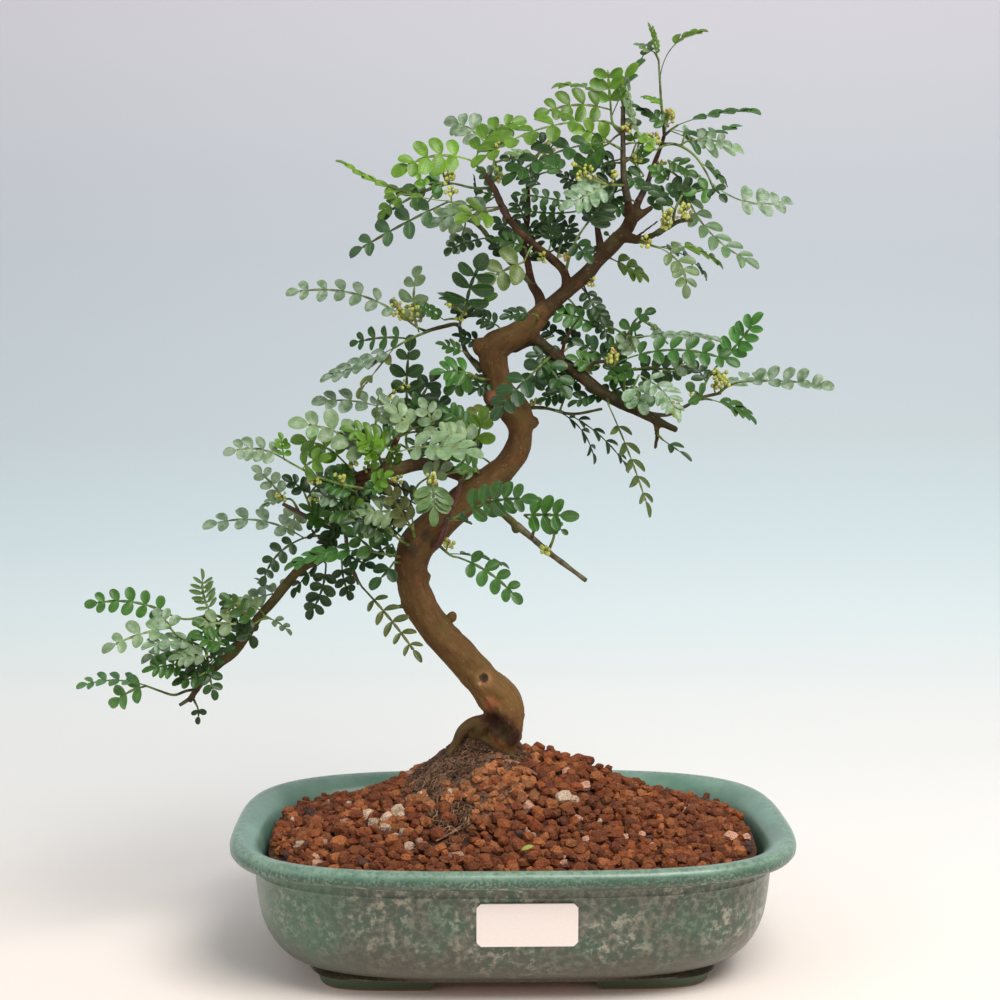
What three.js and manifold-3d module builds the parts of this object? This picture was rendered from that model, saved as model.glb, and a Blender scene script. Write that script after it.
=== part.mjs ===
// A Japanese pepper bonsai in its glazed oval pot.
// Millimetres, +Z up, the front of the pot towards -Y.
// The origin lies on the resting plane, under the middle of the whole piece.

import * as THREE from 'three';
import { mergeVertices } from 'three/addons/utils/BufferGeometryUtils.js';
import Module from 'manifold-3d';

const wasm = await Module();
wasm.setup();

// Pot sizes
const POT_HALF_LENGTH = 139.5;
const POT_HALF_DEPTH = 101.4;
const POT_HEIGHT = 68;
const OVAL_POWER = 3.4;
const FOOT_POWER = 8;
const POT_SEGMENTS = 36;
const POT_FLOOR = 12;
const FOOT_HEIGHT = 5;
const DRAIN_RADIUS = 9;
const DRAIN_PLACE = 45;

// Label on the front of the pot
const LABEL_LENGTH = 46.6;
const LABEL_HEIGHT = 20.5;
const LABEL_THICKNESS = 0.8;
const LABEL_PLACE = new THREE.Vector3(4.7, -92.2, 41.5);
const LABEL_TILT = THREE.MathUtils.degToRad(4);

// Clearance between pieces that touch
const GAP = 0.3;

// Soil
const NET_SIZE = 34;
const NET_THICKNESS = 1;
const NET_OPENING = 12;
const SOIL_FLOOR = POT_FLOOR + NET_THICKNESS + 2 * GAP;
const SOIL_EDGE = 57;
const SOIL_RISE = 43;
const SOIL_RINGS = 10;
const SOIL_SPREAD = new THREE.Vector2(82, 56);
const GRAIN_RISE = 2.4;
const GRAIN_SPREAD = 2;
const WALL_BEND = 60;
const WALL_GAP = 0.5;
const ROOT_BALL_PLACE = new THREE.Vector2(-14, 2);
const ROOT_BALL_RADIUS = 43;
const ROOT_BALL_TOP = 119;
const ROOT_BALL_FLOOR = 36;
const ROOT_BALL_SEGMENTS = 14;
const ROOT_BALL_SLOPE = 36;
const ROOT_BALL_ROUGHNESS = 1.4;

// Leaves
const BLADE_THICKNESS = 0.75;
const RIB_HALF_WIDTH = 0.7;
const RIB_FOOT_HALF_WIDTH = 0.45;
const FIRST_PAIR_PLACE = 0.22;
const MANY_PAIRS = 5;
const FEW_PAIRS = 2;
const FEWER_PAIRS_SCALE = 1.15;
const LEAFLET_LEAN = 62;
const BLADE_FOLD = 10;
const STALK_REACH = 0.95;
const TEST_MARGIN = 0.45;

// Branches and leaves are placed as they look from a viewing point in front:
// mm across and down in a 500 mm square picture plane through VIEW_TARGET, and mm behind it.
const VIEW_DISTANCE = 900;
const VIEW_TILT = THREE.MathUtils.degToRad(5);
const VIEW_TURN = THREE.MathUtils.degToRad(-1.2);
const VIEW_TARGET = new THREE.Vector3(-5.9, 0, 228.8);
const PICTURE_MIDDLE = 250;
const VIEW_RIGHT = new THREE.Vector3(Math.cos(VIEW_TURN), Math.sin(VIEW_TURN), 0);
const VIEW_LEVEL = new THREE.Vector3(-Math.sin(VIEW_TURN), Math.cos(VIEW_TURN), 0);
const VIEW_FORWARD = VIEW_LEVEL.clone().multiplyScalar(Math.cos(VIEW_TILT))
  .add(new THREE.Vector3(0, 0, -Math.sin(VIEW_TILT)));
const VIEW_UP = VIEW_LEVEL.clone().multiplyScalar(Math.sin(VIEW_TILT))
  .add(new THREE.Vector3(0, 0, Math.cos(VIEW_TILT)));
const EYE = VIEW_TARGET.clone().addScaledVector(VIEW_FORWARD, -VIEW_DISTANCE);

function place([across, down, behind]) {
  const reach = (VIEW_DISTANCE + behind) / VIEW_DISTANCE;
  return VIEW_TARGET.clone()
    .addScaledVector(VIEW_RIGHT, (across - PICTURE_MIDDLE) * reach)
    .addScaledVector(VIEW_UP, (PICTURE_MIDDLE - down) * reach)
    .addScaledVector(VIEW_FORWARD, behind);
}

// Wood: each limb is [across, down, behind, radius] along its middle
const TRUNK = [
  [252, 402, 8, 4.6], [252, 384, 7, 4.8], [252.2, 376, 5.2, 5],
  [252.6, 370.3, 1.6, 6.6], [252.6, 366.8, -1, 8.2],
  [252.3, 360, -2, 9.3], [251, 352, -3, 10.1],
  [243, 342, -4, 8.9], [232.5, 330, -6, 8.7], [221.5, 319, -8, 8.1], [214, 309.5, -9, 8], [209, 300, -9, 8.2],
  [206, 290, -8, 8], [205.5, 281, -7, 8.4], [210.5, 270.5, -6, 9.2], [220.5, 260.5, -4, 8.6],
  [232, 250, -2, 8.3], [244, 241, 1, 7.5], [253.8, 232.3, 4, 7],
  [258.5, 224.5, 5.5, 6.2], [260.3, 216.5, 6, 6.4], [259, 208.5, 6, 7.5], [254.6, 201.5, 6, 7.8],
  [250.2, 194.4, 5.5, 7], [248.4, 187, 5, 6.8], [247, 180, 4, 7.4], [247.5, 173, 3, 8.1],
  [257, 168, 2, 6.6], [266, 162, 1, 5.7], [271.5, 155.5, 0, 5],
];
const LIMBS = {
  rising_right: [
    [270, 158, 0, 5], [277, 151, 0, 3.9], [285, 144, 0, 3.9], [293, 137, 0, 3.7], [300, 129, 0, 3.8],
    [307, 121.5, 0, 3.9], [313, 115, 0, 3.8], [315.5, 110, -1, 3.2],
  ],
  fork_left: [
    [271, 157, 2, 3.6], [269.5, 148, 6, 2.7], [266, 142, 9, 2.3], [264, 132, 12, 2], [262, 122, 15, 1.8],
    [264, 106, 18, 1.5], [263.8, 87, 20, 1.2],
  ],
  front_rise: [
    [283.5, 146, -1, 2.6], [282, 136, -4, 2.3], [276, 129.5, -8, 2.2], [268, 123, -12, 2],
    [260, 116, -15, 1.9], [254, 109, -18, 1.9],
  ],
  far_rise: [
    [301, 127, 4, 2.4], [299, 116, 12, 1.7], [298, 107, 14, 1.4],
  ],
  top_mast: [
    [315.5, 112, -2, 3.2], [314, 101, -4, 2.1],
  ],
  top_right: [
    [315.5, 111, 0, 3], [319, 101, 7, 2],
  ],
  crotch_stub: [
    [316, 110, 0, 2.6], [321, 107, 4, 1.9], [326, 103.5, 6, 1.3],
  ],
  right_reach: [
    [311, 118, -2, 3.4], [320, 119.8, -10, 2.1], [328, 117, -16, 1.6],
  ],
  dry_twig: [
    [317, 119.5, -6, 1.1], [323, 115, 2, 0.8], [329, 110.5, 8, 0.8],
  ],
  lower_right: [
    [256, 173, 3, 4], [266, 169.5, 3, 3.6], [273, 174, 1, 3.2], [281, 180.5, -2, 3.2],
    [291, 188.5, -5, 3.2], [300, 195.5, -7, 3.1], [309, 201, -9, 2.9], [319, 205.5, -10, 2.7],
    [328, 210, -12, 2.5], [333, 212.5, -13, 2], [338.5, 215, -14, 1.6],
  ],
  hanging_stub: [
    [328, 211, -12, 1.5], [328.5, 218, -12, 1.2], [327.5, 224.5, -12, 1],
  ],
  red_spur: [
    [280.5, 178, -2, 1.3], [283.5, 168, -8, 0.9], [289.5, 159, -12, 0.8],
  ],
  mid_left: [
    [243, 240, 0, 5], [228, 236.5, -4, 3.4], [212, 232, -9, 3.2], [197, 235, -14, 3.5],
    [186, 237, -16, 3.1], [178, 238.5, -18, 2.7],
  ],
  red_twig: [
    [191, 238.5, -17, 1.4], [199, 243.5, -21, 1], [206.5, 246.5, -24, 0.8],
  ],
  low_left: [
    [183, 237.5, -17, 2.8], [174, 248, -10, 2.6], [168.5, 260, -2, 2.5], [165.5, 270, 3, 2.5],
    [158, 279, 6, 2.5], [149, 285.5, 8, 2.5], [143, 292.5, 8, 2.5], [137, 300, 8, 2.5], [129, 309, 6, 2.3],
    [123, 318, 4, 2.4], [117, 326, 2, 2.4], [110, 331.5, 0, 2.3], [104, 337, 0, 2],
  ],
  low_left_stub: [
    [107, 333.5, 0, 1.6], [98, 336, 4, 1.3], [87.5, 340.5, 8, 1.3],
  ],
  right_low: [
    [232, 249, -3, 4], [245, 252, -8, 2.4], [258, 262.5, -12, 1.9],
  ],
  straight_twig: [
    [247, 198, 8, 1.3], [236, 193.5, 16, 0.9], [226, 187, 24, 0.9],
  ],
  side_stub: [
    [204, 303, -10, 1.6], [197.5, 303.5, -16, 1],
  ],
  front_root: [
    [247, 359, -3, 4], [241.5, 363, -2.5, 3.2], [240.3, 367.4, 2, 2.7],
    [244, 370, 0.8, 2.2], [248.5, 373.6, -1.2, 1.9], [253.6, 376.6, -1.4, 1.6], [258.6, 379.3, -0.8, 1.1],
  ],
  left_root: [
    [250, 361, 0, 5], [241.5, 360.3, -1, 3.4], [235.5, 361.8, 1, 3],
    [230.6, 366, 2.5, 2.8], [228, 371.5, 4, 2.4], [223.5, 378, 1.5, 1.5],
  ],
  back_root: [
    [251, 366, 3, 5], [262, 378, 16, 3], [276, 388, 26, 1.8],
  ],
};
// Swellings and old wounds: [across, down, behind, radius]
const KNOTS = [
  [242, 338, -10.5, 3.2], [213, 288.5, -8, 3], [226, 308.5, -9, 2.4], [266, 211.5, 5, 3.6],
  [240.5, 173, -1, 4.6], [246, 199, 0.5, 4.4], [206, 273.5, -12, 4.4],
  [258, 264.5, -12, 2.4], [259.2, 368.6, -2, 2.2],
  [236.8, 366, 5, 3.8], [242.5, 365, 3.5, 4.8],
];

// Leafy shoots, each with its green stem from the wood outwards, [across, down, behind], and its leaves,
// [across, down at the stem, across, down, behind at the tip, pairs, leaflet length, turn, bow].
// turn is 90 where the blade faces the viewing point and 0 where it is seen on edge.
// bow is how far the middle of the rib stands off the straight line, to its higher side.
const DEEP = '#2f5a25';
const MID = '#4c8232';
const FRESH = '#7aa531';
const PALE = '#93ad86';
const OLIVE = '#6c7836';
const SPRAYS = [
  // lower left
  {
    tone: MID,
    twigs: [
      [
        [104, 337, 0, 2], [99, 343.5, 0, 1.7], [94.5, 350.5, 0, 1.4],
      ],
      [
        [97, 348, 0, 1.2], [90, 352.5, 3, 0.9],
      ],
    ],
    shoots: [
      {
        stem: [
          [98, 344.5, 0], [93, 345.5, -6], [87, 347.5, -10], [80, 345.5, -12], [72, 342.5, -14],
        ],
        leaves: [
          [72, 342.5, 38, 344, -20, 4, 6.5, 60, 3],
          [73, 343, 55, 354, -10, 2, 8.5, 75, 2],
        ],
      },
      {
        stem: [
          [107, 333, 0], [103, 326, -10], [98, 322, -14], [90, 319, -18], [85, 314, -20],
        ],
        leaves: [
          [85, 314, 51, 326, -28, 3, 8.5, 60, 2],
          [98, 321.5, 71, 324, -30, 4, 9, 35, 2],
          [102, 325, 70, 331, -4, 4, 9, 50, 2],
          [86, 315, 76, 305, -14, 2, 9, 75, 1],
        ],
      },
      {
        stem: [
          [109, 332.5, 0], [104.5, 333, -9], [104, 336, -12],
        ],
        leaves: [
          [104, 335.5, 108, 350, -15, 2, 6.5, 75, 0],
          [105, 333, 117, 324, -14, 1, 7, 60, 1],
          [104, 333, 88, 331, -14, 2, 9, 60, -1],
        ],
      },
      {
        stem: [
          [96.5, 348.5, 0], [98.5, 353, -3],
        ],
        leaves: [
          [98.3, 352.5, 98, 362, -5, 1, 6.5, 80, -1],
        ],
      },
    ],
  },
  {
    tone: MID,
    shoots: [
      {
        stem: [
          [124, 314, 4], [114, 310, -2], [106, 307.5, -6], [95, 309.5, -9], [88, 309, -11],
        ],
        leaves: [
          [88, 308.5, 42, 303, -16, 5, 7.5, 85, 5],
          [106, 307.5, 102, 284, -10, 4, 9, 70, -2.5],
          [112, 309, 94, 318, -18, 2, 9.5, 70, -2],
        ],
      },
    ],
  },
  {
    tone: DEEP,
    shoots: [
      {
        stem: [
          [127, 311.5, 5], [121, 309, 12], [117, 305, 16],
        ],
        leaves: [
          [117.5, 305.5, 110, 297, 20, 2, 8.5, 75, 0],
          [121, 309, 128, 324, 14, 1, 9, 75, 0],
        ],
      },
    ],
  },
  {
    tone: DEEP,
    shoots: [
      {
        stem: [
          [165.5, 268, 3], [158, 268, -5], [152, 269, -8],
        ],
        leaves: [
          [152.5, 269, 131, 293.5, -12, 4, 6.5, 75, 4.5],
          [152, 269, 103, 266, -18, 4, 8.5, 55, 6.5],
          [158, 268, 154, 262, -14, 1, 9, 75, 0],
        ],
      },
    ],
  },
  {
    tone: PALE,
    shoots: [
      {
        stem: [
          [138, 298.5, 8], [136, 297, 15],
        ],
        leaves: [
          [136.5, 297, 118, 305, 20, 3, 8, 50, 1],
          [137, 297.5, 127, 289, 14, 2, 5.5, 25, 1],
          [137, 298, 144, 290, 18, 1, 7, 60, 1],
        ],
      },
    ],
  },
  {
    tone: PALE,
    shoots: [
      {
        stem: [
          [131, 307.5, 6], [135.5, 309.5, -2],
        ],
        leaves: [
          [135, 309.3, 145.5, 317.5, -6, 2, 5, 50, 1],
        ],
      },
    ],
  },
  {
    tone: MID,
    shoots: [
      {
        stem: [
          [203, 279, -8], [195, 277.5, -20], [187, 276, -26], [182, 275, -28],
        ],
        leaves: [
          [183, 275, 142, 284.5, -36, 5, 9.5, 30, 2],
          [187.5, 276, 171, 264.5, -30, 2, 9, 70, 1],
        ],
      },
    ],
  },
  {
    tone: DEEP,
    shoots: [
      {
        stem: [
          [160, 277.5, 6], [163, 282, 11],
        ],
        leaves: [
          [162.8, 281.5, 153, 309.5, 16, 4, 7.5, 80, -2.5],
          [162, 280.5, 146, 299, 12, 3, 7, 40, 2],
        ],
      },
    ],
  },
  {
    tone: DEEP,
    twigs: [
      [
        [172, 252, -9, 1.6], [173, 268, -8, 1.1], [174.5, 280, -7, 1], [179.5, 292, -6, 1],
      ],
    ],
    shoots: [
      {
        stem: [
          [174, 276, -8], [171, 279, -2], [171, 282, 0],
        ],
        leaves: [
          [171, 281, 176.5, 300, 4, 3, 6.5, 70, -1.5],
          [173, 277, 187.5, 283, -16, 3, 7, 75, -1],
        ],
      },
      {
        stem: [
          [178.5, 290, -6], [181, 293.5, -9],
        ],
        leaves: [
          [180.8, 293.2, 210.5, 330.5, -35, 6, 7.8, 80, 1],
        ],
      },
    ],
  },
  {
    tone: DEEP,
    shoots: [
      {
        stem: [
          [203, 282, -8], [197, 281, -19],
        ],
        leaves: [
          [197.3, 281, 184.5, 293.5, -24, 1, 9, 70, -1],
        ],
      },
    ],
  },
  {
    tone: DEEP,
    shoots: [
      {
        stem: [
          [207, 274, -8], [200, 270, -24], [193, 263, -30], [190, 260.5, -32],
        ],
        leaves: [
          [191, 261, 170, 262.5, -40, 3, 9.5, 60, 1],
          [195, 265, 188, 271, -36, 1, 9, 75, 0],
        ],
      },
    ],
  },
  {
    tone: OLIVE,
    shoots: [
      {
        stem: [
          [208, 271, -8], [206, 264, -24],
        ],
        leaves: [
          [206, 265, 192, 242, -34, 3, 8, 60, 0],
        ],
      },
    ],
  },
  // middle left
  {
    tone: FRESH,
    shoots: [
      {
        stem: [
          [190, 239, -17], [184, 244, -26], [175, 243, -30], [160, 239, -32], [150, 234, -34],
          [142, 229.5, -36],
        ],
        leaves: [
          [142.5, 229.8, 111.5, 227.5, -42, 4, 7.5, 60, 4],
          [142.5, 229.8, 140, 216, -32, 3, 5, 60, 0],
          [151, 234.5, 165, 230, -44, 2, 9, 60, 2],
        ],
      },
    ],
  },
  {
    tone: FRESH,
    shoots: [
      {
        stem: [
          [180, 238, -18], [175, 234, -24], [172, 231, -27],
        ],
        leaves: [
          [172.5, 231.5, 145, 220.5, -28, 3, 9.5, 65, 3.5],
          [175, 234, 163, 243, -20, 2, 8, 55, -1],
        ],
      },
    ],
  },
  {
    tone: PALE,
    twigs: [
      [
        [189, 237, -16, 1.7], [194.5, 228.5, -18, 1.4], [199, 218.5, -20, 1.4],
      ],
    ],
    shoots: [
      {
        stem: [
          [194, 229.5, -18], [188, 229.5, -27],
        ],
        leaves: [
          [188.5, 229.5, 144, 212, -40, 4, 11, 60, 5],
          [189, 229.5, 168, 217, -20, 3, 9.5, 50, 2],
        ],
      },
      {
        stem: [
          [196, 225.5, -19], [200.5, 225.5, -32],
        ],
        leaves: [
          [200.3, 225.5, 241, 228.5, -56, 4, 11.5, 45, 3.5],
        ],
      },
      {
        stem: [
          [191.5, 234, -17], [187.5, 222, -8], [188, 209, -8], [188.5, 203, -9],
        ],
        leaves: [
          [188.4, 204, 190, 194, -12, 1, 9.5, 75, 0],
          [188.3, 203.5, 156, 201.5, -18, 3, 9.5, 45, 2],
          [188, 212, 200, 205, -4, 2, 9, 55, 1],
        ],
      },
    ],
  },
  {
    tone: PALE,
    twigs: [
      [
        [170, 257, -6, 1.8], [163, 261, 2, 1.4], [155, 259, 9, 1.3], [148, 255.5, 14, 1.2],
        [141.5, 252, 16, 1.1],
      ],
    ],
    shoots: [
      {
        stem: [
          [150, 256.5, 13], [146, 250, 20], [142, 249.5, 22],
        ],
        leaves: [
          [142.3, 249.5, 126, 233, 24, 3, 7.5, 80, 1],
          [144, 249.7, 130, 254.5, 12, 3, 6.5, 20, 1],
          [148.5, 254, 145, 268, 22, 2, 8, 70, 0],
        ],
      },
      {
        stem: [
          [157, 259.5, 7], [154, 251, 2], [152, 246, 0],
        ],
        leaves: [
          [152.3, 246.5, 141, 238.5, -4, 2, 8, 60, 1],
          [153, 249, 168, 233, 6, 3, 9, 60, 1],
          [155, 254, 169, 247, -6, 2, 9, 60, 0],
        ],
      },
    ],
  },
  {
    tone: FRESH,
    shoots: [
      {
        stem: [
          [168.3, 262, -2], [169, 259, -9],
        ],
        leaves: [
          [168.9, 259.8, 161, 249, -24, 3, 8, 35, 0],
          [169, 259, 181, 251, -30, 2, 9, 50, 0],
        ],
      },
    ],
  },
  // centre
  {
    tone: FRESH,
    twigs: [
      [
        [214, 272, -9, 2.6], [219.5, 271, -16, 1.5], [224, 258, -20, 1.3], [228.5, 247, -22, 1.2],
        [230.5, 240, -23, 1],
      ],
    ],
    shoots: [
      {
        stem: [
          [229.5, 242, -22.5], [233.5, 236, -32], [227, 236, -42], [220, 238.5, -48], [216.5, 241, -50],
        ],
        leaves: [
          [216.7, 240.8, 217, 263, -52, 4, 11.5, 85, 0],
        ],
      },
      {
        stem: [
          [223.5, 260, -20], [227, 259, -31], [230, 257, -34],
        ],
        leaves: [
          [229.5, 257.3, 269, 250.5, -48, 5, 10, 85, 3.5],
        ],
      },
      {
        stem: [
          [219.5, 274, -15], [225, 277.5, -20], [229, 278.7, -22],
        ],
        leaves: [
          [228.5, 278.6, 260.5, 302, -32, 4, 8.2, 80, 3],
          [224, 277, 255, 284, -6, 3, 7, 15, 2],
        ],
      },
    ],
  },
  {
    tone: MID,
    twigs: [
      [
        [258, 262.5, -12, 1.9], [266, 269, -14, 1.7], [274, 276, -16, 1.6], [282, 282, -18, 1.3],
        [293, 290.3, -22, 1.1],
      ],
    ],
    shoots: [
      {
        stem: [
          [266, 268.5, -14], [267, 262, -26], [262, 257.5, -31],
        ],
        leaves: [
          [262.5, 257.8, 289, 258.5, -40, 3, 10.5, 80, 0.5],
        ],
      },
      {
        stem: [
          [274.5, 276, -16], [277, 268, -21], [276, 262, -23],
        ],
        leaves: [
          [276.8, 267, 284, 267, -24, 1, 5.5, 75, 0],
        ],
      },
    ],
  },
  {
    tone: DEEP,
    shoots: [
      {
        stem: [
          [208, 232, -10], [203, 221, -1], [205, 211, 3],
        ],
        leaves: [
          [204.8, 212, 206, 167.5, -8, 4, 9.5, 80, 2],
          [205, 211, 219.5, 185, 12, 3, 9, 80, 1],
          [204, 216, 229, 208, 8, 3, 9, 60, 3],
        ],
      },
    ],
  },
  {
    tone: DEEP,
    shoots: [
      {
        stem: [
          [222, 235, -6], [221, 223, 10], [220, 212, 18],
        ],
        leaves: [
          [220, 213, 216.5, 193, 24, 2, 9, 70, 1],
          [221, 222, 208, 216, 24, 2, 9, 75, 0],
        ],
      },
    ],
  },
  {
    tone: FRESH,
    shoots: [
      {
        stem: [
          [240, 239, -3], [237, 230, -12], [238, 221, -14],
        ],
        leaves: [
          [237.9, 222, 243, 203.5, -18, 2, 9, 75, 0],
        ],
      },
    ],
  },
  {
    tone: PALE,
    twigs: [
      [
        [241, 185, 4, 2.2], [233.5, 177, 8, 1.3], [231, 170, 11, 1.1], [229, 162.5, 12, 1.1],
        [221, 163.5, 8, 1], [212, 166, 2, 0.9],
      ],
    ],
    shoots: [
      {
        stem: [
          [213, 165.7, 3], [208, 163.5, -4],
        ],
        leaves: [
          [208.3, 163.6, 142.5, 147, -16, 6, 7.5, 65, 8.5],
          [209, 164, 209.8, 132.5, 6, 3, 9, 60, 2.5],
        ],
      },
      {
        stem: [
          [216, 165.5, 6], [205, 169.5, -12], [197, 174, -16],
        ],
        leaves: [
          [199, 173, 160, 190, -26, 5, 8.5, 25, -1],
          [197.5, 173.8, 177, 200, -36, 2, 10.5, 80, 0],
          [205, 169.5, 174.5, 172.5, 4, 3, 9, 75, 2],
        ],
      },
      {
        stem: [
          [229.5, 163, 12], [231, 158, -10], [233, 155, -20],
        ],
        leaves: [
          [232.8, 155.3, 243, 128, -50, 3, 12.5, 85, 2],
          [231, 158, 219, 146, 4, 2, 8, 35, 1],
          [230.5, 160, 245, 158, 2, 3, 8, 40, 3],
        ],
      },
    ],
  },
  {
    tone: MID,
    shoots: [
      {
        stem: [
          [245, 190, 0], [239, 189, -9], [235, 186.5, -13],
        ],
        leaves: [
          [234.5, 182, 215, 187, -18, 3, 9.5, 60, 1],
          [235, 182, 222, 197, -8, 2, 10, 75, 0],
        ],
      },
    ],
  },
  // top left
  {
    tone: FRESH,
    twigs: [
      [
        [254, 109, -18, 1.9], [250, 101, -21, 1.8], [247, 94, -23, 1.5], [242.5, 87.5, -25, 1.4],
      ],
    ],
    shoots: [
      {
        stem: [
          [251.5, 104, -20], [243, 105.5, -32], [234, 103, -37], [223, 100.5, -40],
        ],
        leaves: [
          [223.5, 100.6, 168.5, 79, -50, 4, 9, 40, -4],
          [224, 100.7, 174.5, 128, -34, 4, 9, 60, 1],
          [243, 105.5, 228, 110, -48, 2, 10, 60, 0],
        ],
      },
      {
        stem: [
          [246.8, 93.5, -23], [237, 94, -14], [228, 92, -12], [223, 91.5, -12],
        ],
        leaves: [
          [223.5, 91.6, 207.5, 93, -16, 1, 9.5, 60, 1],
          [226, 92, 190, 110, -18, 3, 9, 60, 3],
        ],
      },
      {
        stem: [
          [243.5, 89.3, -25], [240, 84.5, -34], [235, 80, -38],
        ],
        leaves: [
          [235.5, 80.4, 196.5, 88.5, -50, 4, 10.5, 65, 5.5],
          [237, 81.5, 264, 60.5, -30, 4, 9, 55, 6],
        ],
      },
      {
        stem: [
          [244.5, 90.5, -24], [247, 80, -8], [243, 72, 0],
        ],
        leaves: [
          [243.2, 72.5, 221.5, 61, 8, 3, 10, 70, 3],
        ],
      },
    ],
  },
  {
    tone: PALE,
    twigs: [
      [
        [267, 143, 8, 1.9], [258, 134, 12, 1.5], [249, 125, 14, 1.3], [241, 114.5, 16, 1.2],
        [236, 110.5, 16, 1],
      ],
    ],
    shoots: [
      {
        stem: [
          [237, 111.5, 16], [232, 110, 8],
        ],
        leaves: [
          [232.5, 110.2, 213.5, 114, 2, 2, 11.5, 50, 2],
          [233, 110.3, 221.5, 127, 14, 3, 6.5, 75, -3],
        ],
      },
    ],
  },
  // top
  {
    tone: FRESH,
    twigs: [
      [
        [314, 101, -4, 2.1], [312, 90, -6, 1.7], [311.5, 79, -8, 1.6], [311.5, 68, -8, 1.3],
        [311.5, 53.5, -8, 1.1],
      ],
    ],
    shoots: [
      {
        stem: [
          [311.3, 66, -8], [305, 61.5, -20], [301, 60.5, -24],
        ],
        leaves: [
          [301.5, 60.6, 236, 83, -54, 5, 10.5, 40, 6],
        ],
      },
      {
        stem: [
          [311.5, 75, -8], [304, 71, -16],
        ],
        leaves: [
          [304.3, 71.1, 251.5, 92, -36, 5, 10, 45, 4.5],
          [305, 71.5, 287, 88, 2, 3, 9.5, 60, 2],
        ],
      },
      {
        stem: [
          [311.5, 68.5, -8], [306.5, 62, -2], [305.5, 55, 0], [305, 49, 2],
        ],
        leaves: [
          [305.2, 52, 303.2, 31.5, -6, 3, 11, 82, 0],
          [305.5, 55, 267.5, 58.5, -14, 4, 9.5, 62, 4],
          [305, 49.5, 275.5, 43.5, 14, 3, 8, 20, 3],
          [306, 58, 327.5, 19.5, 8, 4, 7.5, 28, 1.5],
        ],
      },
      {
        stem: [
          [312, 82, -7], [318, 76, 6], [320, 68, 10],
        ],
        leaves: [
          [319.8, 69, 311.5, 40.5, 14, 4, 8, 30, -2],
        ],
      },
      {
        stem: [
          [312.5, 93, -6], [304, 92.5, -18],
        ],
        leaves: [
          [304.5, 92.5, 280.5, 104, -28, 4, 10, 60, 0],
        ],
      },
    ],
  },
  {
    tone: FRESH,
    twigs: [
      [
        [319, 101, 7, 2], [323.5, 92, 12, 1.5], [327, 82, 14, 1.3], [330, 74.5, 12, 1.1],
        [332.5, 66.5, 10, 1],
      ],
    ],
    shoots: [
      {
        stem: [
          [332, 68.5, 10], [331.5, 60, 6], [330.5, 50, 4], [330, 41, 2], [329.3, 30, 2],
        ],
        leaves: [
          [330.2, 40, 354.5, 15.2, -6, 3, 7.2, 22, 7],
          [329.2, 27, 324.2, 11, 2, 8, 4, 50, 0],
          [331, 53, 320.5, 48.3, 10, 2, 6.5, 25, 1],
        ],
      },
      {
        stem: [
          [332.3, 67.5, 10], [336, 64.5, 0], [339, 62.5, -4],
        ],
        leaves: [
          [338.5, 62.8, 380.5, 56, -16, 4, 9, 14, 2.5],
          [336.5, 64.4, 371, 61.5, 14, 4, 9, 14, -3.5],
          [335, 65.5, 372.5, 75, 30, 3, 10.5, 50, -1],
        ],
      },
      {
        stem: [
          [331, 71.5, 11], [339, 72.5, -8], [347, 77.5, -16], [353, 86, -20], [357, 95, -22],
        ],
        leaves: [
          [356.7, 92, 363, 100.5, -28, 1, 8, 70, 0],
          [356, 92.5, 342.5, 97.5, -26, 1, 10, 70, 1],
          [350, 81.5, 364, 93, -8, 2, 9, 18, 1],
          [355.5, 91.5, 397, 99.5, 4, 4, 7.5, 55, -6],
        ],
      },
      {
        stem: [
          [326.5, 84, 13], [334, 85, 2], [340, 89, -5],
        ],
        leaves: [
          [339.5, 88.7, 380, 133, -24, 6, 9.5, 42, -7],
          [335, 85.5, 350.5, 87.5, 8, 2, 9, 20, 0],
        ],
      },
    ],
  },
  // right
  {
    tone: DEEP,
    twigs: [
      [
        [328, 117, -16, 1.6], [334, 113.5, -20, 1.4], [340, 110.5, -24, 1.2], [346, 110, -28, 0.9],
      ],
    ],
    shoots: [
      {
        stem: [
          [336, 112.5, -21], [337.5, 105, -27], [341, 97.5, -30],
        ],
        leaves: [
          [340.7, 98, 344, 88.5, -32, 1, 10, 75, 0],
          [337.7, 104.5, 317, 89.5, -14, 4, 8, 32, 1],
        ],
      },
    ],
  },
  {
    tone: MID,
    shoots: [
      {
        stem: [
          [319, 120.5, -9], [325, 122.5, -20], [330, 124, -25],
        ],
        leaves: [
          [329.5, 123.8, 342, 149.5, -36, 4, 8, 60, 5.5],
          [329, 123.5, 362, 134.5, -14, 4, 8, 20, 4.5],
          [327, 123, 354, 140, -4, 3, 7, 20, 4],
        ],
      },
    ],
  },
  {
    tone: MID,
    shoots: [
      {
        stem: [
          [302, 127.5, 0], [306, 129.5, 10],
        ],
        leaves: [
          [305.5, 129.3, 325, 140.5, 16, 3, 9, 40, 0.5],
        ],
      },
    ],
  },
  {
    tone: DEEP,
    shoots: [
      {
        stem: [
          [282.5, 137, -4], [285, 127.5, -10], [288, 120, -14], [293, 112.5, -16],
        ],
        leaves: [
          [292, 114, 306.5, 95.5, -18, 3, 11, 80, 0],
          [287.5, 121.5, 296, 131, -20, 2, 9, 75, 0],
        ],
      },
    ],
  },
  {
    tone: MID,
    twigs: [
      [
        [293, 186, -6, 1.2], [297, 181.5, -10, 1], [304, 180, -14, 0.9], [309, 174, -12, 0.8],
        [312.5, 169, -8, 0.9], [321, 160, -6, 0.8],
      ],
    ],
    shoots: [
      {
        stem: [
          [313.5, 168, -9], [317, 168.5, -20],
        ],
        leaves: [
          [316, 168.4, 361, 170, -34, 4, 9, 25, 1.5],
          [314.5, 168.2, 328.5, 156, -12, 2, 7, 60, 4],
        ],
      },
      {
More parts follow.
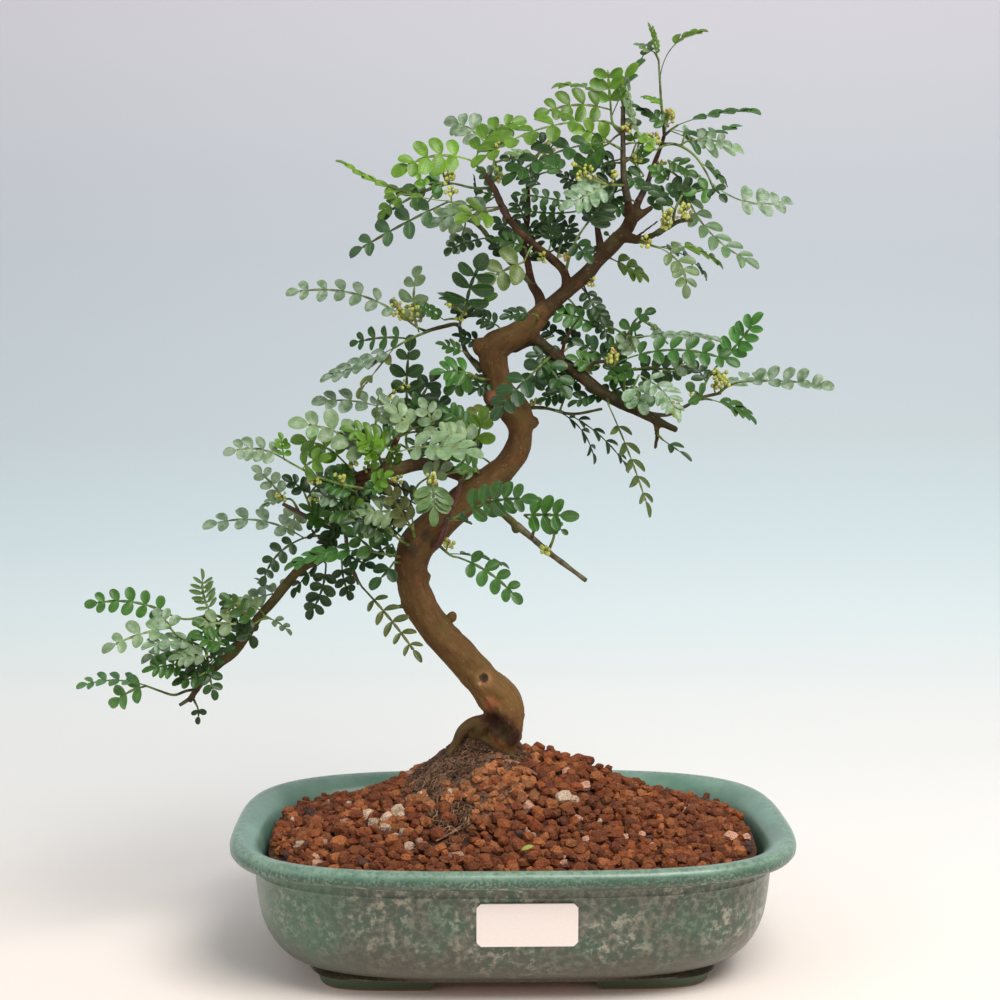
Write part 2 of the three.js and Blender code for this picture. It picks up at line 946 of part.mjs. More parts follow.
        stem: [
          [303.5, 181, -14], [306, 183, -22], [308, 181.5, -27],
        ],
        leaves: [
          [307.7, 182, 370, 183, -46, 6, 8.5, 60, 7],
        ],
      },
    ],
  },
  {
    tone: DEEP,
    shoots: [
      {
        stem: [
          [316, 203.5, -8], [312, 192, -2], [316, 185, 0],
        ],
        leaves: [
          [315.5, 185.8, 346.5, 185, -8, 4, 8, 86, 0.5],
          [313.5, 189.5, 304, 170, 2, 3, 8, 70, -1],
        ],
      },
    ],
  },
  {
    tone: PALE,
    shoots: [
      {
        stem: [
          [317, 204, -13], [316, 196, -26], [319.5, 187.5, -33],
        ],
        leaves: [
          [319.2, 188.2, 339.5, 211, -50, 4, 10, 75, 3.5],
          [317, 193, 323, 207, -38, 2, 9.5, 78, 0],
        ],
      },
    ],
  },
  {
    tone: PALE,
    twigs: [
      [
        [320, 206, -10, 1.5], [333, 207.5, -2, 1], [343, 203, 4, 0.9], [350, 199, 8, 0.9],
        [360.5, 196.5, 6, 0.8],
      ],
    ],
    shoots: [
      {
        stem: [
          [359, 197, 6], [364, 193, -2], [369, 191.2, -6],
        ],
        leaves: [
          [368, 191.6, 417, 193.7, -20, 5, 8.5, 65, 1.8],
          [362, 195, 386, 187, 16, 3, 8, 40, 1],
        ],
      },
      {
        stem: [
          [348, 200, 8], [353, 199.5, -3], [356, 200, -8],
        ],
        leaves: [
          [355.5, 200, 378.5, 211.5, -12, 4, 9, 25, 1.5],
          [352, 199.5, 343.5, 192, -12, 1, 9, 70, 0],
        ],
      },
      {
        stem: [
          [350.5, 198.8, 8], [353.5, 190, 14], [358, 183.5, 12],
        ],
        leaves: [
          [357.7, 184, 380.5, 156, 2, 5, 9.5, 72, -1],
          [353, 191, 346, 180, 20, 2, 9, 60, 0],
        ],
      },
    ],
  },
  {
    tone: OLIVE,
    shoots: [
      {
        stem: [
          [303.5, 198.5, -9], [304.5, 203, -20],
        ],
        leaves: [
          [304.3, 202.5, 325.3, 258.5, -32, 6, 8, 40, 1],
        ],
      },
    ],
  },
  {
    tone: DEEP,
    twigs: [
      [
        [257, 204, 8, 1.4], [272, 204, 12, 0.9], [286, 207, 14, 0.8], [301, 204.5, 16, 0.7],
      ],
    ],
    shoots: [
      {
        stem: [
          [277, 204.3, 12.5], [281.5, 205.8, 4],
        ],
        leaves: [
          [281.2, 205.7, 315, 236, 2, 4, 8.5, 45, 3.5],
          [279, 205, 297.5, 232.5, 22, 4, 7, 50, 4.5],
        ],
      },
    ],
  },
  {
    tone: DEEP,
    shoots: [
      {
        stem: [
          [328, 216.5, -12], [331.5, 220, -18],
        ],
        leaves: [
          [331.2, 219.8, 346, 230, -24, 1, 11, 35, 0],
        ],
      },
    ],
  },
  {
    tone: OLIVE,
    shoots: [
      {
        stem: [
          [269, 160, -2], [268.5, 158, -14], [266, 157, -20],
        ],
        leaves: [
          [269, 157.2, 250, 159.5, -26, 3, 6.5, 40, 1],
        ],
      },
    ],
  },
  {
    tone: DEEP,
    shoots: [
      {
        stem: [
          [275, 178.5, -2], [270, 183, -18], [266, 187, -22],
        ],
        leaves: [
          [267, 186, 246.5, 210, -30, 3, 10, 60, 1],
          [272, 181.5, 264, 199, -8, 2, 10, 70, 1],
          [273, 180, 285, 199, -18, 2, 9.5, 60, 0],
        ],
      },
    ],
  },
];

// Bunches of flower buds: [across, down, behind of the wood or stem they stand on, then of their top]
const BUNCHES = [
  [[229.4, 163, 12], [231.5, 152, 21]],
  [[224.5, 91.7, -12], [225.5, 85, -8]],
  [[209.5, 166, 1], [205.5, 152, 8]],
  [[332.4, 67, 10], [335, 56.5, 13]],
  [[325.5, 86, 13], [330, 82, 20]],
  [[331, 74, 12], [326, 68, 2]],
  [[340, 111, -24], [343, 104, -32]],
  [[333, 114, -20], [334, 106, -30]],
  [[304.5, 180, -14], [307, 177, -24]],
  [[360.5, 196.5, 6], [361, 187, 10]],
  [[337, 206, 0], [338, 204, -12]],
  [[178, 238.5, -18], [173, 236, -6]],
];
const BUDS_IN_BUNCH = 3;
const BUD_RADIUS = 1.9;
const BUNCH_SPREAD = 5.5;
const GOLDEN_ANGLE = 2.4;

// Flat sides of the round pieces
const THICK_LIMB = 2.2;
const TRUNK_SIDES = 8;
const LIMB_SIDES = 5;
const TWIG_SIDES = 4;
const STEM_SIDES = 3;

// Ending a stem's foot clear of the wood
const MOST_SKIPPED = 14;
const SKIP_STEP = 0.4;
const CLEAR_VOLUME = 1e-4;
const WOOD_CLEARANCE = 0.35;

// A repeatable draw between 0 and 1
let seed = 20241;
function draw() {
  seed = (seed * 1664525 + 1013904223) % 4294967296;
  return seed / 4294967296;
}

function sway(amount) {
  return (draw() * 2 - 1) * amount;
}

function solidOf(geometry) {
  const bare = new THREE.BufferGeometry();
  bare.setAttribute('position', geometry.getAttribute('position').clone());
  if (geometry.index) {
    bare.setIndex(geometry.index.clone());
  }
  const merged = mergeVertices(bare, 1e-4);
  return new wasm.Manifold(new wasm.Mesh({
    numProp: 3,
    vertProperties: Float32Array.from(merged.getAttribute('position').array),
    triVerts: Uint32Array.from(merged.index.array),
  }));
}

function geometryOf(solid) {
  const mesh = solid.getMesh();
  const geometry = new THREE.BufferGeometry();
  const positions = new Float32Array(mesh.numVert * 3);
  for (let i = 0; i < mesh.numVert; i += 1) {
    for (let k = 0; k < 3; k += 1) {
      positions[i * 3 + k] = mesh.vertProperties[i * mesh.numProp + k];
    }
  }
  geometry.setAttribute('position', new THREE.BufferAttribute(positions, 3));
  geometry.setIndex(Array.from(mesh.triVerts));
  geometry.computeVertexNormals();
  return geometry;
}

function meshOf(points, triangles) {
  const geometry = new THREE.BufferGeometry();
  const positions = points.flatMap((point) => [point.x, point.y, point.z]);
  geometry.setAttribute('position', new THREE.Float32BufferAttribute(positions, 3));
  geometry.setIndex(triangles.flat());
  return geometry;
}

function joined(solids) {
  return solids.reduce((sum, solid) => sum.add(solid));
}

function largestPiece(solid) {
  const pieces = solid.decompose();
  return pieces.reduce((best, piece) => (piece.volume() > best.volume() ? piece : best));
}

// Closed surface over rings of equally many points; a ring of one point closes an end
function ringedSurface(rings) {
  const points = rings.flat();
  const triangles = [];
  let start = 0;
  for (let r = 0; r + 1 < rings.length; r += 1) {
    const near = rings[r].length;
    const far = rings[r + 1].length;
    const next = start + near;
    const count = Math.max(near, far);
    for (let i = 0; i < count; i += 1) {
      const j = (i + 1) % count;
      const a = near === 1 ? start : start + i;
      const b = near === 1 ? start : start + j;
      const c = far === 1 ? next : next + j;
      const d = far === 1 ? next : next + i;
      if (near > 1) {
        triangles.push([a, b, c]);
      }
      if (far > 1) {
        triangles.push([a, c, d]);
      }
    }
    start = next;
  }
  return meshOf(points, triangles);
}

// Point of a rounded oblong; equal steps of the angle bring the points closer together at its corners
function ovalPoint(angle, halfLength, halfDepth, power = OVAL_POWER) {
  const along = (value) => Math.sign(value) * Math.abs(value) ** (2 / power);
  return [halfLength * along(Math.cos(angle)), halfDepth * along(Math.sin(angle))];
}

function ringAngles(segments) {
  return Array.from({ length: segments }, (_, i) => (i / segments) * Math.PI * 2);
}

function ovalRing(halfLength, halfDepth, height, segments, power = OVAL_POWER) {
  return ringAngles(segments).map((angle) => (
    new THREE.Vector3(...ovalPoint(angle, halfLength, halfDepth, power), height)));
}

function makePot() {
  const profile = [
    [86, 55, FOOT_HEIGHT], [86, 55, 0], [95, 64, 0], [96.5, 65.5, FOOT_HEIGHT], [103.5, 72, 9],
    [111.4, 79, 11], [118.8, 86, 18], [124.7, 91, 30], [128, 92.8, 58.5], [136.5, 99, 59.5],
    [POT_HALF_LENGTH, POT_HALF_DEPTH, 63.5], [136.5, 98.5, POT_HEIGHT], [130, 92, 66.5],
    [124, 86, WALL_BEND], [112.5, 80, 14.5], [109.5, 76, POT_FLOOR],
  ];
  const rings = profile.map(([length, depth, height]) => {
    const power = height > FOOT_HEIGHT ? OVAL_POWER : FOOT_POWER;
    return ovalRing(length, depth, height, POT_SEGMENTS, power);
  });
  rings.unshift([new THREE.Vector3(0, 0, FOOT_HEIGHT)]);
  rings.push([new THREE.Vector3(0, 0, POT_FLOOR)]);
  let pot = solidOf(ringedSurface(rings));
  for (const side of [-1, 1]) {
    const drain = new THREE.CylinderGeometry(DRAIN_RADIUS, DRAIN_RADIUS, 20, 12);
    drain.rotateX(Math.PI / 2);
    drain.translate(side * DRAIN_PLACE, 0, POT_FLOOR - 4);
    pot = pot.subtract(solidOf(drain));
  }
  // The foot ring is cut away between the four feet, with slanted ends
  for (const [halfGap, turn] of [[38, 0], [22, Math.PI / 2]]) {
    const outline = new THREE.Shape();
    outline.moveTo(-halfGap - 4, -1);
    outline.lineTo(halfGap + 4, -1);
    outline.lineTo(halfGap, FOOT_HEIGHT - 0.2);
    outline.lineTo(-halfGap, FOOT_HEIGHT - 0.2);
    const cut = new THREE.ExtrudeGeometry(outline, { depth: 260, bevelEnabled: false });
    cut.translate(0, 0, -130);
    cut.rotateX(Math.PI / 2);
    cut.rotateZ(turn);
    pot = pot.subtract(solidOf(cut));
  }
  return pot;
}

function makeNet(side) {
  const pitch = NET_SIZE / 4;
  let net = solidOf(new THREE.BoxGeometry(NET_SIZE, NET_SIZE, NET_THICKNESS));
  for (const row of [-1, 1]) {
    for (const column of [-1, 1]) {
      const hole = new THREE.BoxGeometry(NET_OPENING, NET_OPENING, NET_THICKNESS * 3);
      hole.translate(column * pitch, row * pitch, 0);
      net = net.subtract(solidOf(hole));
    }
  }
  const lifted = geometryOf(net);
  lifted.translate(side * DRAIN_PLACE, 0, POT_FLOOR + GAP + NET_THICKNESS / 2);
  return solidOf(lifted);
}

function makeLabel() {
  const half = new THREE.Vector2(LABEL_LENGTH / 2, LABEL_HEIGHT / 2);
  const corner = 2;
  const outline = new THREE.Shape();
  outline.moveTo(-half.x + corner, -half.y);
  outline.lineTo(half.x - corner, -half.y);
  outline.lineTo(half.x, -half.y + corner);
  outline.lineTo(half.x, half.y - corner);
  outline.lineTo(half.x - corner, half.y);
  outline.lineTo(-half.x + corner, half.y);
  outline.lineTo(-half.x, half.y - corner);
  outline.lineTo(-half.x, -half.y + corner);
  const label = new THREE.ExtrudeGeometry(outline, { depth: LABEL_THICKNESS, bevelEnabled: false });
  label.rotateX(Math.PI / 2 + LABEL_TILT);
  label.translate(LABEL_PLACE.x, LABEL_PLACE.y, LABEL_PLACE.z);
  return solidOf(label);
}

// Tube of many flat sides through [centre, radius] stations, closed at both ends
function tube(stations, sides) {
  const rings = [];
  let across = new THREE.Vector3(1, 0, 0);
  stations.forEach(([centre, radius], i) => {
    const before = stations[Math.max(i - 1, 0)][0];
    const after = stations[Math.min(i + 1, stations.length - 1)][0];
    const along = after.clone().sub(before).normalize();
    if (i === 0 && Math.abs(along.x) > 0.9) {
      across = new THREE.Vector3(0, 0, 1);
    }
    across = across.clone().addScaledVector(along, -across.dot(along)).normalize();
    const other = new THREE.Vector3().crossVectors(along, across);
    rings.push(Array.from({ length: sides }, (_, k) => {
      const angle = (k / sides) * Math.PI * 2;
      return centre.clone()
        .addScaledVector(across, radius * Math.cos(angle))
        .addScaledVector(other, radius * Math.sin(angle));
    }));
  });
  rings.unshift([stations[0][0].clone()]);
  rings.push([stations[stations.length - 1][0].clone()]);
  return solidOf(ringedSurface(rings));
}

function limb(list, sides, swell) {
  return tube(list.map(([across, down, behind, radius]) => [
    place([across, down, behind]), radius + swell]), sides);
}

// The whole wood: trunk, limbs, twigs, old cuts and surface roots, grown as one
function makeWood(swell) {
  const pieces = [limb(TRUNK, TRUNK_SIDES, swell)];
  for (const list of Object.values(LIMBS)) {
    pieces.push(limb(list, list[0][3] > THICK_LIMB ? LIMB_SIDES : TWIG_SIDES, swell));
  }
  for (const [across, down, behind, radius] of KNOTS) {
    const knot = new THREE.IcosahedronGeometry(radius + swell, 0);
    const middle = place([across, down, behind]);
    knot.translate(middle.x, middle.y, middle.z);
    pieces.push(solidOf(knot));
  }
  return joined(pieces);
}

function soilHeight(x, y) {
  const spread = (x / SOIL_SPREAD.x) ** 2 + (y / SOIL_SPREAD.y) ** 2;
  return SOIL_EDGE + SOIL_RISE * Math.exp(-spread);
}

function makeRootBall() {
  const rings = [[new THREE.Vector3(ROOT_BALL_PLACE.x, ROOT_BALL_PLACE.y, ROOT_BALL_TOP)]];
  const segments = ROOT_BALL_SEGMENTS;
  const ring = (radius, height, rough) => Array.from({ length: segments }, (_, i) => {
    const angle = (i / segments) * Math.PI * 2;
    const reach = radius + sway(rough);
    return new THREE.Vector3(
      ROOT_BALL_PLACE.x + reach * Math.cos(angle),
      ROOT_BALL_PLACE.y + reach * Math.sin(angle),
      height + sway(rough),
    );
  });
  for (const part of [0.25, 0.5, 0.76, 1]) {
    const height = ROOT_BALL_TOP - ROOT_BALL_SLOPE * part ** 0.9;
    rings.push(ring(ROOT_BALL_RADIUS * part, height, ROOT_BALL_ROUGHNESS));
  }
  rings.push(ring(ROOT_BALL_RADIUS, 68, 0));
  rings.push(ring(ROOT_BALL_RADIUS * 0.7, ROOT_BALL_FLOOR, 0));
  rings.push([new THREE.Vector3(ROOT_BALL_PLACE.x, ROOT_BALL_PLACE.y, ROOT_BALL_FLOOR)]);
  rings.reverse();
  return solidOf(ringedSurface(rings));
}

// Hole for the root ball: the same cone and stump, a gap wider
function rootBallHole() {
  const centre = (height) => new THREE.Vector3(ROOT_BALL_PLACE.x, ROOT_BALL_PLACE.y, height);
  const wide = ROOT_BALL_RADIUS + 1.3;
  return tube([
    [centre(ROOT_BALL_FLOOR - 0.4), ROOT_BALL_RADIUS * 0.7 + 0.8], [centre(68), wide], [centre(140), wide],
  ], ROOT_BALL_SEGMENTS);
}

// Clear reach of the pot's inner wall at a height, as half-length and half-depth
function insideWall(height) {
  const lower = Math.min(height, WALL_BEND);
  const upper = Math.max(height - WALL_BEND, 0);
  const slope = (lower - 14.5) / 45.5;
  return [112.5 + 11.5 * slope + 0.9 * upper - WALL_GAP, 80 + 6 * slope + 0.9 * upper - WALL_GAP];
}

function makeGranules() {
  const rings = [[new THREE.Vector3(0, 0, soilHeight(0, 0))]];
  const [edgeLength, edgeDepth] = insideWall(SOIL_EDGE);
  for (let r = 1; r < SOIL_RINGS; r += 1) {
    const part = r / SOIL_RINGS;
    rings.push(ovalRing(edgeLength * part, edgeDepth * part, 0, POT_SEGMENTS).map((point) => {
      const x = point.x + sway(GRAIN_SPREAD);
      const y = point.y + sway(GRAIN_SPREAD);
      return new THREE.Vector3(x, y, soilHeight(x, y) + sway(GRAIN_RISE));
    }));
  }
  rings.push(ringAngles(POT_SEGMENTS).map((angle) => {
    const level = soilHeight(...ovalPoint(angle, edgeLength, edgeDepth)) + sway(0.8);
    const height = Math.max(level, WALL_BEND + 0.5);
    return new THREE.Vector3(...ovalPoint(angle, ...insideWall(height)), height);
  }));
  rings.push(ovalRing(...insideWall(WALL_BEND), WALL_BEND - 0.2, POT_SEGMENTS));
  for (const inset of [0, 1.5]) {
    rings.push(ovalRing(111.8 - inset, 79.3 - inset, SOIL_FLOOR + 1.5 - inset, POT_SEGMENTS));
  }
  rings.push([new THREE.Vector3(0, 0, SOIL_FLOOR)]);
  rings.reverse();
  return solidOf(ringedSurface(rings));
}

// Slab over flat cells: each cell is a fan of corner numbers, and every open edge gets a side wall
function slab(corners, normals, cells, thickness) {
  const count = corners.length;
  const tops = corners.map((point, i) => point.clone().addScaledVector(normals[i], thickness / 2));
  const unders = corners.map((point, i) => point.clone().addScaledVector(normals[i], -thickness / 2));
  const faces = [];
  for (const cell of cells) {
    for (let i = 1; i + 1 < cell.length; i += 1) {
      faces.push([cell[0], cell[i], cell[i + 1]]);
    }
  }
  const edges = new Set(faces.flatMap(([a, b, c]) => [`${a},${b}`, `${b},${c}`, `${c},${a}`]));
  const triangles = [];
  for (const [a, b, c] of faces) {
    triangles.push([a, b, c], [c + count, b + count, a + count]);
  }
  for (const edge of edges) {
    const [a, b] = edge.split(',').map(Number);
    if (!edges.has(`${b},${a}`)) {
      triangles.push([b, a, a + count], [b, a + count, b + count]);
    }
  }
  return solidOf(meshOf([...tops, ...unders], triangles));
}

// Cross directions of a leaf at one place of its rib; the top of the blade looks along normal * facing
function ribFrame(rib, part, away, turn) {
  const along = rib.getTangentAt(part);
  const level = new THREE.Vector3().crossVectors(away, along).normalize();
  if (level.z < 0) {
    level.negate();
  }
  const back = away.clone().addScaledVector(along, -away.dot(along)).normalize();
  const side = level.multiplyScalar(Math.sin(turn)).addScaledVector(back, Math.cos(turn)).normalize();
  const normal = new THREE.Vector3().crossVectors(along, side).normalize();
  return { point: rib.getPointAt(part), along, side, normal };
}

function leafletPairs(pairs) {
  if (pairs > MANY_PAIRS) {
    return 3;
  }
  return pairs > FEW_PAIRS ? 2 : 1;
}

// A compound leaf: one thin arched blade cut to its rib into opposite leaflets and an end leaflet.
// Its rib may run on down a green stem, whose points are listed from the foot upwards.
function makeLeaf(stalk, base, tip, [pairs, length, turnDegrees, bow], margin) {
  const turn = THREE.MathUtils.degToRad(turnDegrees);
  const middle = base.clone().lerp(tip, 0.5);
  const away = middle.clone().sub(EYE).normalize();
  const lift = new THREE.Vector3().crossVectors(away, tip.clone().sub(base)).normalize();
  if (lift.z < 0) {
    lift.negate();
  }
  const rib = new THREE.QuadraticBezierCurve3(base, middle.clone().addScaledVector(lift, 2 * bow), tip);
  const count = leafletPairs(pairs);
  const ribLength = rib.getLength();
  const size = Math.min(length * (pairs > count ? FEWER_PAIRS_SCALE : 1), ribLength * 0.5);
  const ribEnd = 1 - (size * 0.9) / ribLength;
  const first = ribEnd * (count > 1 ? FIRST_PAIR_PLACE : 0.4);
  const step = (ribEnd - first) / count;
  const halfWidth = Math.min(size * 0.3, step * ribLength * 0.46) + margin;
  const reach = size + margin;
  const middleFrame = ribFrame(rib, 0.5, away, turn);
  const facing = middleFrame.normal.z - middleFrame.normal.dot(away) > 0 ? 1 : -1;
  const fold = THREE.MathUtils.degToRad(BLADE_FOLD) * facing;
  const lean = THREE.MathUtils.degToRad(LEAFLET_LEAN);

  const corners = [];
  const normals = [];
  const cells = [];
  const addCorner = (point, normal) => {
    corners.push(point);
    normals.push(normal);
    return corners.length - 1;
  };
  const crossPair = (point, side, normal, half) => [1, -1].map((hand) => (
    addCorner(point.clone().addScaledVector(side, hand * half), normal)));
  const ribPair = (part, half) => {
    const { point, side, normal } = ribFrame(rib, part, away, turn);
    return crossPair(point, side, normal, half);
  };
  // Leaflet between two corners on one edge of the rib, its outer half the wider
  const addLeaflet = (near, far, frame, hand) => {
    const out = frame.side.clone().multiplyScalar(hand * Math.cos(fold))
      .addScaledVector(frame.normal, Math.sin(fold));
    const along = out.clone().multiplyScalar(Math.sin(lean)).addScaledVector(frame.along, Math.cos(lean));
    const wide = frame.along.clone().multiplyScalar(Math.sin(lean)).addScaledVector(out, -Math.cos(lean));
    const root = corners[near].clone().lerp(corners[far], 0.5);
    const spot = (part, across) => addCorner(root.clone()
      .addScaledVector(along, reach * part)
      .addScaledVector(wide, halfWidth * across), frame.normal);
    const outline = [near, spot(0.75, -0.85), spot(1, 0.35), far];
    cells.push(hand > 0 ? outline.reverse() : outline);
  };
  const ribHalf = RIB_HALF_WIDTH + margin;
  const footHalf = (stalk.length > 0 ? RIB_HALF_WIDTH : RIB_FOOT_HALF_WIDTH) + margin;
  let last = ribPair(first, ribHalf);
  // The stalk follows on below the blade without a twist
  let { side, point: above } = ribFrame(rib, first, away, turn);
  let upper = last;
  for (const point of (stalk.length > 0 ? [...stalk].reverse() : [base])) {
    const along = above.clone().sub(point).normalize();
    side = side.clone().addScaledVector(along, -side.dot(along)).normalize();
    const normal = new THREE.Vector3().crossVectors(along, side);
    const lower = crossPair(point, side, normal, footHalf);
    cells.push([lower[1], upper[1], upper[0], lower[0]]);
    upper = lower;
    above = point;
  }
  for (let i = 0; i < count; i += 1) {
    const part = first + step * i;
    const far = ribPair(part + step, ribHalf);
    const frame = ribFrame(rib, part + step / 2, away, turn);
    cells.push([last[1], far[1], far[0], last[0]]);
    addLeaflet(last[0], far[0], frame, 1);
    addLeaflet(last[1], far[1], frame, -1);
    last = far;
  }
  const endFrame = ribFrame(rib, ribEnd, away, turn);
  const endSpot = (part, across) => addCorner(endFrame.point.clone()
    .addScaledVector(endFrame.along, reach * part)
    .addScaledVector(endFrame.side, halfWidth * across), endFrame.normal);
  cells.push([last[1], endSpot(0.7, -0.95), endSpot(1, 0.4), last[0]]);
  return slab(corners, normals, cells, BLADE_THICKNESS + 2 * margin);
}

// The place on any of the stems that looks nearest to a point of the picture plane
function nearestOnStem(stems, across, down) {
  let best = { distance: Infinity };
  for (const stem of stems) {
    for (let i = 0; i + 1 < stem.length; i += 1) {
      for (let part = 0; part <= 1; part += 0.05) {
        const spot = stem[i].map((value, k) => value + (stem[i + 1][k] - value) * part);
        const distance = Math.hypot(spot[0] - across, spot[1] - down);
        if (distance < best.distance) {
          best = { spot, distance };
        }
      }
    }
  }
  return best.spot;
}

const TIP_SHIFTS = [0, 4, -4, 8, -8, 12, -12, 17, -17, 23, -23];

function between(from, to) {
  return Math.hypot(to[0] - from[0], to[1] - from[1], to[2] - from[2]);
}

function startingAt(list, skipped) {
  const rest = list.map((spot) => [...spot]);
  let left = skipped;
  while (rest.length > 2 && between(rest[0], rest[1]) <= left) {
    left -= between(rest[0], rest[1]);
    rest.shift();
  }
  const part = left / between(rest[0], rest[1]);
  rest[0] = rest[0].map((value, k) => value + (rest[1][k] - value) * part);
  return rest;
}

function tubeThrough(list, sides) {
  return tube(list.map(([across, down, behind, radius]) => [place([across, down, behind]), radius]), sides);
}

// What is left of a list of places once its foot ends just clear of the wood it stands on
function footed(list, sides, wood) {
  for (let skipped = 0; skipped < MOST_SKIPPED; skipped += SKIP_STEP) {
    const rest = startingAt(list, skipped);
    if (tubeThrough(rest, sides).intersect(wood).volume() < CLEAR_VOLUME) {
      return rest;
    }
  }
  return list;
}

// A leaf with its tip bent nearer or farther until it clears what already stands there
function clearedLeaf(stalk, base, [, , tipAcross, tipDown, tipBehind, ...shape], taken) {
  const leafTo = (shift, below, margin) => (
    makeLeaf(below, base, place([tipAcross, tipDown, tipBehind + shift]), shape, margin));
  const shift = TIP_SHIFTS.find((amount) => (
    leafTo(amount, [], TEST_MARGIN).intersect(taken).volume() < CLEAR_VOLUME));
  if (shift === undefined) {
    return [];
  }
  return [leafTo(shift, stalk, 0)];
}

// A green stem that runs on as the rib of its last leaf, with the other leaves at its sides
function makeShoot({ stem, leaves }, twigs, taken, wood) {
  let path = stem.map((spot) => [...spot, STALK_REACH]);
  if (twigs.length > 0) {
    path[0] = nearestOnStem(twigs, path[0][0], path[0][1]);
  } else {
    path = footed(path, LIMB_SIDES, wood);
  }
  const stalk = path.map(place);
  const base = stalk[stalk.length - 1];
  if (leaves.length === 1) {
    stalk.pop();
  }
  const end = path[path.length - 1];
  const reachFromEnd = (leaf) => Math.hypot(leaf[0] - end[0], leaf[1] - end[1]);
  const [main, ...others] = [...leaves].sort((a, b) => reachFromEnd(a) - reachFromEnd(b));
  const pieces = clearedLeaf(stalk, base, main, taken);
  for (const leaf of others) {
    pieces.push(...clearedLeaf([], place(nearestOnStem([path], leaf[0], leaf[1])), leaf, taken));
  }
  return pieces;
}

// A spray: young twigs where it has any, green stems, and compound leaves
function makeSpray({ twigs = [], shoots }, taken, wood) {
  const grown = twigs.map((list, i) => (i === 0 ? footed(list, TWIG_SIDES, wood) : list));
  const pieces = grown.map((list) => tubeThrough(list, TWIG_SIDES));
  pieces.push(...shoots.flatMap((shoot) => makeShoot(shoot, grown, taken, wood)));
  let spray = joined(pieces);
  if (spray.intersect(wood).volume() > CLEAR_VOLUME) {
    spray = spray.subtract(wood);
  }
  return largestPiece(spray);
}

// Flower buds round one stalk, each a spindle with its pointed foot in the stalk
function makeBunch([foot, top], taken) {
  const list = footed([[...foot, 0.8], [...top, 0.6]], STEM_SIDES, taken);
  const [low, high] = list.map(place);
  const axis = high.clone().sub(low);
  const pieces = [tubeThrough(list, STEM_SIDES)];
  for (let i = 0; i < BUDS_IN_BUNCH; i += 1) {
    const root = low.clone().addScaledVector(axis, 0.55 + 0.35 * (i / BUDS_IN_BUNCH));
    const rise = 0.5 + sway(0.3);
    const reach = BUNCH_SPREAD * (0.8 + 0.4 * draw());
    const turns = [0, 1, 2, 3, 4, 5].map((step) => i * GOLDEN_ANGLE + step);
    const buds = turns.map((angle) => {
      const out = new THREE.Vector3(Math.cos(angle), Math.sin(angle), rise).normalize();
      return spindle(root, out, reach, BUD_RADIUS);
    });
    const bud = buds.find((candidate) => candidate.intersect(taken).volume() < CLEAR_VOLUME);
    if (bud !== undefined) {
      pieces.push(bud);
    }
  }
  return joined(pieces);
}

// Four-sided spindle, widest at its belly
function spindle(foot, along, reach, radius) {
  const across = new THREE.Vector3(along.y, -along.x, 0.1).cross(along).normalize();
  const other = new THREE.Vector3().crossVectors(along, across);
  const belly = foot.clone().addScaledVector(along, reach * 0.7);
  const tip = foot.clone().addScaledVector(along, reach);
  const ring = [[1, 0], [0, 1], [-1, 0], [0, -1]].map(([a, b]) => belly.clone()
    .addScaledVector(across, a * radius)
    .addScaledVector(other, b * radius));
  return solidOf(ringedSurface([[foot], ring, [tip]]));
}

const group = new THREE.Group();

function addPiece(name, solid, colour, roughness) {
  const material = new THREE.MeshStandardMaterial({ color: colour, roughness, metalness: 0 });
  const mesh = new THREE.Mesh(geometryOf(solid), material);
  mesh.name = name;
  group.add(mesh);
}

const pot = makePot();
const wood = makeWood(0);
const woodHole = makeWood(WOOD_CLEARANCE);
const rootBall = makeRootBall();
const granules = makeGranules().subtract(rootBallHole()).subtract(woodHole);
addPiece('pot', pot, '#6f8577', 0.25);
addPiece('drain_net_left', makeNet(-1), '#2b2f33', 0.6);
addPiece('drain_net_right', makeNet(1), '#2b2f33', 0.6);
addPiece('label', makeLabel(), '#ece9e1', 0.8);
addPiece('root_ball', largestPiece(rootBall.subtract(woodHole)), '#4a3528', 0.95);
addPiece('soil_granules', largestPiece(granules), '#8a5a41', 0.95);
addPiece('trunk', wood, '#7a5f42', 0.8);

let taken = woodHole.add(pot).add(granules).add(rootBall);
SPRAYS.forEach((spray, i) => {
  const solid = makeSpray(spray, taken, woodHole);
  addPiece(`leafy_spray_${String(i + 1).padStart(2, '0')}`, solid, spray.tone, 0.45);
  taken = taken.add(solid);
});
BUNCHES.forEach((bunch, i) => {
  const solid = largestPiece(makeBunch(bunch, taken));
  addPiece(`bud_bunch_${String(i + 1).padStart(2, '0')}`, solid, '#b9b23c', 0.6);
});

const box = new THREE.Box3().setFromObject(group);
group.position.set(-(box.min.x + box.max.x) / 2, -(box.min.y + box.max.y) / 2, 0);

export default group;
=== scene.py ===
"""A japanese pepper bonsai in its glazed oval pot: fine shapes, finishes, light and camera.

Lengths are in millimetres in the pot's own frame, whose centre stands at the middle of
the pot's foot, until a piece's mesh is made, which is in metres in the part's frame.
A placed point (u, v, w) is u across and v down in the view that the plant was measured
from, and w behind the middle of the pot.
"""
import math
import random

import bpy
import numpy as np
from mathutils import Matrix, Vector


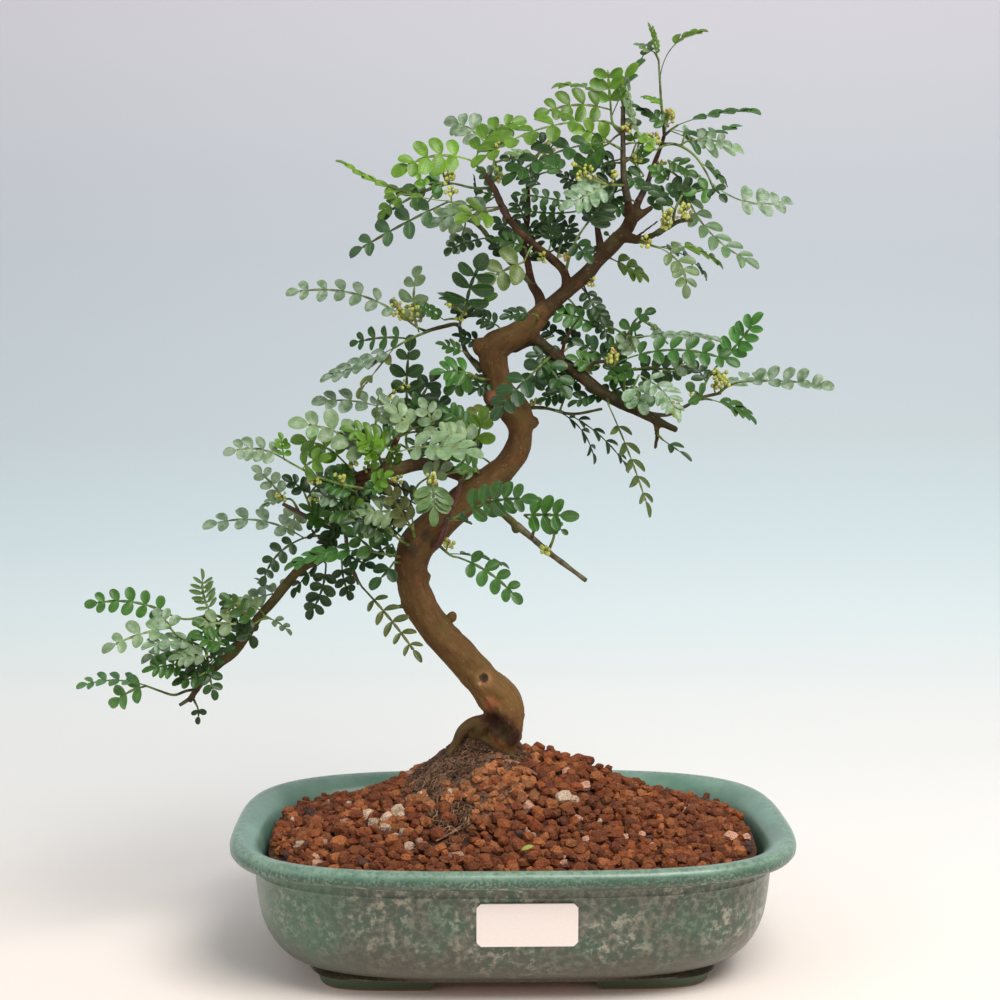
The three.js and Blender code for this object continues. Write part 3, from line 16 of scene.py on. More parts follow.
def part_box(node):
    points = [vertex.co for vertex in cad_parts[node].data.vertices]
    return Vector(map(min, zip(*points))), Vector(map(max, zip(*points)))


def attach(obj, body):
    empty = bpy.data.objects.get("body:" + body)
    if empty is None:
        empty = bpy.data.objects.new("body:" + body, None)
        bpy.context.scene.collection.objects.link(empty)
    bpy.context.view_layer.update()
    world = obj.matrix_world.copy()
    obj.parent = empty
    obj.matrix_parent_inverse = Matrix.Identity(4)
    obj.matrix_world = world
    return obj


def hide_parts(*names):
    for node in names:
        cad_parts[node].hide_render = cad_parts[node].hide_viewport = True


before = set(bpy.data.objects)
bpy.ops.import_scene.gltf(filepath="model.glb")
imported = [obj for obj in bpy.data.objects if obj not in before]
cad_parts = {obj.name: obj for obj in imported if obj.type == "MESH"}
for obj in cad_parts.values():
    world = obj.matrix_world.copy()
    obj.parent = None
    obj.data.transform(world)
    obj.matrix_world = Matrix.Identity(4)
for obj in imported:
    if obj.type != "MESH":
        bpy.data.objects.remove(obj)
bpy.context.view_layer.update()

# ---------------- the plant's values

DEEP = (34, 72, 26)
MID = (58, 106, 34)
# The fresh tone below is the bright yellow-green of young leaves, partly painted light shining through them
# from behind.
FRESH_BACKLIT = (92, 134, 22)
# The pale tone below is a lighter grey-green that stands for the whitish sheen of light reflected on glossy
# leaves: a painted reflection.
PALE_SHEEN = (116, 146, 103)
OLIVE = (90, 104, 48)
LIGHT = (104, 138, 84)
SAGE = (92, 120, 80)

# Rows of wood: u, v, w and radius
TRUNK = [
    (252, 402, 8, 4.6), (252, 384, 7, 4.8), (252.2, 376, 5.2, 5), (252.6, 370.3, 1.6, 6.6),
    (252.6, 366.8, -1, 8.2), (252.3, 360, -2, 9.3), (251, 352, -3, 10.1), (243, 342, -4, 8.9),
    (232.5, 330, -6, 8.7), (221.5, 319, -8, 8.1), (214, 309.5, -9, 8), (209, 300, -9, 8.2),
    (206, 290, -8, 8), (205.5, 281, -7, 8.4), (210.5, 270.5, -6, 9.2), (220.5, 260.5, -4, 8.6),
    (232, 250, -2, 8.3), (244, 241, 1, 7.5), (253.8, 232.3, 4, 7), (258.5, 224.5, 5.5, 6.2),
    (260.3, 216.5, 6, 6.4), (259, 208.5, 6, 7.5), (254.6, 201.5, 6, 7.8), (250.2, 194.4, 5.5, 7),
    (248.4, 187, 5, 6.8), (247, 180, 4, 7.4), (247.5, 173, 3, 8.1), (257, 168, 2, 6.6), (266, 162, 1, 5.7),
    (271.5, 155.5, 0, 5),
]
LIMBS = {
    "rising_right": [
        (270, 158, 0, 5), (277, 151, 0, 3.9), (285, 144, 0, 3.9), (293, 137, 0, 3.7), (300, 129, 0, 3.8),
        (307, 121.5, 0, 3.9), (313, 115, 0, 3.8), (315.5, 110, -1, 3.2),
    ],
    "fork_left": [
        (271, 157, 2, 3.6), (269.5, 148, 6, 2.7), (266, 142, 9, 2.3), (264, 132, 12, 2),
        (262, 122, 15, 1.8), (264, 106, 18, 1.5), (263.8, 87, 20, 1.2),
    ],
    "front_rise": [
        (283.5, 146, -1, 2.6), (282, 136, -4, 2.3), (276, 129.5, -8, 2.2), (268, 123, -12, 2),
        (260, 116, -15, 1.9), (254, 109, -18, 1.9),
    ],
    "far_rise": [(301, 127, 4, 2.4), (299, 116, 12, 1.7), (298, 107, 14, 1.4)],
    "top_mast": [(315.5, 112, -2, 3.2), (314, 101, -4, 2.1)],
    "top_right": [(315.5, 111, 0, 3), (319, 101, 7, 2)],
    "crotch_stub": [(316, 110, 0, 2.6), (321, 107, 4, 1.9), (326, 103.5, 6, 1.3)],
    "right_reach": [(311, 118, -2, 3.4), (320, 119.8, -10, 2.1), (328, 117, -16, 1.6)],
    "dry_twig": [(317, 119.5, -6, 1.1), (323, 115, 2, 0.8), (329, 110.5, 8, 0.8)],
    "lower_right": [
        (256, 173, 3, 4), (266, 169.5, 3, 3.6), (273, 174, 1, 3.2), (281, 180.5, -2, 3.2),
        (291, 188.5, -5, 3.2), (300, 195.5, -7, 3.1), (309, 201, -9, 2.9), (319, 205.5, -10, 2.7),
        (328, 210, -12, 2.5), (333, 212.5, -13, 2), (338.5, 215, -14, 1.6),
    ],
    "hanging_stub": [(328, 211, -12, 1.5), (328.5, 218, -12, 1.2), (327.5, 224.5, -12, 1)],
    "red_spur": [(280.5, 178, -2, 1.3), (283.5, 168, -8, 0.9), (289.5, 159, -12, 0.8)],
    "mid_left": [
        (243, 240, 0, 5), (228, 236.5, -4, 3.4), (212, 232, -9, 3.2), (197, 235, -14, 3.5),
        (186, 237, -16, 3.1), (178, 238.5, -18, 2.7),
    ],
    "red_twig": [(191, 238.5, -17, 1.4), (199, 243.5, -21, 1), (206.5, 246.5, -24, 0.8)],
    "low_left": [
        (183, 237.5, -17, 2.8), (174, 248, -10, 2.6), (168.5, 260, -2, 2.5), (165.5, 270, 3, 2.5),
        (158, 279, 6, 2.5), (149, 285.5, 8, 2.5), (143, 292.5, 8, 2.5), (137, 300, 8, 2.5),
        (129, 309, 6, 2.3), (123, 318, 4, 2.4), (117, 326, 2, 2.4), (110, 331.5, 0, 2.3), (104, 337, 0, 2),
    ],
    "low_left_stub": [(107, 333.5, 0, 1.6), (98, 336, 4, 1.3), (87.5, 340.5, 8, 1.3)],
    "right_low": [(232, 249, -3, 4), (245, 252, -8, 2.4), (258, 262.5, -12, 1.9)],
    "straight_twig": [(247, 198, 8, 1.3), (236, 193.5, 16, 0.9), (226, 187, 24, 0.9)],
    "side_stub": [(204, 303, -10, 1.6), (197.5, 303.5, -16, 1)],
    "front_root": [
        (247, 359, -3, 4), (241.5, 363, -2.5, 3.2), (240.3, 367.4, 2, 2.7), (244, 370, 0.8, 2.2),
        (248.5, 373.6, -1.2, 1.9), (253.6, 376.6, -1.4, 1.6), (258.6, 379.3, -0.8, 1.1),
    ],
    "left_root": [
        (250, 361, 0, 5), (241.5, 360.3, -1, 3.4), (235.5, 361.8, 1, 3), (230.6, 366, 2.5, 2.8),
        (228, 371.5, 4, 2.4), (223.5, 378, 1.5, 1.5),
    ],
    "back_root": [(251, 366, 3, 5), (262, 378, 16, 3), (276, 388, 26, 1.8)],
}
# Rounded knots: u, v, w and radius
KNOTS = [
    (242, 338, -10.5, 3.2), (213, 288.5, -8, 3), (226, 308.5, -9, 2.4), (266, 211.5, 5, 3.6),
    (240.5, 173, -1, 4.6), (246, 199, 0.5, 4.4), (206, 273.5, -12, 4.4), (258, 264.5, -12, 2.4),
    (259.2, 368.6, -2, 2.2), (236.8, 366, 5, 3.8), (242.5, 365, 3.5, 4.8),
]
# Thin twigs of each spray, as rows of (u, v, w, radius)
TWIGS = {
    1: [
        [(104, 337, 0, 2), (99, 343.5, 0, 1.7), (94.5, 350.5, 0, 1.4)],
        [(97, 348, 0, 1.2), (90, 352.5, 3, 0.9)],
    ],
    9: [[(172, 252, -9, 1.6), (173, 268, -8, 1.1), (174.5, 280, -7, 1), (179.5, 292, -6, 1)]],
    15: [[(189, 237, -16, 1.7), (194.5, 228.5, -18, 1.4), (199, 218.5, -20, 1.4)]],
    16: [
        [
            (170, 257, -6, 1.8), (163, 261, 2, 1.4), (155, 259, 9, 1.3), (148, 255.5, 14, 1.2),
            (141.5, 252, 16, 1.1),
        ],
    ],
    18: [
        [
            (214, 272, -9, 2.6), (219.5, 271, -16, 1.7), (224, 258, -20, 1.5), (228.5, 247, -22, 1.4),
            (230.5, 240, -23, 1),
        ],
    ],
    19: [
        [
            (258, 262.5, -12, 1.9), (266, 269, -14, 1.7), (274, 276, -16, 1.6), (282, 282, -18, 1.3),
            (293, 290.3, -22, 1.1),
        ],
    ],
    23: [
        [
            (241, 185, 4, 2.2), (233.5, 177, 8, 1.3), (231, 170, 11, 1.1), (229, 162.5, 12, 1.1),
            (221, 163.5, 8, 1), (212, 166, 2, 0.9),
        ],
    ],
    25: [[(254, 109, -18, 1.9), (250, 101, -21, 1.8), (247, 94, -23, 1.5), (242.5, 87.5, -25, 1.4)]],
    26: [
        [
            (267, 143, 8, 1.9), (258, 134, 12, 1.5), (249, 125, 14, 1.3), (241, 114.5, 16, 1.2),
            (236, 110.5, 16, 1),
        ],
    ],
    27: [
        [
            (314, 101, -4, 2.1), (312, 90, -6, 1.7), (311.5, 79, -8, 1.6), (311.5, 68, -8, 1.3),
            (311.5, 53.5, -8, 1.1),
        ],
    ],
    28: [
        [
            (319, 101, 7, 2), (323.5, 92, 12, 1.5), (327, 82, 14, 1.3), (330, 74.5, 12, 1.1),
            (332.5, 66.5, 10, 1),
        ],
    ],
    29: [[(328, 117, -16, 1.6), (334, 113.5, -20, 1.4), (340, 110.5, -24, 1.2), (346, 110, -28, 0.9)]],
    33: [
        [
            (293, 186, -6, 1.2), (297, 181.5, -10, 1), (304, 180, -14, 0.9), (309, 174, -12, 0.8),
            (312.5, 169, -8, 0.9), (321, 160, -6, 0.8),
        ],
    ],
    36: [
        [
            (320, 206, -10, 1.5), (333, 207.5, -2, 1), (343, 203, 4, 0.9), (350, 199, 8, 0.9),
            (360.5, 196.5, 6, 0.8),
        ],
    ],
    38: [[(257, 204, 8, 1.4), (272, 204, 12, 0.9), (286, 207, 14, 0.8), (301, 204.5, 16, 0.7)]],
}
# Each shoot: its spray, tone, stem (u, v, w) and leaves, each from (u, v) of the stem to its tip
# (u, v, w), with its pairs of leaflets, their length, the turn towards the viewer and the bow
SHOOTS = [
    (1, MID, [(98, 344.5, 0), (93, 345.5, -6), (87, 347.5, -10), (80, 345.5, -12), (72, 342.5, -14)], [
        (72, 342.5, 38, 344, -20, 4, 6.5, 44, 3, {"tone": (104, 144, 84), "fold": 24}),
        (73, 343, 55, 354, -10, 2, 8.5, 75, 2, {"tone": (86, 134, 64)}),
    ]),
    (1, PALE_SHEEN, [(107, 333, 0), (103, 326, -10), (98, 322, -14), (90, 319, -18), (85, 314, -20)], [
        (85, 314, 51, 326, -28, 3, 8.5, 60, 2), (98, 321.5, 71, 324, -30, 4, 9, 35, 2),
        (102, 325, 70, 331, -4, 4, 9, 50, 2), (86, 315, 76, 305, -14, 2, 9, 75, 1),
    ]),
    (1, DEEP, [(109, 332.5, 0), (104.5, 333, -9), (104, 336, -12)], [
        (104, 335.5, 108, 350, -15, 2, 6.5, 75, 0), (105, 333, 117, 324, -14, 1, 7, 60, 1),
        (104, 333, 88, 331, -14, 2, 9, 60, -1),
    ]),
    (1, DEEP, [(96.5, 348.5, 0), (98.5, 353, -3)], [(98.3, 352.5, 98, 362, -5, 1, 6.5, 80, -1)]),
    (2, MID, [(124, 314, 4), (114, 310, -2), (106, 307.5, -6), (95, 309.5, -9), (88, 309, -11)], [
        (88, 308.5, 42, 303, -16, 5, 7.5, 85, 5),
        (106, 307.5, 102, 284, -10, 6, 7.5, 70, -2.5, {"narrow": 0.66, "tone": (92, 126, 78)}),
        (112, 309, 94, 318, -18, 2, 9.5, 70, -2),
    ]),
    (
        3, DEEP, [(127, 311.5, 5), (121, 309, 12), (117, 305, 16)],
        [(117.5, 305.5, 110, 297, 20, 2, 8.5, 75, 0), (121, 309, 128, 324, 14, 1, 9, 75, 0)],
    ),
    (4, DEEP, [(165.5, 268, 3), (158, 268, -5), (152, 269, -8)], [
        (152.5, 269, 131, 293.5, -12, 4, 6.5, 75, 4.5),
        (152, 269, 101, 264, -18, 4, 9, 50, 6.5, {"tone": PALE_SHEEN}), (158, 268, 154, 262, -14, 1, 9, 75, 0),
    ]),
    (5, PALE_SHEEN, [(138, 298.5, 8), (136, 297, 15)], [
        (136.5, 297, 118, 305, 20, 3, 8, 50, 1), (137, 297.5, 127, 289, 14, 2, 5.5, 25, 1),
        (137, 298, 144, 290, 18, 1, 7, 60, 1),
    ]),
    (6, PALE_SHEEN, [(131, 307.5, 6), (135.5, 309.5, -2)], [(135, 309.3, 145.5, 317.5, -6, 2, 5, 50, 1)]),
    (
        7, MID, [(203, 279, -8), (195, 277.5, -20), (187, 276, -26), (182, 275, -28)],
        [(183, 275, 142, 284.5, -36, 5, 9.5, 30, 2), (187.5, 276, 171, 264.5, -30, 2, 9, 70, 1)],
    ),
    (
        8, DEEP, [(160, 277.5, 6), (163, 282, 11)],
        [(162.8, 281.5, 153, 309.5, 16, 4, 7.5, 80, -2.5), (162, 280.5, 146, 299, 12, 3, 7, 40, 2)],
    ),
    (
        9, DEEP, [(174, 276, -8), (171, 279, -2), (171, 282, 0)],
        [(171, 281, 176.5, 300, 4, 3, 6.5, 70, -1.5), (173, 277, 187.5, 283, -16, 3, 7, 75, -1)],
    ),
    (
        9, OLIVE, [(178.5, 290, -6), (181, 293.5, -9)],
        [(180.8, 293.2, 210.5, 330.5, -35, 5, 8.4, 80, 1, {"narrow": 0.6})],
    ),
    (10, DEEP, [(203, 282, -8), (197, 281, -19)], [(197.3, 281, 184.5, 293.5, -24, 1, 9, 70, -1)]),
    (
        11, DEEP, [(207, 274, -8), (200, 270, -24), (193, 263, -30), (190, 260.5, -32)],
        [(191, 261, 170, 262.5, -40, 3, 9.5, 60, 1), (195, 265, 188, 271, -36, 1, 9, 75, 0)],
    ),
    (12, OLIVE, [(208, 271, -8), (206, 264, -24)], [(206, 265, 192, 242, -34, 3, 8, 60, 0)]),
    (
        13, FRESH_BACKLIT,
        [
            (190, 239, -17), (184, 244, -26), (175, 243, -30), (160, 239, -32), (150, 234, -34),
            (142, 229.5, -36),
        ],
        [
            (142.5, 229.8, 111.5, 227.5, -42, 4, 7.5, 60, 4, {"tone": PALE_SHEEN}),
            (142.5, 229.8, 140, 216, -32, 3, 5, 60, 0), (151, 234.5, 165, 230, -44, 2, 9, 60, 2),
        ],
    ),
    (
        14, FRESH_BACKLIT, [(180, 238, -18), (175, 234, -24), (172, 231, -27)],
        [(172.5, 231.5, 145, 220.5, -28, 3, 9.5, 65, 3.5), (175, 234, 163, 243, -20, 2, 8, 55, -1)],
    ),
    (
        15, PALE_SHEEN, [(194, 229.5, -18), (188, 229.5, -27)],
        [(188.5, 229.5, 144, 212, -40, 4, 11, 60, 5), (189, 229.5, 168, 217, -20, 3, 9.5, 50, 2)],
    ),
    (
        15, PALE_SHEEN, [(196, 225.5, -19), (200.5, 225.5, -32)],
        [(200.3, 225.5, 241, 228.5, -56, 4, 11.5, 45, 3.5)],
    ),
    (15, PALE_SHEEN, [(191.5, 234, -17), (187.5, 222, -8), (188, 209, -8), (188.5, 203, -9)], [
        (188.4, 204, 190, 194, -12, 1, 9.5, 75, 0), (188.3, 203.5, 156, 201.5, -18, 3, 9.5, 45, 2),
        (188, 212, 200, 205, -4, 2, 9, 55, 1),
    ]),
    (16, PALE_SHEEN, [(150, 256.5, 13), (146, 250, 20), (142, 249.5, 22)], [
        (142.3, 249.5, 126, 233, 24, 3, 7.5, 80, 1), (144, 249.7, 130, 254.5, 12, 3, 6.5, 20, 1),
        (148.5, 254, 145, 268, 22, 2, 8, 70, 0),
    ]),
    (16, DEEP, [(157, 259.5, 7), (154, 251, 2), (152, 246, 0)], [
        (152.3, 246.5, 141, 238.5, -4, 2, 8, 60, 1), (153, 249, 168, 233, 6, 3, 9, 60, 1),
        (155, 254, 169, 247, -6, 2, 9, 60, 0),
    ]),
    (
        17, FRESH_BACKLIT, [(168.3, 262, -2), (169, 259, -9)],
        [(168.9, 259.8, 161, 249, -24, 3, 8, 35, 0), (169, 259, 181, 251, -30, 2, 9, 50, 0)],
    ),
    (
        18, FRESH_BACKLIT,
        [(229.5, 242, -22.5), (233.5, 236, -32), (227, 236, -42), (220, 238.5, -48), (216.5, 241, -50)],
        [(216.7, 240.8, 217, 263, -52, 4, 11.5, 85, 0, {"tone": LIGHT})],
    ),
    (
        18, MID, [(223.5, 260, -20), (227, 259, -31), (230, 257, -34)],
        [(229.5, 257.3, 269, 250.5, -48, 5, 10, 85, 3.5)],
    ),
    (
        18, MID, [(219.5, 274, -15), (225, 277.5, -20), (229, 278.7, -22)],
        [(228.5, 278.6, 260.5, 302, -32, 4, 8.2, 80, 3), (224, 277, 255, 284, -6, 3, 7, 15, 2)],
    ),
    (
        19, MID, [(266, 268.5, -14), (267, 262, -26), (262, 257.5, -31)],
        [(262.5, 257.8, 289, 258.5, -40, 3, 10.5, 80, 0.5)],
    ),
    (
        19, MID, [(274.5, 276, -16), (277, 268, -21), (276, 262, -23)],
        [(276.8, 267, 284, 267, -24, 1, 5.5, 75, 0)],
    ),
    (20, DEEP, [(208, 232, -10), (203, 221, -1), (205, 211, 3)], [
        (204.8, 212, 206, 167.5, -8, 4, 9.5, 80, 2), (205, 211, 219.5, 185, 12, 3, 9, 80, 1),
        (204, 216, 229, 208, 8, 3, 9, 60, 3),
    ]),
    (
        21, DEEP, [(222, 235, -6), (221, 223, 10), (220, 212, 18)],
        [(220, 213, 216.5, 193, 24, 2, 9, 70, 1), (221, 222, 208, 216, 24, 2, 9, 75, 0)],
    ),
    (
        22, FRESH_BACKLIT, [(240, 239, -3), (237, 230, -12), (238, 221, -14)],
        [(237.9, 222, 243, 203.5, -18, 2, 9, 75, 0)],
    ),
    (
        23, PALE_SHEEN, [(213, 165.7, 3), (208, 163.5, -4)],
        [(208.3, 163.6, 142.5, 147, -16, 6, 7.8, 58, 8.5), (209, 164, 209.8, 132.5, 6, 3, 9, 60, 2.5)],
    ),
    (23, OLIVE, [(216, 165.5, 6), (205, 169.5, -12), (197, 174, -16)], [
        (199, 173, 160, 190, -26, 5, 9.5, 30, -1, {"tone": SAGE}),
        (197.5, 173.8, 178, 198, -36, 2, 10, 24, 0, {"narrow": 0.7}),
        (205, 169.5, 174.5, 172.5, 4, 4, 6.8, 75, 2, {"tone": MID, "narrow": 0.85}),
    ]),
    (23, DEEP, [(229.5, 163, 12), (231, 158, -10), (233, 155, -20)], [
        (232.8, 155.3, 243, 128, -50, 3, 12.5, 85, 2), (231, 158, 219, 146, 4, 2, 8, 35, 1),
        (230.5, 160, 245, 158, 2, 3, 8, 40, 3),
    ]),
    (
        24, MID, [(245, 190, 0), (239, 189, -9), (235, 186.5, -13)],
        [(234.5, 182, 215, 187, -18, 3, 9.5, 60, 1), (235, 182, 222, 197, -8, 2, 10, 75, 0)],
    ),
    (25, FRESH_BACKLIT, [(251.5, 104, -20), (243, 105.5, -32), (234, 103, -37), (223, 100.5, -40)], [
        (223.5, 100.6, 168.5, 79, -50, 7, 8.5, 14, -4, {"tone": (108, 150, 40)}),
        (224, 100.7, 174.5, 128, -34, 4, 9, 60, 1, {"tone": (56, 88, 52)}),
        (243, 105.5, 228, 110, -48, 2, 10, 60, 0),
    ]),
    (
        25, MID, [(246.8, 93.5, -23), (237, 94, -14), (228, 92, -12), (223, 91.5, -12)],
        [(223.5, 91.6, 207.5, 93, -16, 1, 9.5, 60, 1), (226, 92, 190, 110, -18, 3, 9, 60, 3)],
    ),
    (
        25, FRESH_BACKLIT, [(243.5, 89.3, -25), (240, 84.5, -34), (235, 80, -38)],
        [(235.5, 80.4, 196.5, 88.5, -50, 4, 10.5, 65, 5.5), (237, 81.5, 264, 60.5, -30, 4, 9, 55, 6)],
    ),
    (
        25, PALE_SHEEN, [(244.5, 90.5, -24), (247, 80, -8), (243, 72, 0)],
        [(243.2, 72.5, 221.5, 61, 8, 3, 10, 70, 3)],
    ),
    (
        26, PALE_SHEEN, [(237, 111.5, 16), (232, 110, 8)],
        [(232.5, 110.2, 213.5, 114, 2, 2, 11.5, 50, 2), (233, 110.3, 221.5, 127, 14, 3, 6.5, 75, -3)],
    ),
    (
        27, FRESH_BACKLIT, [(311.3, 66, -8), (305, 61.5, -20), (301, 60.5, -24)],
        [(301.5, 60.6, 236, 83, -54, 5, 10.5, 40, 6)],
    ),
    (
        27, MID, [(311.5, 75, -8), (304, 71, -16)],
        [(304.3, 71.1, 251.5, 92, -36, 5, 10, 45, 4.5), (305, 71.5, 287, 88, 2, 3, 9.5, 60, 2)],
    ),
    (27, FRESH_BACKLIT, [(311.5, 68.5, -8), (306.5, 62, -2), (305.5, 55, 0), (305, 49, 2)], [
        (305.5, 56, 303.2, 27, -6, 3, 9.8, 84, 0, {"start": 0.3, "end": 0.12}),
        (305.5, 55, 267.5, 58.5, -14, 4, 9.5, 62, 4), (305, 49.5, 275.5, 43.5, 14, 3, 8, 20, 3),
        (306, 58, 327.5, 19.5, 8, 4, 7.5, 28, 1.5, {"tone": MID}),
    ]),
    (27, PALE_SHEEN, [(312, 82, -7), (318, 76, 6), (320, 68, 10)], [(319.8, 69, 311.5, 40.5, 14, 4, 8, 30, -2)]),
    (27, PALE_SHEEN, [(312.5, 93, -6), (304, 92.5, -18)], [(304.5, 92.5, 280.5, 104, -28, 4, 10, 60, 0)]),
    (28, FRESH_BACKLIT, [(332, 68.5, 10), (331.5, 60, 6), (330.5, 50, 4), (330, 41, 2), (329.3, 30, 2)], [
        (330.2, 40, 354.5, 15.2, -6, 3, 7.2, 22, 7, {"start": 0.62}),
        (329.2, 27, 324.2, 11, 2, 7, 4.4, 32, 0, {"fold": 30}), (331, 53, 320.5, 48.3, 10, 2, 6.5, 25, 1),
    ]),
    (28, MID, [(332.3, 67.5, 10), (336, 64.5, 0), (339, 62.5, -4)], [
        (338.5, 62.8, 380.5, 56, -16, 4, 9, 14, 2.5), (336.5, 64.4, 371, 61.5, 14, 4, 9, 14, -3.5),
        (335, 65.5, 372.5, 75, 30, 3, 11, 40, -1.5, {"tone": PALE_SHEEN}),
    ]),
    (28, MID, [(331, 71.5, 11), (339, 72.5, -8), (347, 77.5, -16), (353, 86, -20), (357, 95, -22)], [
        (356.7, 92, 363, 100.5, -28, 1, 8, 70, 0, {"tone": DEEP}),
        (356, 92.5, 342.5, 97.5, -26, 1, 10, 70, 1), (350, 81.5, 364, 93, -8, 2, 9, 18, 1),
        (355.5, 91.5, 397, 99.5, 4, 3, 9.2, 56, -6, {"tone": PALE_SHEEN, "start": 0.48, "narrow": 1.15}),
    ]),
    (28, PALE_SHEEN, [(326.5, 84, 13), (334, 85, 2), (340, 89, -5)], [
        (339.5, 88.7, 380, 133, -24, 6, 10, 42, -7, {"tone": SAGE, "narrow": 0.8}),
        (335, 85.5, 350.5, 87.5, 8, 2, 9, 20, 0),
    ]),
    (
        29, DEEP, [(336, 112.5, -21), (337.5, 105, -27), (341, 97.5, -30)],
        [(340.7, 98, 344, 88.5, -32, 1, 10, 75, 0), (337.7, 104.5, 317, 89.5, -14, 4, 8, 32, 1)],
    ),
    (30, MID, [(319, 120.5, -9), (325, 122.5, -20), (330, 124, -25)], [
        (329.5, 123.8, 342, 149.5, -36, 4, 8.4, 60, 5.5, {"tone": SAGE, "narrow": 0.9}),
        (329, 123.5, 362, 134.5, -14, 4, 8, 20, 4.5, {"tone": FRESH_BACKLIT}),
        (327, 123, 354, 140, -4, 3, 7, 20, 4),
    ]),
    (
        31, MID, [(302, 127.5, 0), (306, 129.5, 10)],
        [(305.5, 129.3, 325, 140.5, 16, 3, 9, 40, 0.5, {"tone": FRESH_BACKLIT})],
    ),
    (
        32, DEEP, [(282.5, 137, -4), (285, 127.5, -10), (288, 120, -14), (293, 112.5, -16)],
        [(292, 114, 306.5, 95.5, -18, 3, 11, 80, 0), (287.5, 121.5, 296, 131, -20, 2, 9, 75, 0)],
    ),
    (33, MID, [(313.5, 168, -9), (317, 168.5, -20)], [
        (316, 168.4, 361, 170, -34, 5, 9, 16, 1.5, {"tone": PALE_SHEEN, "narrow": 0.8}),
        (314.5, 168.2, 328.5, 156, -12, 2, 7, 60, 4),
    ]),
    (
        33, MID, [(303.5, 181, -14), (306, 183, -22), (308, 181.5, -27)],
        [(307.7, 182, 370, 183, -46, 6, 8.5, 60, 7)],
    ),
    (
        34, DEEP, [(316, 203.5, -8), (312, 192, -2), (316, 185, 0)],
        [(315.5, 185.8, 346.5, 185, -8, 4, 8, 86, 0.5), (313.5, 189.5, 304, 170, 2, 3, 8, 70, -1)],
    ),
    (35, PALE_SHEEN, [(317, 204, -13), (316, 196, -26), (319.5, 187.5, -33)], [
        (319.2, 188.2, 339.5, 211, -50, 5, 9, 50, 3.5, {"narrow": 0.75}),
        (317, 193, 323, 207, -38, 2, 9.5, 78, 0),
    ]),
    (
        36, PALE_SHEEN, [(359, 197, 6), (364, 193, -2), (369, 191.2, -6)],
        [
            (368, 191.6, 417, 193.7, -20, 5, 8.5, 54, 1.8, {"fold": 36}),
            (362, 195, 386, 187, 16, 3, 8, 40, 1),
        ],
    ),
    (
        36, MID, [(348, 200, 8), (353, 199.5, -3), (356, 200, -8)],
        [(355.5, 200, 378.5, 211.5, -12, 4, 9, 25, 1.5), (352, 199.5, 343.5, 192, -12, 1, 9, 70, 0)],
    ),
    (36, DEEP, [(350.5, 198.8, 8), (353.5, 190, 14), (358, 183.5, 12)], [
        (357.7, 184, 380.5, 156, 2, 5, 9.2, 72, -1, {"tone": (66, 122, 48)}),
        (353, 191, 346, 180, 20, 2, 9, 60, 0),
    ]),
    (
        37, OLIVE, [(303.5, 198.5, -9), (304.5, 203, -20)],
        [(304.3, 202.5, 325.3, 258.5, -32, 5, 9.5, 40, 1, {"narrow": 0.55})],
    ),
    (38, DEEP, [(277, 204.3, 12.5), (281.5, 205.8, 4)], [
        (281.2, 205.7, 315, 236, 2, 4, 8, 28, 3.5, {"narrow": 0.55}),
        (279, 205, 297.5, 232.5, 22, 3, 7.5, 34, 4.5, {"narrow": 0.55}),
    ]),
    (
        39, DEEP, [(328, 216.5, -12), (331.5, 220, -18)],
        [(331.2, 219.8, 346, 230, -24, 1, 11, 35, 0, {"narrow": 0.65})],
    ),
    (
        40, OLIVE, [(269, 160, -2), (268.5, 158, -14), (266, 157, -20)],
        [(269, 157.2, 250, 159.5, -26, 3, 6.5, 40, 1, {"tone": DEEP})],
    ),
    (41, DEEP, [(275, 178.5, -2), (270, 183, -18), (266, 187, -22)], [
        (267, 186, 246.5, 210, -30, 3, 10, 60, 1), (272, 181.5, 264, 199, -8, 2, 10, 70, 1),
        (273, 180, 285, 199, -18, 2, 9.5, 60, 0),
    ]),
]
SPRAYS = [
    (TWIGS.get(number, []), [row[1:] for row in SHOOTS if row[0] == number])
    for number in range(1, 42)
]
# Bunches of buds: foot u, v, w and top u, v, w
BUNCHES = [
    (229.4, 163, 12, 231.5, 152, 21), (224.5, 91.7, -12, 225.5, 85, -8), (209.5, 166, 1, 205.5, 152, 8),
    (332.4, 67, 10, 335, 56.5, 13), (325.5, 86, 13, 330, 82, 20), (331, 74, 12, 326, 68, 2),
    (340, 111, -24, 343, 104, -32), (333, 114, -20, 334, 106, -30), (304.5, 180, -14, 307, 177, -24),
    (360.5, 196.5, 6, 361, 187, 10), (337, 206, 0, 338, 204, -12), (178, 238.5, -18, 173, 236, -6),
]
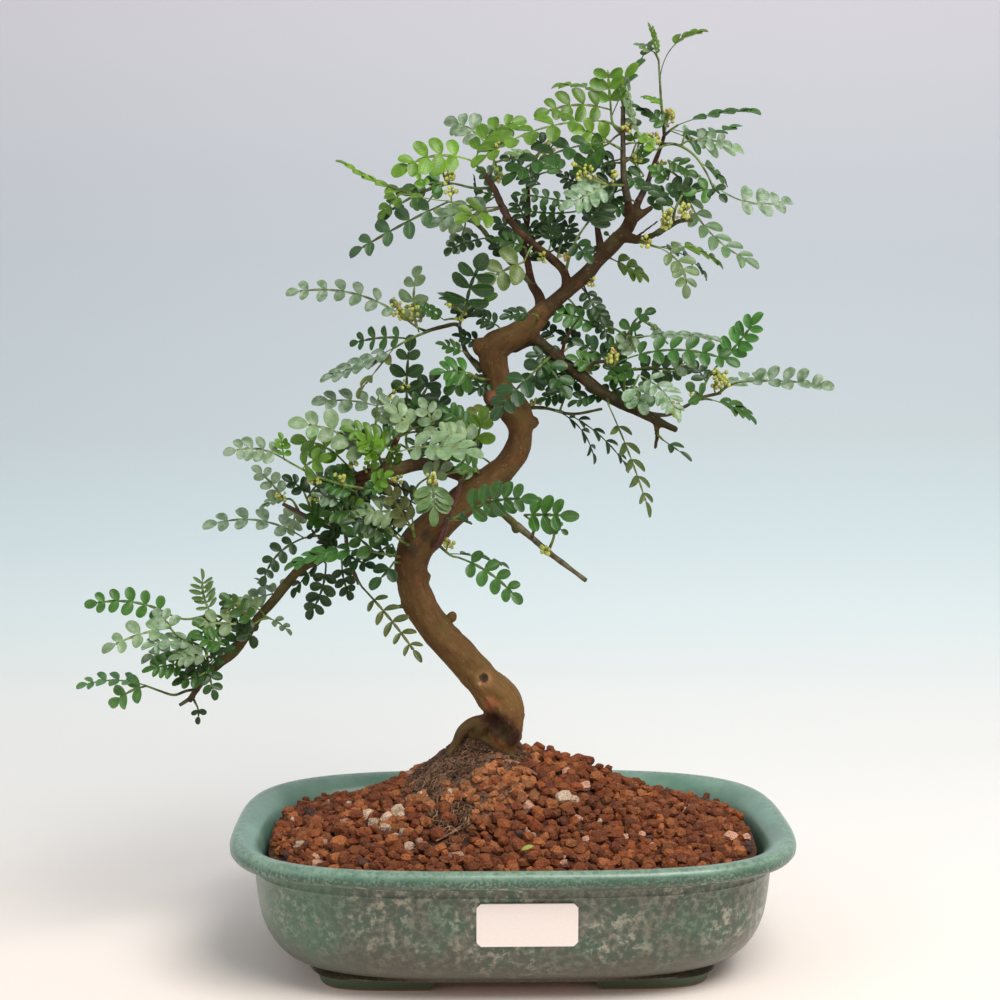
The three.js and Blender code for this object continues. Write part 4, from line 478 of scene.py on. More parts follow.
# Further leaves: tone, foot u, v, w, tip u, v, w, pairs, length, turn and bow
MORE_LEAVES = {
    "crown": [
        (MID, 255.5, 71.6, 8, 242.9, 65.3, 8, 2, 7, 70, 1), (DEEP, 272, 73, 6, 261, 68, 8, 2, 8, 60, 1),
        (FRESH_BACKLIT, 305, 71, -6, 284.5, 64.5, -10, 2, 9.5, 75, 1.5),
        (PALE_SHEEN, 303, 93, -4, 285, 98, -8, 3, 7.5, 60, 1), (DEEP, 308, 96, 4, 294, 101, 6, 2, 8, 70, 0),
        (MID, 291, 103, 2, 256, 97, 0, 5, 5.5, 60, 1), (MID, 286, 106, 6, 262, 105, 8, 4, 5, 70, -1),
        (PALE_SHEEN, 249, 103.5, -14, 214.5, 113, -20, 3, 9.5, 50, 2),
        (FRESH_BACKLIT, 200, 97, -18, 189.5, 110, -20, 2, 7, 50, 0.5),
        (PALE_SHEEN, 214, 101, -10, 200, 95, -12, 1, 9, 70, 0),
        (FRESH_BACKLIT, 213, 95, -18, 208, 86, -20, 1, 5.5, 60, 0), (MID, 248, 98, 4, 237, 95, 6, 1, 8, 70, 0),
        (DEEP, 238, 100, 2, 237, 87, 0, 3, 4, 15, 0), (DEEP, 262, 120, 12, 245, 109, 16, 3, 8, 60, 1),
        (DEEP, 268, 122, 14, 262, 107, 18, 3, 8, 70, 0), (DEEP, 272, 118, 10, 283, 108, 14, 3, 8, 65, 1),
        (MID, 263, 124, 4, 246, 120, 2, 3, 7, 60, 1), (DEEP, 255, 127, 8, 243, 118, 10, 2, 8, 60, 0),
        (DEEP, 275, 126, 16, 290, 118, 20, 3, 8, 60, 0), (DEEP, 262, 131, 18, 272, 120, 22, 3, 8, 60, 0),
        (DEEP, 263, 110, 14, 256, 97, 16, 3, 7, 60, 0), (DEEP, 276, 121, -2, 274, 108, -4, 3, 7.5, 80, 0),
        (DEEP, 281, 121, 6, 287, 107, 8, 3, 7, 60, 0), (MID, 298, 128, 8, 293, 121, 10, 1, 7, 75, 0),
        (MID, 308, 120, 8, 302, 116, 10, 1, 7, 75, 0), (DEEP, 243, 119, -4, 222, 126.5, -8, 4, 5.5, 60, 1),
        (OLIVE, 262, 131, -16, 240, 143, -24, 2, 12, 70, 1),
        (MID, 239, 152, -20, 248.5, 147, -22, 0, 10, 80, 0), (DEEP, 270, 92, 8, 257, 84, 10, 3, 7, 60, 0),
        (MID, 281, 86, 4, 270, 78, 6, 2, 7.5, 60, 0), (DEEP, 262, 84, 12, 250, 78, 12, 2, 8, 70, 0),
        (MID, 250, 90, 0, 238, 84, 2, 2, 7, 60, 0), (DEEP, 290, 92, 8, 278, 87, 8, 3, 7, 60, 0),
        (PALE_SHEEN, 268, 80, -12, 252, 77, -16, 3, 6.5, 30, 1), (MID, 300, 84, 2, 289, 79, 2, 2, 7, 60, 0),
        (DEEP, 296, 112, 10, 300, 99, 14, 2, 8, 60, 0),
    ],
    "crown_right": [
        (FRESH_BACKLIT, 309.5, 44, -8, 320.5, 34.5, -12, 0, 10.5, 80, 2),
        (MID, 331.5, 62.5, 8, 315.5, 52, 6, 3, 7, 18, 0.5), (PALE_SHEEN, 327, 26, 4, 317, 21.5, 4, 2, 5, 30, 0),
        (PALE_SHEEN, 322, 72, -8, 314.5, 38.5, -14, 6, 5.5, 20, -3),
        (FRESH_BACKLIT, 331, 53, 0, 320.5, 48, 2, 2, 4.5, 20, 0.5),
        (DEEP, 343, 66, -12, 350, 77, -14, 0, 9, 60, 0), (MID, 334, 80, -6, 349, 88, -10, 3, 7, 50, 0),
        (DEEP, 336, 97, -8, 352, 93, -14, 2, 9, 75, 0), (MID, 316, 100, 4, 303, 108, 2, 3, 7.5, 60, 0),
        (MID, 322, 88, 0, 308, 92, -2, 2, 8, 60, 0), (DEEP, 309, 80, 4, 295, 86, 2, 3, 8, 60, 1),
        (DEEP, 310, 90, 2, 293, 95, 0, 3, 8, 70, 0), (FRESH_BACKLIT, 318, 72, -4, 313, 62, -6, 1, 6, 60, 0),
        (MID, 318, 84, 6, 326, 70, 8, 3, 7, 50, 0), (FRESH_BACKLIT, 328, 75, -6, 318, 66, -8, 2, 6, 40, 0),
        (MID, 333, 62, 4, 323, 56, 4, 2, 6, 60, 0), (MID, 334, 90, 2, 324, 83, 2, 2, 7, 60, 0),
        (PALE_SHEEN, 346, 70, -8, 366, 73.5, -10, 3, 6.5, 60, 1.5),
        (DEEP, 330, 100, -12, 341, 92, -16, 2, 8.5, 70, 0), (MID, 325, 104, 10, 334, 97, 12, 2, 7, 60, 0),
    ],
    "right_arm": [
        (MID, 292, 160, 8, 280, 155, 4, 2, 7.5, 75, 0), (DEEP, 292, 143, 2, 304, 162, -2, 4, 6, 70, -1),
        (MID, 300, 163, 4, 272, 156, 0, 4, 8, 60, 1), (DEEP, 303, 180, 4, 286, 170, 0, 3, 8, 70, 1),
        (MID, 300, 183, -4, 283, 178, -6, 3, 7.5, 60, 0), (DEEP, 296, 152, 6, 306, 172, 8, 4, 7, 60, 0),
        (MID, 304, 176, 2, 322, 168, -2, 4, 7, 60, 1), (PALE_SHEEN, 334, 172, -2, 324, 161, -4, 3, 5.5, 30, 0),
        (FRESH_BACKLIT, 318, 169, 4, 359, 170, 0, 5, 6, 12, 2), (MID, 318, 184, -4, 302, 190, -8, 3, 6, 50, 0),
        (DEEP, 282, 180, 2, 263, 178, -4, 3, 8, 60, 1), (DEEP, 284, 185, 4, 265, 190, 0, 4, 8, 70, -1),
        (DEEP, 290, 190, 2, 274, 197, -4, 3, 7, 60, 0), (OLIVE, 285, 188, 8, 268, 185, 10, 2, 8, 70, 0),
        (DEEP, 304, 196, -2, 284, 203, -6, 4, 7, 50, 1), (MID, 300, 199, 4, 318, 190, 2, 3, 7, 60, 0),
        (MID, 327, 196, -16, 313, 203, -20, 2, 8, 75, 1), (DEEP, 277, 168, 8, 268, 160, 10, 2, 8, 60, 0),
        (DEEP, 290, 172, 10, 278, 165, 12, 3, 8, 60, 0), (DEEP, 312, 180, 8, 302, 172, 10, 2, 8, 60, 0),
        (PALE_SHEEN, 336, 186, -14, 350, 176, -18, 2, 7, 60, 0), (DEEP, 296, 187, 10, 290, 176, 14, 2, 8, 60, 0),
        (MID, 284, 196, 6, 268, 201, 4, 3, 7, 50, 0), (PALE_SHEEN, 318, 176, -12, 308, 168, -14, 2, 7, 60, 0),
    ],
    "middle": [
        (MID, 222, 160, -2, 208, 152, -4, 3, 6, 40, 0.5), (DEEP, 236, 158, 0, 224, 150, 0, 2, 7, 60, 0),
        (DEEP, 249, 163, -2, 236, 156, -4, 3, 6.5, 60, 0),
        (PALE_SHEEN, 206, 214, -26, 192, 203, -30, 2, 9.5, 60, 1),
        (PALE_SHEEN, 203, 212, -22, 190, 197, -26, 3, 8.5, 80, 0),
        (DEEP, 212, 216, -20, 207, 196, -24, 3, 9, 80, 0),
        (PALE_SHEEN, 217, 212, -24, 210, 199, -28, 2, 9, 80, 0),
        (MID, 238, 218, -10, 219, 203, -14, 4, 8, 70, 1),
        (PALE_SHEEN, 236, 222, -18, 222, 212, -24, 2, 9, 70, 0),
        (OLIVE, 250, 206, 0, 230, 209, -4, 3, 7.5, 50, 0),
        (PALE_SHEEN, 234, 223, -26, 212, 215, -30, 3, 9, 60, 1),
        (FRESH_BACKLIT, 196, 226, -28, 170, 214, -34, 4, 9, 55, 2),
        (FRESH_BACKLIT, 190, 228, -30, 178, 216, -36, 3, 8, 70, 0),
        (FRESH_BACKLIT, 186, 236, -28, 186, 221, -36, 3, 6.5, 40, 0),
        (FRESH_BACKLIT, 196, 234, -24, 200, 222, -30, 3, 6.5, 40, 0),
        (DEEP, 226, 232, 2, 214, 222, 4, 3, 8, 60, 0), (MID, 238, 236, -14, 224, 229, -22, 3, 8.5, 60, 1),
        (DEEP, 240, 228, 6, 228, 217, 8, 3, 8, 60, 0), (DEEP, 215, 228, -2, 203, 219, -2, 3, 8, 60, 0),
        (PALE_SHEEN, 212, 240, -34, 226, 232, -40, 2, 8, 60, 0),
        (MID, 198, 222, -10, 186, 212, -12, 3, 8, 60, 0), (DEEP, 246, 190, 2, 234, 197, 0, 3, 7, 60, 0),
        (MID, 232, 176, -4, 218, 171, -6, 3, 6.5, 40, 0), (DEEP, 240, 171, 4, 226, 167, 4, 3, 6.5, 50, 0),
    ],
    "left_arm": [
        (MID, 178, 246, -26, 158, 240, -32, 4, 8.5, 60, 1),
        (DEEP, 184, 250, -14, 166, 246, -20, 3, 9, 60, 0),
        (MID, 180, 256, -20, 160, 258, -28, 4, 8, 60, 1),
        (DEEP, 188, 256, -12, 176, 262, -18, 2, 9, 60, 0),
        (PALE_SHEEN, 170, 250, -28, 156, 247, -32, 3, 7.5, 50, 0),
        (PALE_SHEEN, 198, 256, -30, 176, 258, -36, 3, 10, 60, 1),
        (PALE_SHEEN, 196, 262, -26, 182, 268, -30, 2, 9, 70, 0),
        (DEEP, 208, 252, -16, 190, 246, -20, 3, 9, 60, 1),
        (DEEP, 206, 258, -14, 194, 252, -18, 2, 9, 60, 0),
        (DEEP, 236, 262, -20, 229, 257, -24, 0, 9, 70, 0),
        (OLIVE, 203, 262, -24, 197, 252, -28, 0, 9, 60, 0),
        (DEEP, 172, 262, -4, 160, 268, -8, 3, 8, 60, 0), (DEEP, 196, 272, -14, 184, 279, -18, 2, 9, 60, 0),
        (MID, 176, 240, -22, 166, 233, -28, 3, 8, 60, 0),
        (DEEP, 186, 244, -10, 176, 252, -12, 3, 8, 60, 0),
        (MID, 192, 242, -28, 182, 247, -34, 3, 8, 60, 0),
        (DEEP, 200, 268, -10, 190, 258, -14, 3, 8, 60, 0), (DEEP, 168, 268, 0, 158, 276, -4, 3, 7, 60, 0),
        (FRESH_BACKLIT, 186, 243, -30, 196, 236, -36, 2, 7, 60, 0),
        (MID, 164, 262, -12, 150, 252, -18, 3, 8, 60, 0),
    ],
    "low_left": [
        (PALE_SHEEN, 118, 312, -8, 96, 311, -12, 2, 9, 70, 0), (MID, 127, 312, -4, 110, 297, -8, 3, 7, 60, 1),
        (PALE_SHEEN, 130, 305, 2, 118, 299, 0, 2, 7, 60, 0), (MID, 94, 332, -18, 71, 336, -22, 4, 8, 60, 1),
        (DEEP, 106, 330, -8, 90, 340, -14, 3, 8, 60, 0), (MID, 100, 338, -14, 86, 342, -18, 2, 7.5, 60, 0),
        (DEEP, 126, 318, -2, 114, 308, -6, 2, 8, 60, 0), (MID, 112, 322, -14, 96, 318, -18, 3, 8, 60, 0),
        (PALE_SHEEN, 104, 328, -22, 84, 329, -26, 3, 8, 50, 0), (MID, 120, 320, 4, 108, 327, 2, 2, 8, 60, 0),
    ],
}


# ---------------- the view and the frame

MM = 0.001
pot_low, pot_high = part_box("pot")
POT_X = (pot_low.x + pot_high.x) / 2 / MM

VIEW_TURN = math.radians(-1.2)
VIEW_DOWN = math.radians(5)
VIEW_DISTANCE = 900.0
VIEW_TARGET = np.array([-5.9, 0.0, 228.8])
VIEW_MIDDLE = 250.0
LENS = 64.8
SENSOR = 36

RIGHT = np.array([math.cos(VIEW_TURN), math.sin(VIEW_TURN), 0])
LEVEL = np.array([-math.sin(VIEW_TURN), math.cos(VIEW_TURN), 0])
UPRIGHT = np.array([0, 0, 1.0])
FORWARD = LEVEL * math.cos(VIEW_DOWN) - UPRIGHT * math.sin(VIEW_DOWN)
UP = LEVEL * math.sin(VIEW_DOWN) + UPRIGHT * math.cos(VIEW_DOWN)
EYE = VIEW_TARGET - FORWARD * VIEW_DISTANCE


def placed(u, v, w):
    """The point of the pot's frame that is seen at (u, v), w behind the middle."""
    spread = (VIEW_DISTANCE + w) / VIEW_DISTANCE
    across = RIGHT * ((u - VIEW_MIDDLE) * spread)
    return VIEW_TARGET + across + UP * ((VIEW_MIDDLE - v) * spread) + FORWARD * w


def seen(points):
    """Where points are seen: their u, v and w."""
    off = np.asarray(points) - VIEW_TARGET
    w = off @ FORWARD
    spread = (VIEW_DISTANCE + w) / VIEW_DISTANCE
    return np.stack([VIEW_MIDDLE + off @ RIGHT / spread, VIEW_MIDDLE - off @ UP / spread, w], axis=-1)


# ---------------- small tools


def unit(vector):
    """The vector, or each row, at length one."""
    length = np.linalg.norm(vector, axis=-1, keepdims=True)
    return vector / np.maximum(length, 1e-9)


def linear(colour):
    """A colour given as three numbers up to 255, in linear light."""
    part = np.asarray(colour, float) / 255
    return np.where(part <= 0.04045, part / 12.92, ((part + 0.055) / 1.055) ** 2.4)


def shade(colour):
    """The same as a tuple of four, for a socket."""
    return (*[float(c) for c in linear(colour)], 1.0)


def grit(points, size, seed):
    """Smooth random values from -1 to 1, one for each point, that change over that size."""
    cells = np.asarray(points, float) / size + 1000.0
    low = np.floor(cells).astype(np.int64)
    part = cells - low
    part = part * part * (3 - 2 * part)
    total = np.zeros(len(cells))
    for corner in range(8):
        step = np.array([corner & 1, corner >> 1 & 1, corner >> 2 & 1])
        whole = low + step
        key = whole[:, 0] * 73856093 ^ whole[:, 1] * 19349663 ^ whole[:, 2] * 83492791 ^ seed * 2654435
        key = (key ^ key >> 13) * 1274126177 & 0x7FFFFFFF
        key = (key ^ key >> 16) & 0xFFFF
        total += np.prod(np.where(step, part, 1 - part), axis=1) * key / 0xFFFF
    return total * 2 - 1


def smoothed(rows, step):
    """A smooth line through the rows, with its points about one step apart."""
    rows = np.array(rows, float)
    if len(rows) == 2:
        rows = np.array([rows[0], (rows[0] + rows[1]) / 2, rows[1]])
    padded = np.vstack([2 * rows[0] - rows[1], rows, 2 * rows[-1] - rows[-2]])
    line = []
    for i in range(len(rows) - 1):
        a, b, c, d = padded[i : i + 4]
        count = max(1, round(np.linalg.norm((c - b)[:3]) / step))
        for t in np.arange(count) / count:
            line.append(
                0.5 * (2 * b + (c - a) * t + (2 * a - 5 * b + 4 * c - d) * t**2)
                + 0.5 * (3 * b - 3 * c + d - a) * t**3
            )
    return np.vstack([line, rows[-1]])


def wood_line(rows, step):
    """A smooth line of x, y, z and radius from placed rows."""
    return smoothed([[*placed(*row[:3]), row[3]] for row in rows], step)


def tube(line, radii, sides, wide=None, flat=1.0):
    """A tube round a line. Where wide is given, the tube is flat across that direction."""
    line = np.asarray(line, float)
    radii = np.asarray(radii, float)
    along = unit(np.gradient(line, axis=0))
    start = wide if wide is not None else UPRIGHT + np.array([0.31, 0.17, 0])
    side = np.zeros_like(line)
    last = unit(np.cross(np.cross(along[0], start), along[0]) + 1e-9)
    for i, way in enumerate(along):
        if wide is not None:
            last = wide
        last = unit(last - way * (last @ way))
        side[i] = last
    over = np.cross(along, side)
    angle = np.arange(sides) * 2 * math.pi / sides
    ring = (
        side[:, None] * np.cos(angle)[None, :, None]
        + over[:, None] * (np.sin(angle) * flat)[None, :, None]
    )
    points = line[:, None] + ring * radii[:, None, None]
    count = len(line)
    points = np.vstack([points.reshape(-1, 3), line[0] - along[0] * radii[0] * 0.4,
                        line[-1] + along[-1] * radii[-1] * 0.4])
    faces = []
    for i in range(count - 1):
        for j in range(sides):
            k = (j + 1) % sides
            faces.append((i * sides + j, i * sides + k, (i + 1) * sides + k, (i + 1) * sides + j))
    low, high = count * sides, count * sides + 1
    for j in range(sides):
        k = (j + 1) % sides
        faces.append((low, k, j))
        faces.append((high, (count - 1) * sides + j, (count - 1) * sides + k))
    run = np.concatenate([[0], np.cumsum(np.linalg.norm(np.diff(line, axis=0), axis=1))])
    chart = np.stack([np.tile(angle / (2 * math.pi), count), np.repeat(run, sides)], axis=1)
    chart = np.vstack([chart, [0.5, run[0]], [0.5, run[-1]]])
    return points, faces, chart


FIBRE_RUN = 0.02
SOFT_EDGE = math.radians(75)
POT_EDGE = math.radians(38)


class Pile:
    """Shapes gathered for one piece: points, faces, a tint and a chart for each point."""

    def __init__(self):
        self.points, self.faces, self.tints, self.charts, self.slots = [], [], [], [], []
        self.count = 0

    def add(self, points, faces, tint, chart=None, slot=0):
        """Adds one shape in the pot's frame; its tint is one colour or one for each point."""
        points = np.asarray(points, float)
        self.points.append(points)
        base = self.count
        self.faces.extend([tuple(base + i for i in face) for face in faces])
        self.slots.extend([slot] * len(faces))
        self.tints.append(np.broadcast_to(np.asarray(tint, float), (len(points), 3)))
        self.charts.append(np.zeros((len(points), 2)) if chart is None else chart)
        self.count += len(points)

    def stick(self, line, radii, sides, tint, slot=0, wide=None, flat=1.0):
        """Adds a stick along a line, with the fibres of its bark along it."""
        points, faces, chart = tube(line, radii, sides, wide, flat)
        self.add(points, faces, tint, chart * [1, FIBRE_RUN], slot)

    def piece(self, name, materials, replaced=(), slot=None, smooth=True):
        """The gathered shapes as one piece of the part, in metres."""
        points = (np.vstack(self.points) + [POT_X, 0, 0]) * MM
        mesh = bpy.data.meshes.new(name)
        mesh.from_pydata(points.tolist(), [], self.faces)
        paint(mesh, np.vstack(self.tints))
        corners = np.zeros(len(mesh.loops), int)
        mesh.loops.foreach_get("vertex_index", corners)
        chart = mesh.uv_layers.new(name="chart")
        chart.data.foreach_set("uv", np.vstack(self.charts)[corners].ravel())
        mesh.polygons.foreach_set("material_index", self.slots)
        mesh.polygons.foreach_set("use_smooth", [smooth] * len(self.faces))
        for material in materials:
            mesh.materials.append(material)
        mesh.update()
        item = shown(name, mesh)
        if smooth:
            alone(item)
            bpy.ops.object.shade_smooth_by_angle(angle=SOFT_EDGE)
        settle(item, replaced)
        return item


def paint(mesh, tints):
    """Gives each point of a mesh its tint."""
    colours = np.ones((len(tints), 4))
    colours[:, :3] = linear(tints)
    mesh.attributes.new("tint", "FLOAT_COLOR", "POINT").data.foreach_set("color", colours.ravel())


def shown(name, data):
    """A new object of the scene with its data."""
    item = bpy.data.objects.new(name, data)
    bpy.context.scene.collection.objects.link(item)
    return item


def settle(item, replaced=()):
    """The piece rides the pot and stands for its solids."""
    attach(item, "root")
    if replaced:
        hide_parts(*replaced)


def alone(item=None):
    """Nothing is selected but the item."""
    bpy.ops.object.select_all(action="DESELECT")
    if item:
        item.select_set(True)
        bpy.context.view_layer.objects.active = item


def coordinates(item):
    """The points of an item's mesh."""
    points = np.zeros(len(item.data.vertices) * 3)
    item.data.vertices.foreach_get("co", points)
    return points.reshape(-1, 3)


# ---------------- finishes


class Flow:
    """A socket of a finish; sums written with it become Math nodes."""

    def __init__(self, finish, socket):
        self.finish, self.socket = finish, socket

    def math(self, operation, *values):
        """This value and the others through one Math node."""
        return self.finish.node("Math", {"operation": operation}, dict(enumerate((self, *values))))

    def __add__(self, other):
        return self.math("ADD", other)

    def __sub__(self, other):
        return self.math("SUBTRACT", other)

    def __rsub__(self, other):
        return (self * -1).math("ADD", other)

    def __mul__(self, other):
        return self.math("MULTIPLY", other)

    def __truediv__(self, other):
        return self.math("DIVIDE", other)

    __radd__ = __add__
    __rmul__ = __mul__

    def over(self, low, high):
        """From 0 at low to 1 at high, softly."""
        inputs = {"Value": self, "From Min": low, "From Max": high}
        return self.finish.node("MapRange", {"interpolation_type": "SMOOTHSTEP"}, inputs)


class Finish:
    """A material being mixed from nodes."""

    def __init__(self, name):
        self.material = bpy.data.materials.new(name)
        self.material.use_nodes = True
        self.tree = self.material.node_tree
        self.tree.nodes.clear()

    def node(self, kind, settings=None, inputs=None, output=0):
        """Adds a node with its settings and the values or links of its sockets."""
        node = self.tree.nodes.new("ShaderNode" + kind)
        for key, value in (settings or {}).items():
            if key == "stops":
                ramp = node.color_ramp
                while len(ramp.elements) < len(value):
                    ramp.elements.new(0.5)
                for element, (place, colour) in zip(ramp.elements, value):
                    element.position, element.color = place, shade(colour)
            else:
                setattr(node, key, value)
        for key, value in (inputs or {}).items():
            if isinstance(value, Flow):
                self.tree.links.new(value.socket, node.inputs[key])
            else:
                node.inputs[key].default_value = value
        return Flow(self, node.outputs[output]) if len(node.outputs) else None

    def place(self):
        """Object coordinates."""
        return self.node("TexCoord", output="Object")

    def attribute(self, name, output="Color"):
        """A named attribute of the piece."""
        return self.node("Attribute", {"attribute_name": name}, output=output)

    def parts(self, vector):
        """The three numbers of a vector."""
        return [self.node("SeparateXYZ", inputs={0: vector}, output=i) for i in range(3)]

    def stretched(self, vector, scale):
        """The vector times a scale for each direction."""
        return self.node("VectorMath", {"operation": "MULTIPLY"}, {0: vector, 1: scale})

    def noise(self, vector, scale, detail=3.0, rough=0.55, warp=0.0):
        """Noise from 0 to 1; the scale is in waves a metre."""
        inputs = {"Vector": vector, "Scale": scale, "Detail": detail, "Roughness": rough}
        inputs["Distortion"] = warp
        return self.node("TexNoise", inputs=inputs)

    def cells(self, vector, scale):
        """The distance to the nearest of scattered points; the scale is in cells a metre."""
        return self.node("TexVoronoi", inputs={"Vector": vector, "Scale": scale})

    def mix(self, factor, first, second, blend="MIX"):
        """A colour between two colours, each a socket or three numbers up to 255."""
        first, second = (c if isinstance(c, Flow) else shade(c) for c in (first, second))
        settings = {"data_type": "RGBA", "blend_type": blend}
        return self.node("Mix", settings, {0: factor, 6: first, 7: second}, output=2)

    def bump(self, height, distance, strength=1.0):
        """A normal from a height."""
        return self.node("Bump", inputs={"Height": height, "Distance": distance, "Strength": strength})

    def done(self, **inputs):
        """Ends the finish with a principled surface and gives the material."""
        named = {key.replace("_", " "): value for key, value in inputs.items()}
        self.node("OutputMaterial", inputs={"Surface": self.node("BsdfPrincipled", inputs=named)})
        return self.material


def begun(name):
    """A new finish, its object coordinates and the piece's own tint."""
    finish = Finish(name)
    return finish, finish.place(), finish.attribute("tint")


def glazed_stoneware():
    """Mottled grey-green glaze, sea-green on the lip and inside, its crest paler where the glaze breaks thin
    and with a painted highlight along it, brown at the foot, bare clay below.
    """
    finish = Finish("glazed_stoneware")
    place = finish.place()
    x, y, z = finish.parts(place)
    normal_x, normal_y, tilt = finish.parts(finish.node("NewGeometry", output="Normal"))
    cloud = finish.noise(place, 24, 3, 0.6)
    patch = finish.noise(place, 90, 3, 0.62)
    fleck = finish.noise(place, 290, 4, 0.62)
    speck = finish.noise(place, 720, 3, 0.6)
    grain = finish.noise(place, 1500, 2, 0.5)
    grey = finish.mix(fleck.over(0.38, 0.62), (66, 74, 62), (110, 110, 96))
    green = finish.mix(fleck.over(0.40, 0.62), (58, 82, 64), (94, 114, 94))
    wall = finish.mix((cloud * 0.45 + patch * 0.55).over(0.45, 0.58), grey, green)
    pale = (patch * 0.35 + fleck * 0.65).over(0.51, 0.60) * finish.noise(place, 31, 2).over(0.38, 0.60)
    wall = finish.mix(pale * 0.9, wall, (162, 156, 140))
    left = (POT_X * MM - x + cloud * 0.03).over(0.075, 0.12)
    wall = finish.mix(left * 0.45, wall, (72, 116, 90))
    wall = finish.mix(speck.over(0.53, 0.64) * 0.6, wall, (48, 72, 56))
    brown = finish.mix(speck.over(0.35, 0.65), (54, 48, 36), (78, 72, 58))
    wall = finish.mix((1 - (z + cloud * 0.03 - 0.015).over(0.014, 0.034)) * 0.75, wall, brown)
    foot = finish.mix(speck.over(0.4, 0.7), (58, 52, 38), (84, 78, 60))
    foot = finish.mix(1 - z.over(0.0045, 0.0065), foot, (70, 88, 62))
    low = 1 - (z + fleck * 0.003 - 0.0015).over(0.0095, 0.0125)
    wall = finish.mix(low * 0.92, wall, foot)
    lip = finish.mix(cloud.over(0.35, 0.65), (84, 116, 98), (106, 136, 118))
    lip = finish.mix(speck.over(0.50, 0.64) * 0.7, lip, (50, 84, 64))
    # The lip's crest: paler where the glaze breaks thin, and a painted highlight along it.
    crest_break_and_highlight = (z + speck * 0.002 - 0.001).over(0.0650, 0.0668) * (0.3 + fleck.over(0.42, 0.58) * 0.7)
    lip = finish.mix(crest_break_and_highlight * 0.36, lip, (166, 196, 172))
    is_lip = (z + speck * 0.0016 - 0.0008).over(0.0604, 0.0616)
    band = 1 - (z + speck * 0.003 - 0.0015).over(0.0640, 0.0656)
    outward = 1 - tilt.over(-0.2, 0.75)
    lip = finish.mix(band * outward * speck.over(0.36, 0.54) * 0.85, lip, (42, 72, 54))
    facing = (x - POT_X * MM) * normal_x + y * normal_y
    inside = (1 - facing.over(-0.05, -0.01)) * z.over(0.0125, 0.0135)
    streak = finish.noise(finish.stretched(place, (1, 1, 4)), 34, 3, 0.6)
    inner = finish.mix(cloud.over(0.3, 0.7), (90, 132, 112), (124, 160, 142))
    inner = finish.mix(streak.over(0.50, 0.66) * 0.5, inner, (104, 122, 112))
    inner = finish.mix(speck.over(0.60, 0.76) * 0.5, inner, (70, 104, 84))
    colour = finish.mix(is_lip, wall, lip)
    colour = finish.mix(inside, colour, inner)
    clay = finish.mix(grain, (150, 98, 68), (186, 130, 92))
    under = (1 - tilt.over(-0.95, -0.8)) * (1 - z.over(0.0055, 0.0065))
    bare = finish.node("Math", {"operation": "MAXIMUM"}, {0: under, 1: 1 - z.over(0.0003, 0.0012)})
    colour = finish.mix(bare, colour, clay)
    rough = 0.28 + fleck * 0.16 + bare * 0.4 + low * 0.15
    height = fleck * 0.6 + grain * 0.15 + cloud * 0.8
    return finish.done(
        Base_Color=colour, Roughness=rough, Coat_Weight=0.3, Coat_Roughness=0.2,
        Normal=finish.bump(height, 0.0006, 0.35),
    )


def bark():
    """Smooth bark in its own tints, with soft fibres, warm and mossy patches and pale pores."""
    finish, place, tint = begun("bark")
    grain = finish.attribute("grain", "Vector")
    fibre = finish.noise(finish.stretched(grain, (1, 1, 0.28)), 700, 3, 0.55)
    ridge = finish.noise(finish.stretched(grain, (1, 1, 0.4)), 230, 2, 0.5)
    moss = finish.noise(place, 105, 3, 0.6)
    warm = finish.noise(place, 150, 3, 0.6)
    fine = finish.noise(place, 1900, 2, 0.5)
    pores = finish.cells(finish.stretched(grain, (1, 1, 0.7)), 760)
    pore = (1 - pores.over(0.12, 0.30)) * finish.noise(place, 250, 1).over(0.54, 0.62)
    dark = finish.mix(1.0, tint, (206, 190, 172), "MULTIPLY")
    light = finish.mix(0.22, tint, (214, 176, 126))
    cloud = finish.noise(place, 60, 3, 0.6)
    colour = finish.mix(fibre.over(0.30, 0.66) * 0.6 + 0.4, dark, tint)
    colour = finish.mix(ridge.over(0.50, 0.72) * 0.25, colour, light)
    aged = finish.mix(1.0, tint, (186, 176, 160), "MULTIPLY")
    colour = finish.mix(cloud.over(0.48, 0.68) * 0.45, colour, aged)
    colour = finish.mix(moss.over(0.50, 0.66) * 0.55, colour, finish.mix(0.45, tint, (84, 84, 36)))
    colour = finish.mix(warm.over(0.54, 0.70) * 0.4, colour, finish.mix(0.35, tint, (150, 84, 52)))
    colour = finish.mix(pore * 0.5, colour, finish.mix(0.42, tint, (216, 178, 132)))
    colour = finish.mix(fine.over(0.60, 0.74) * 0.35, colour, (44, 30, 20))
    height = fibre * 0.3 + ridge * 0.4 + pore * 0.4 + fine * 0.2 + moss * 0.6
    return finish.done(
        Base_Color=colour, Roughness=0.74 + fine * 0.16, Specular_IOR_Level=0.3,
        Normal=finish.bump(height, 0.0008, 0.6),
    )


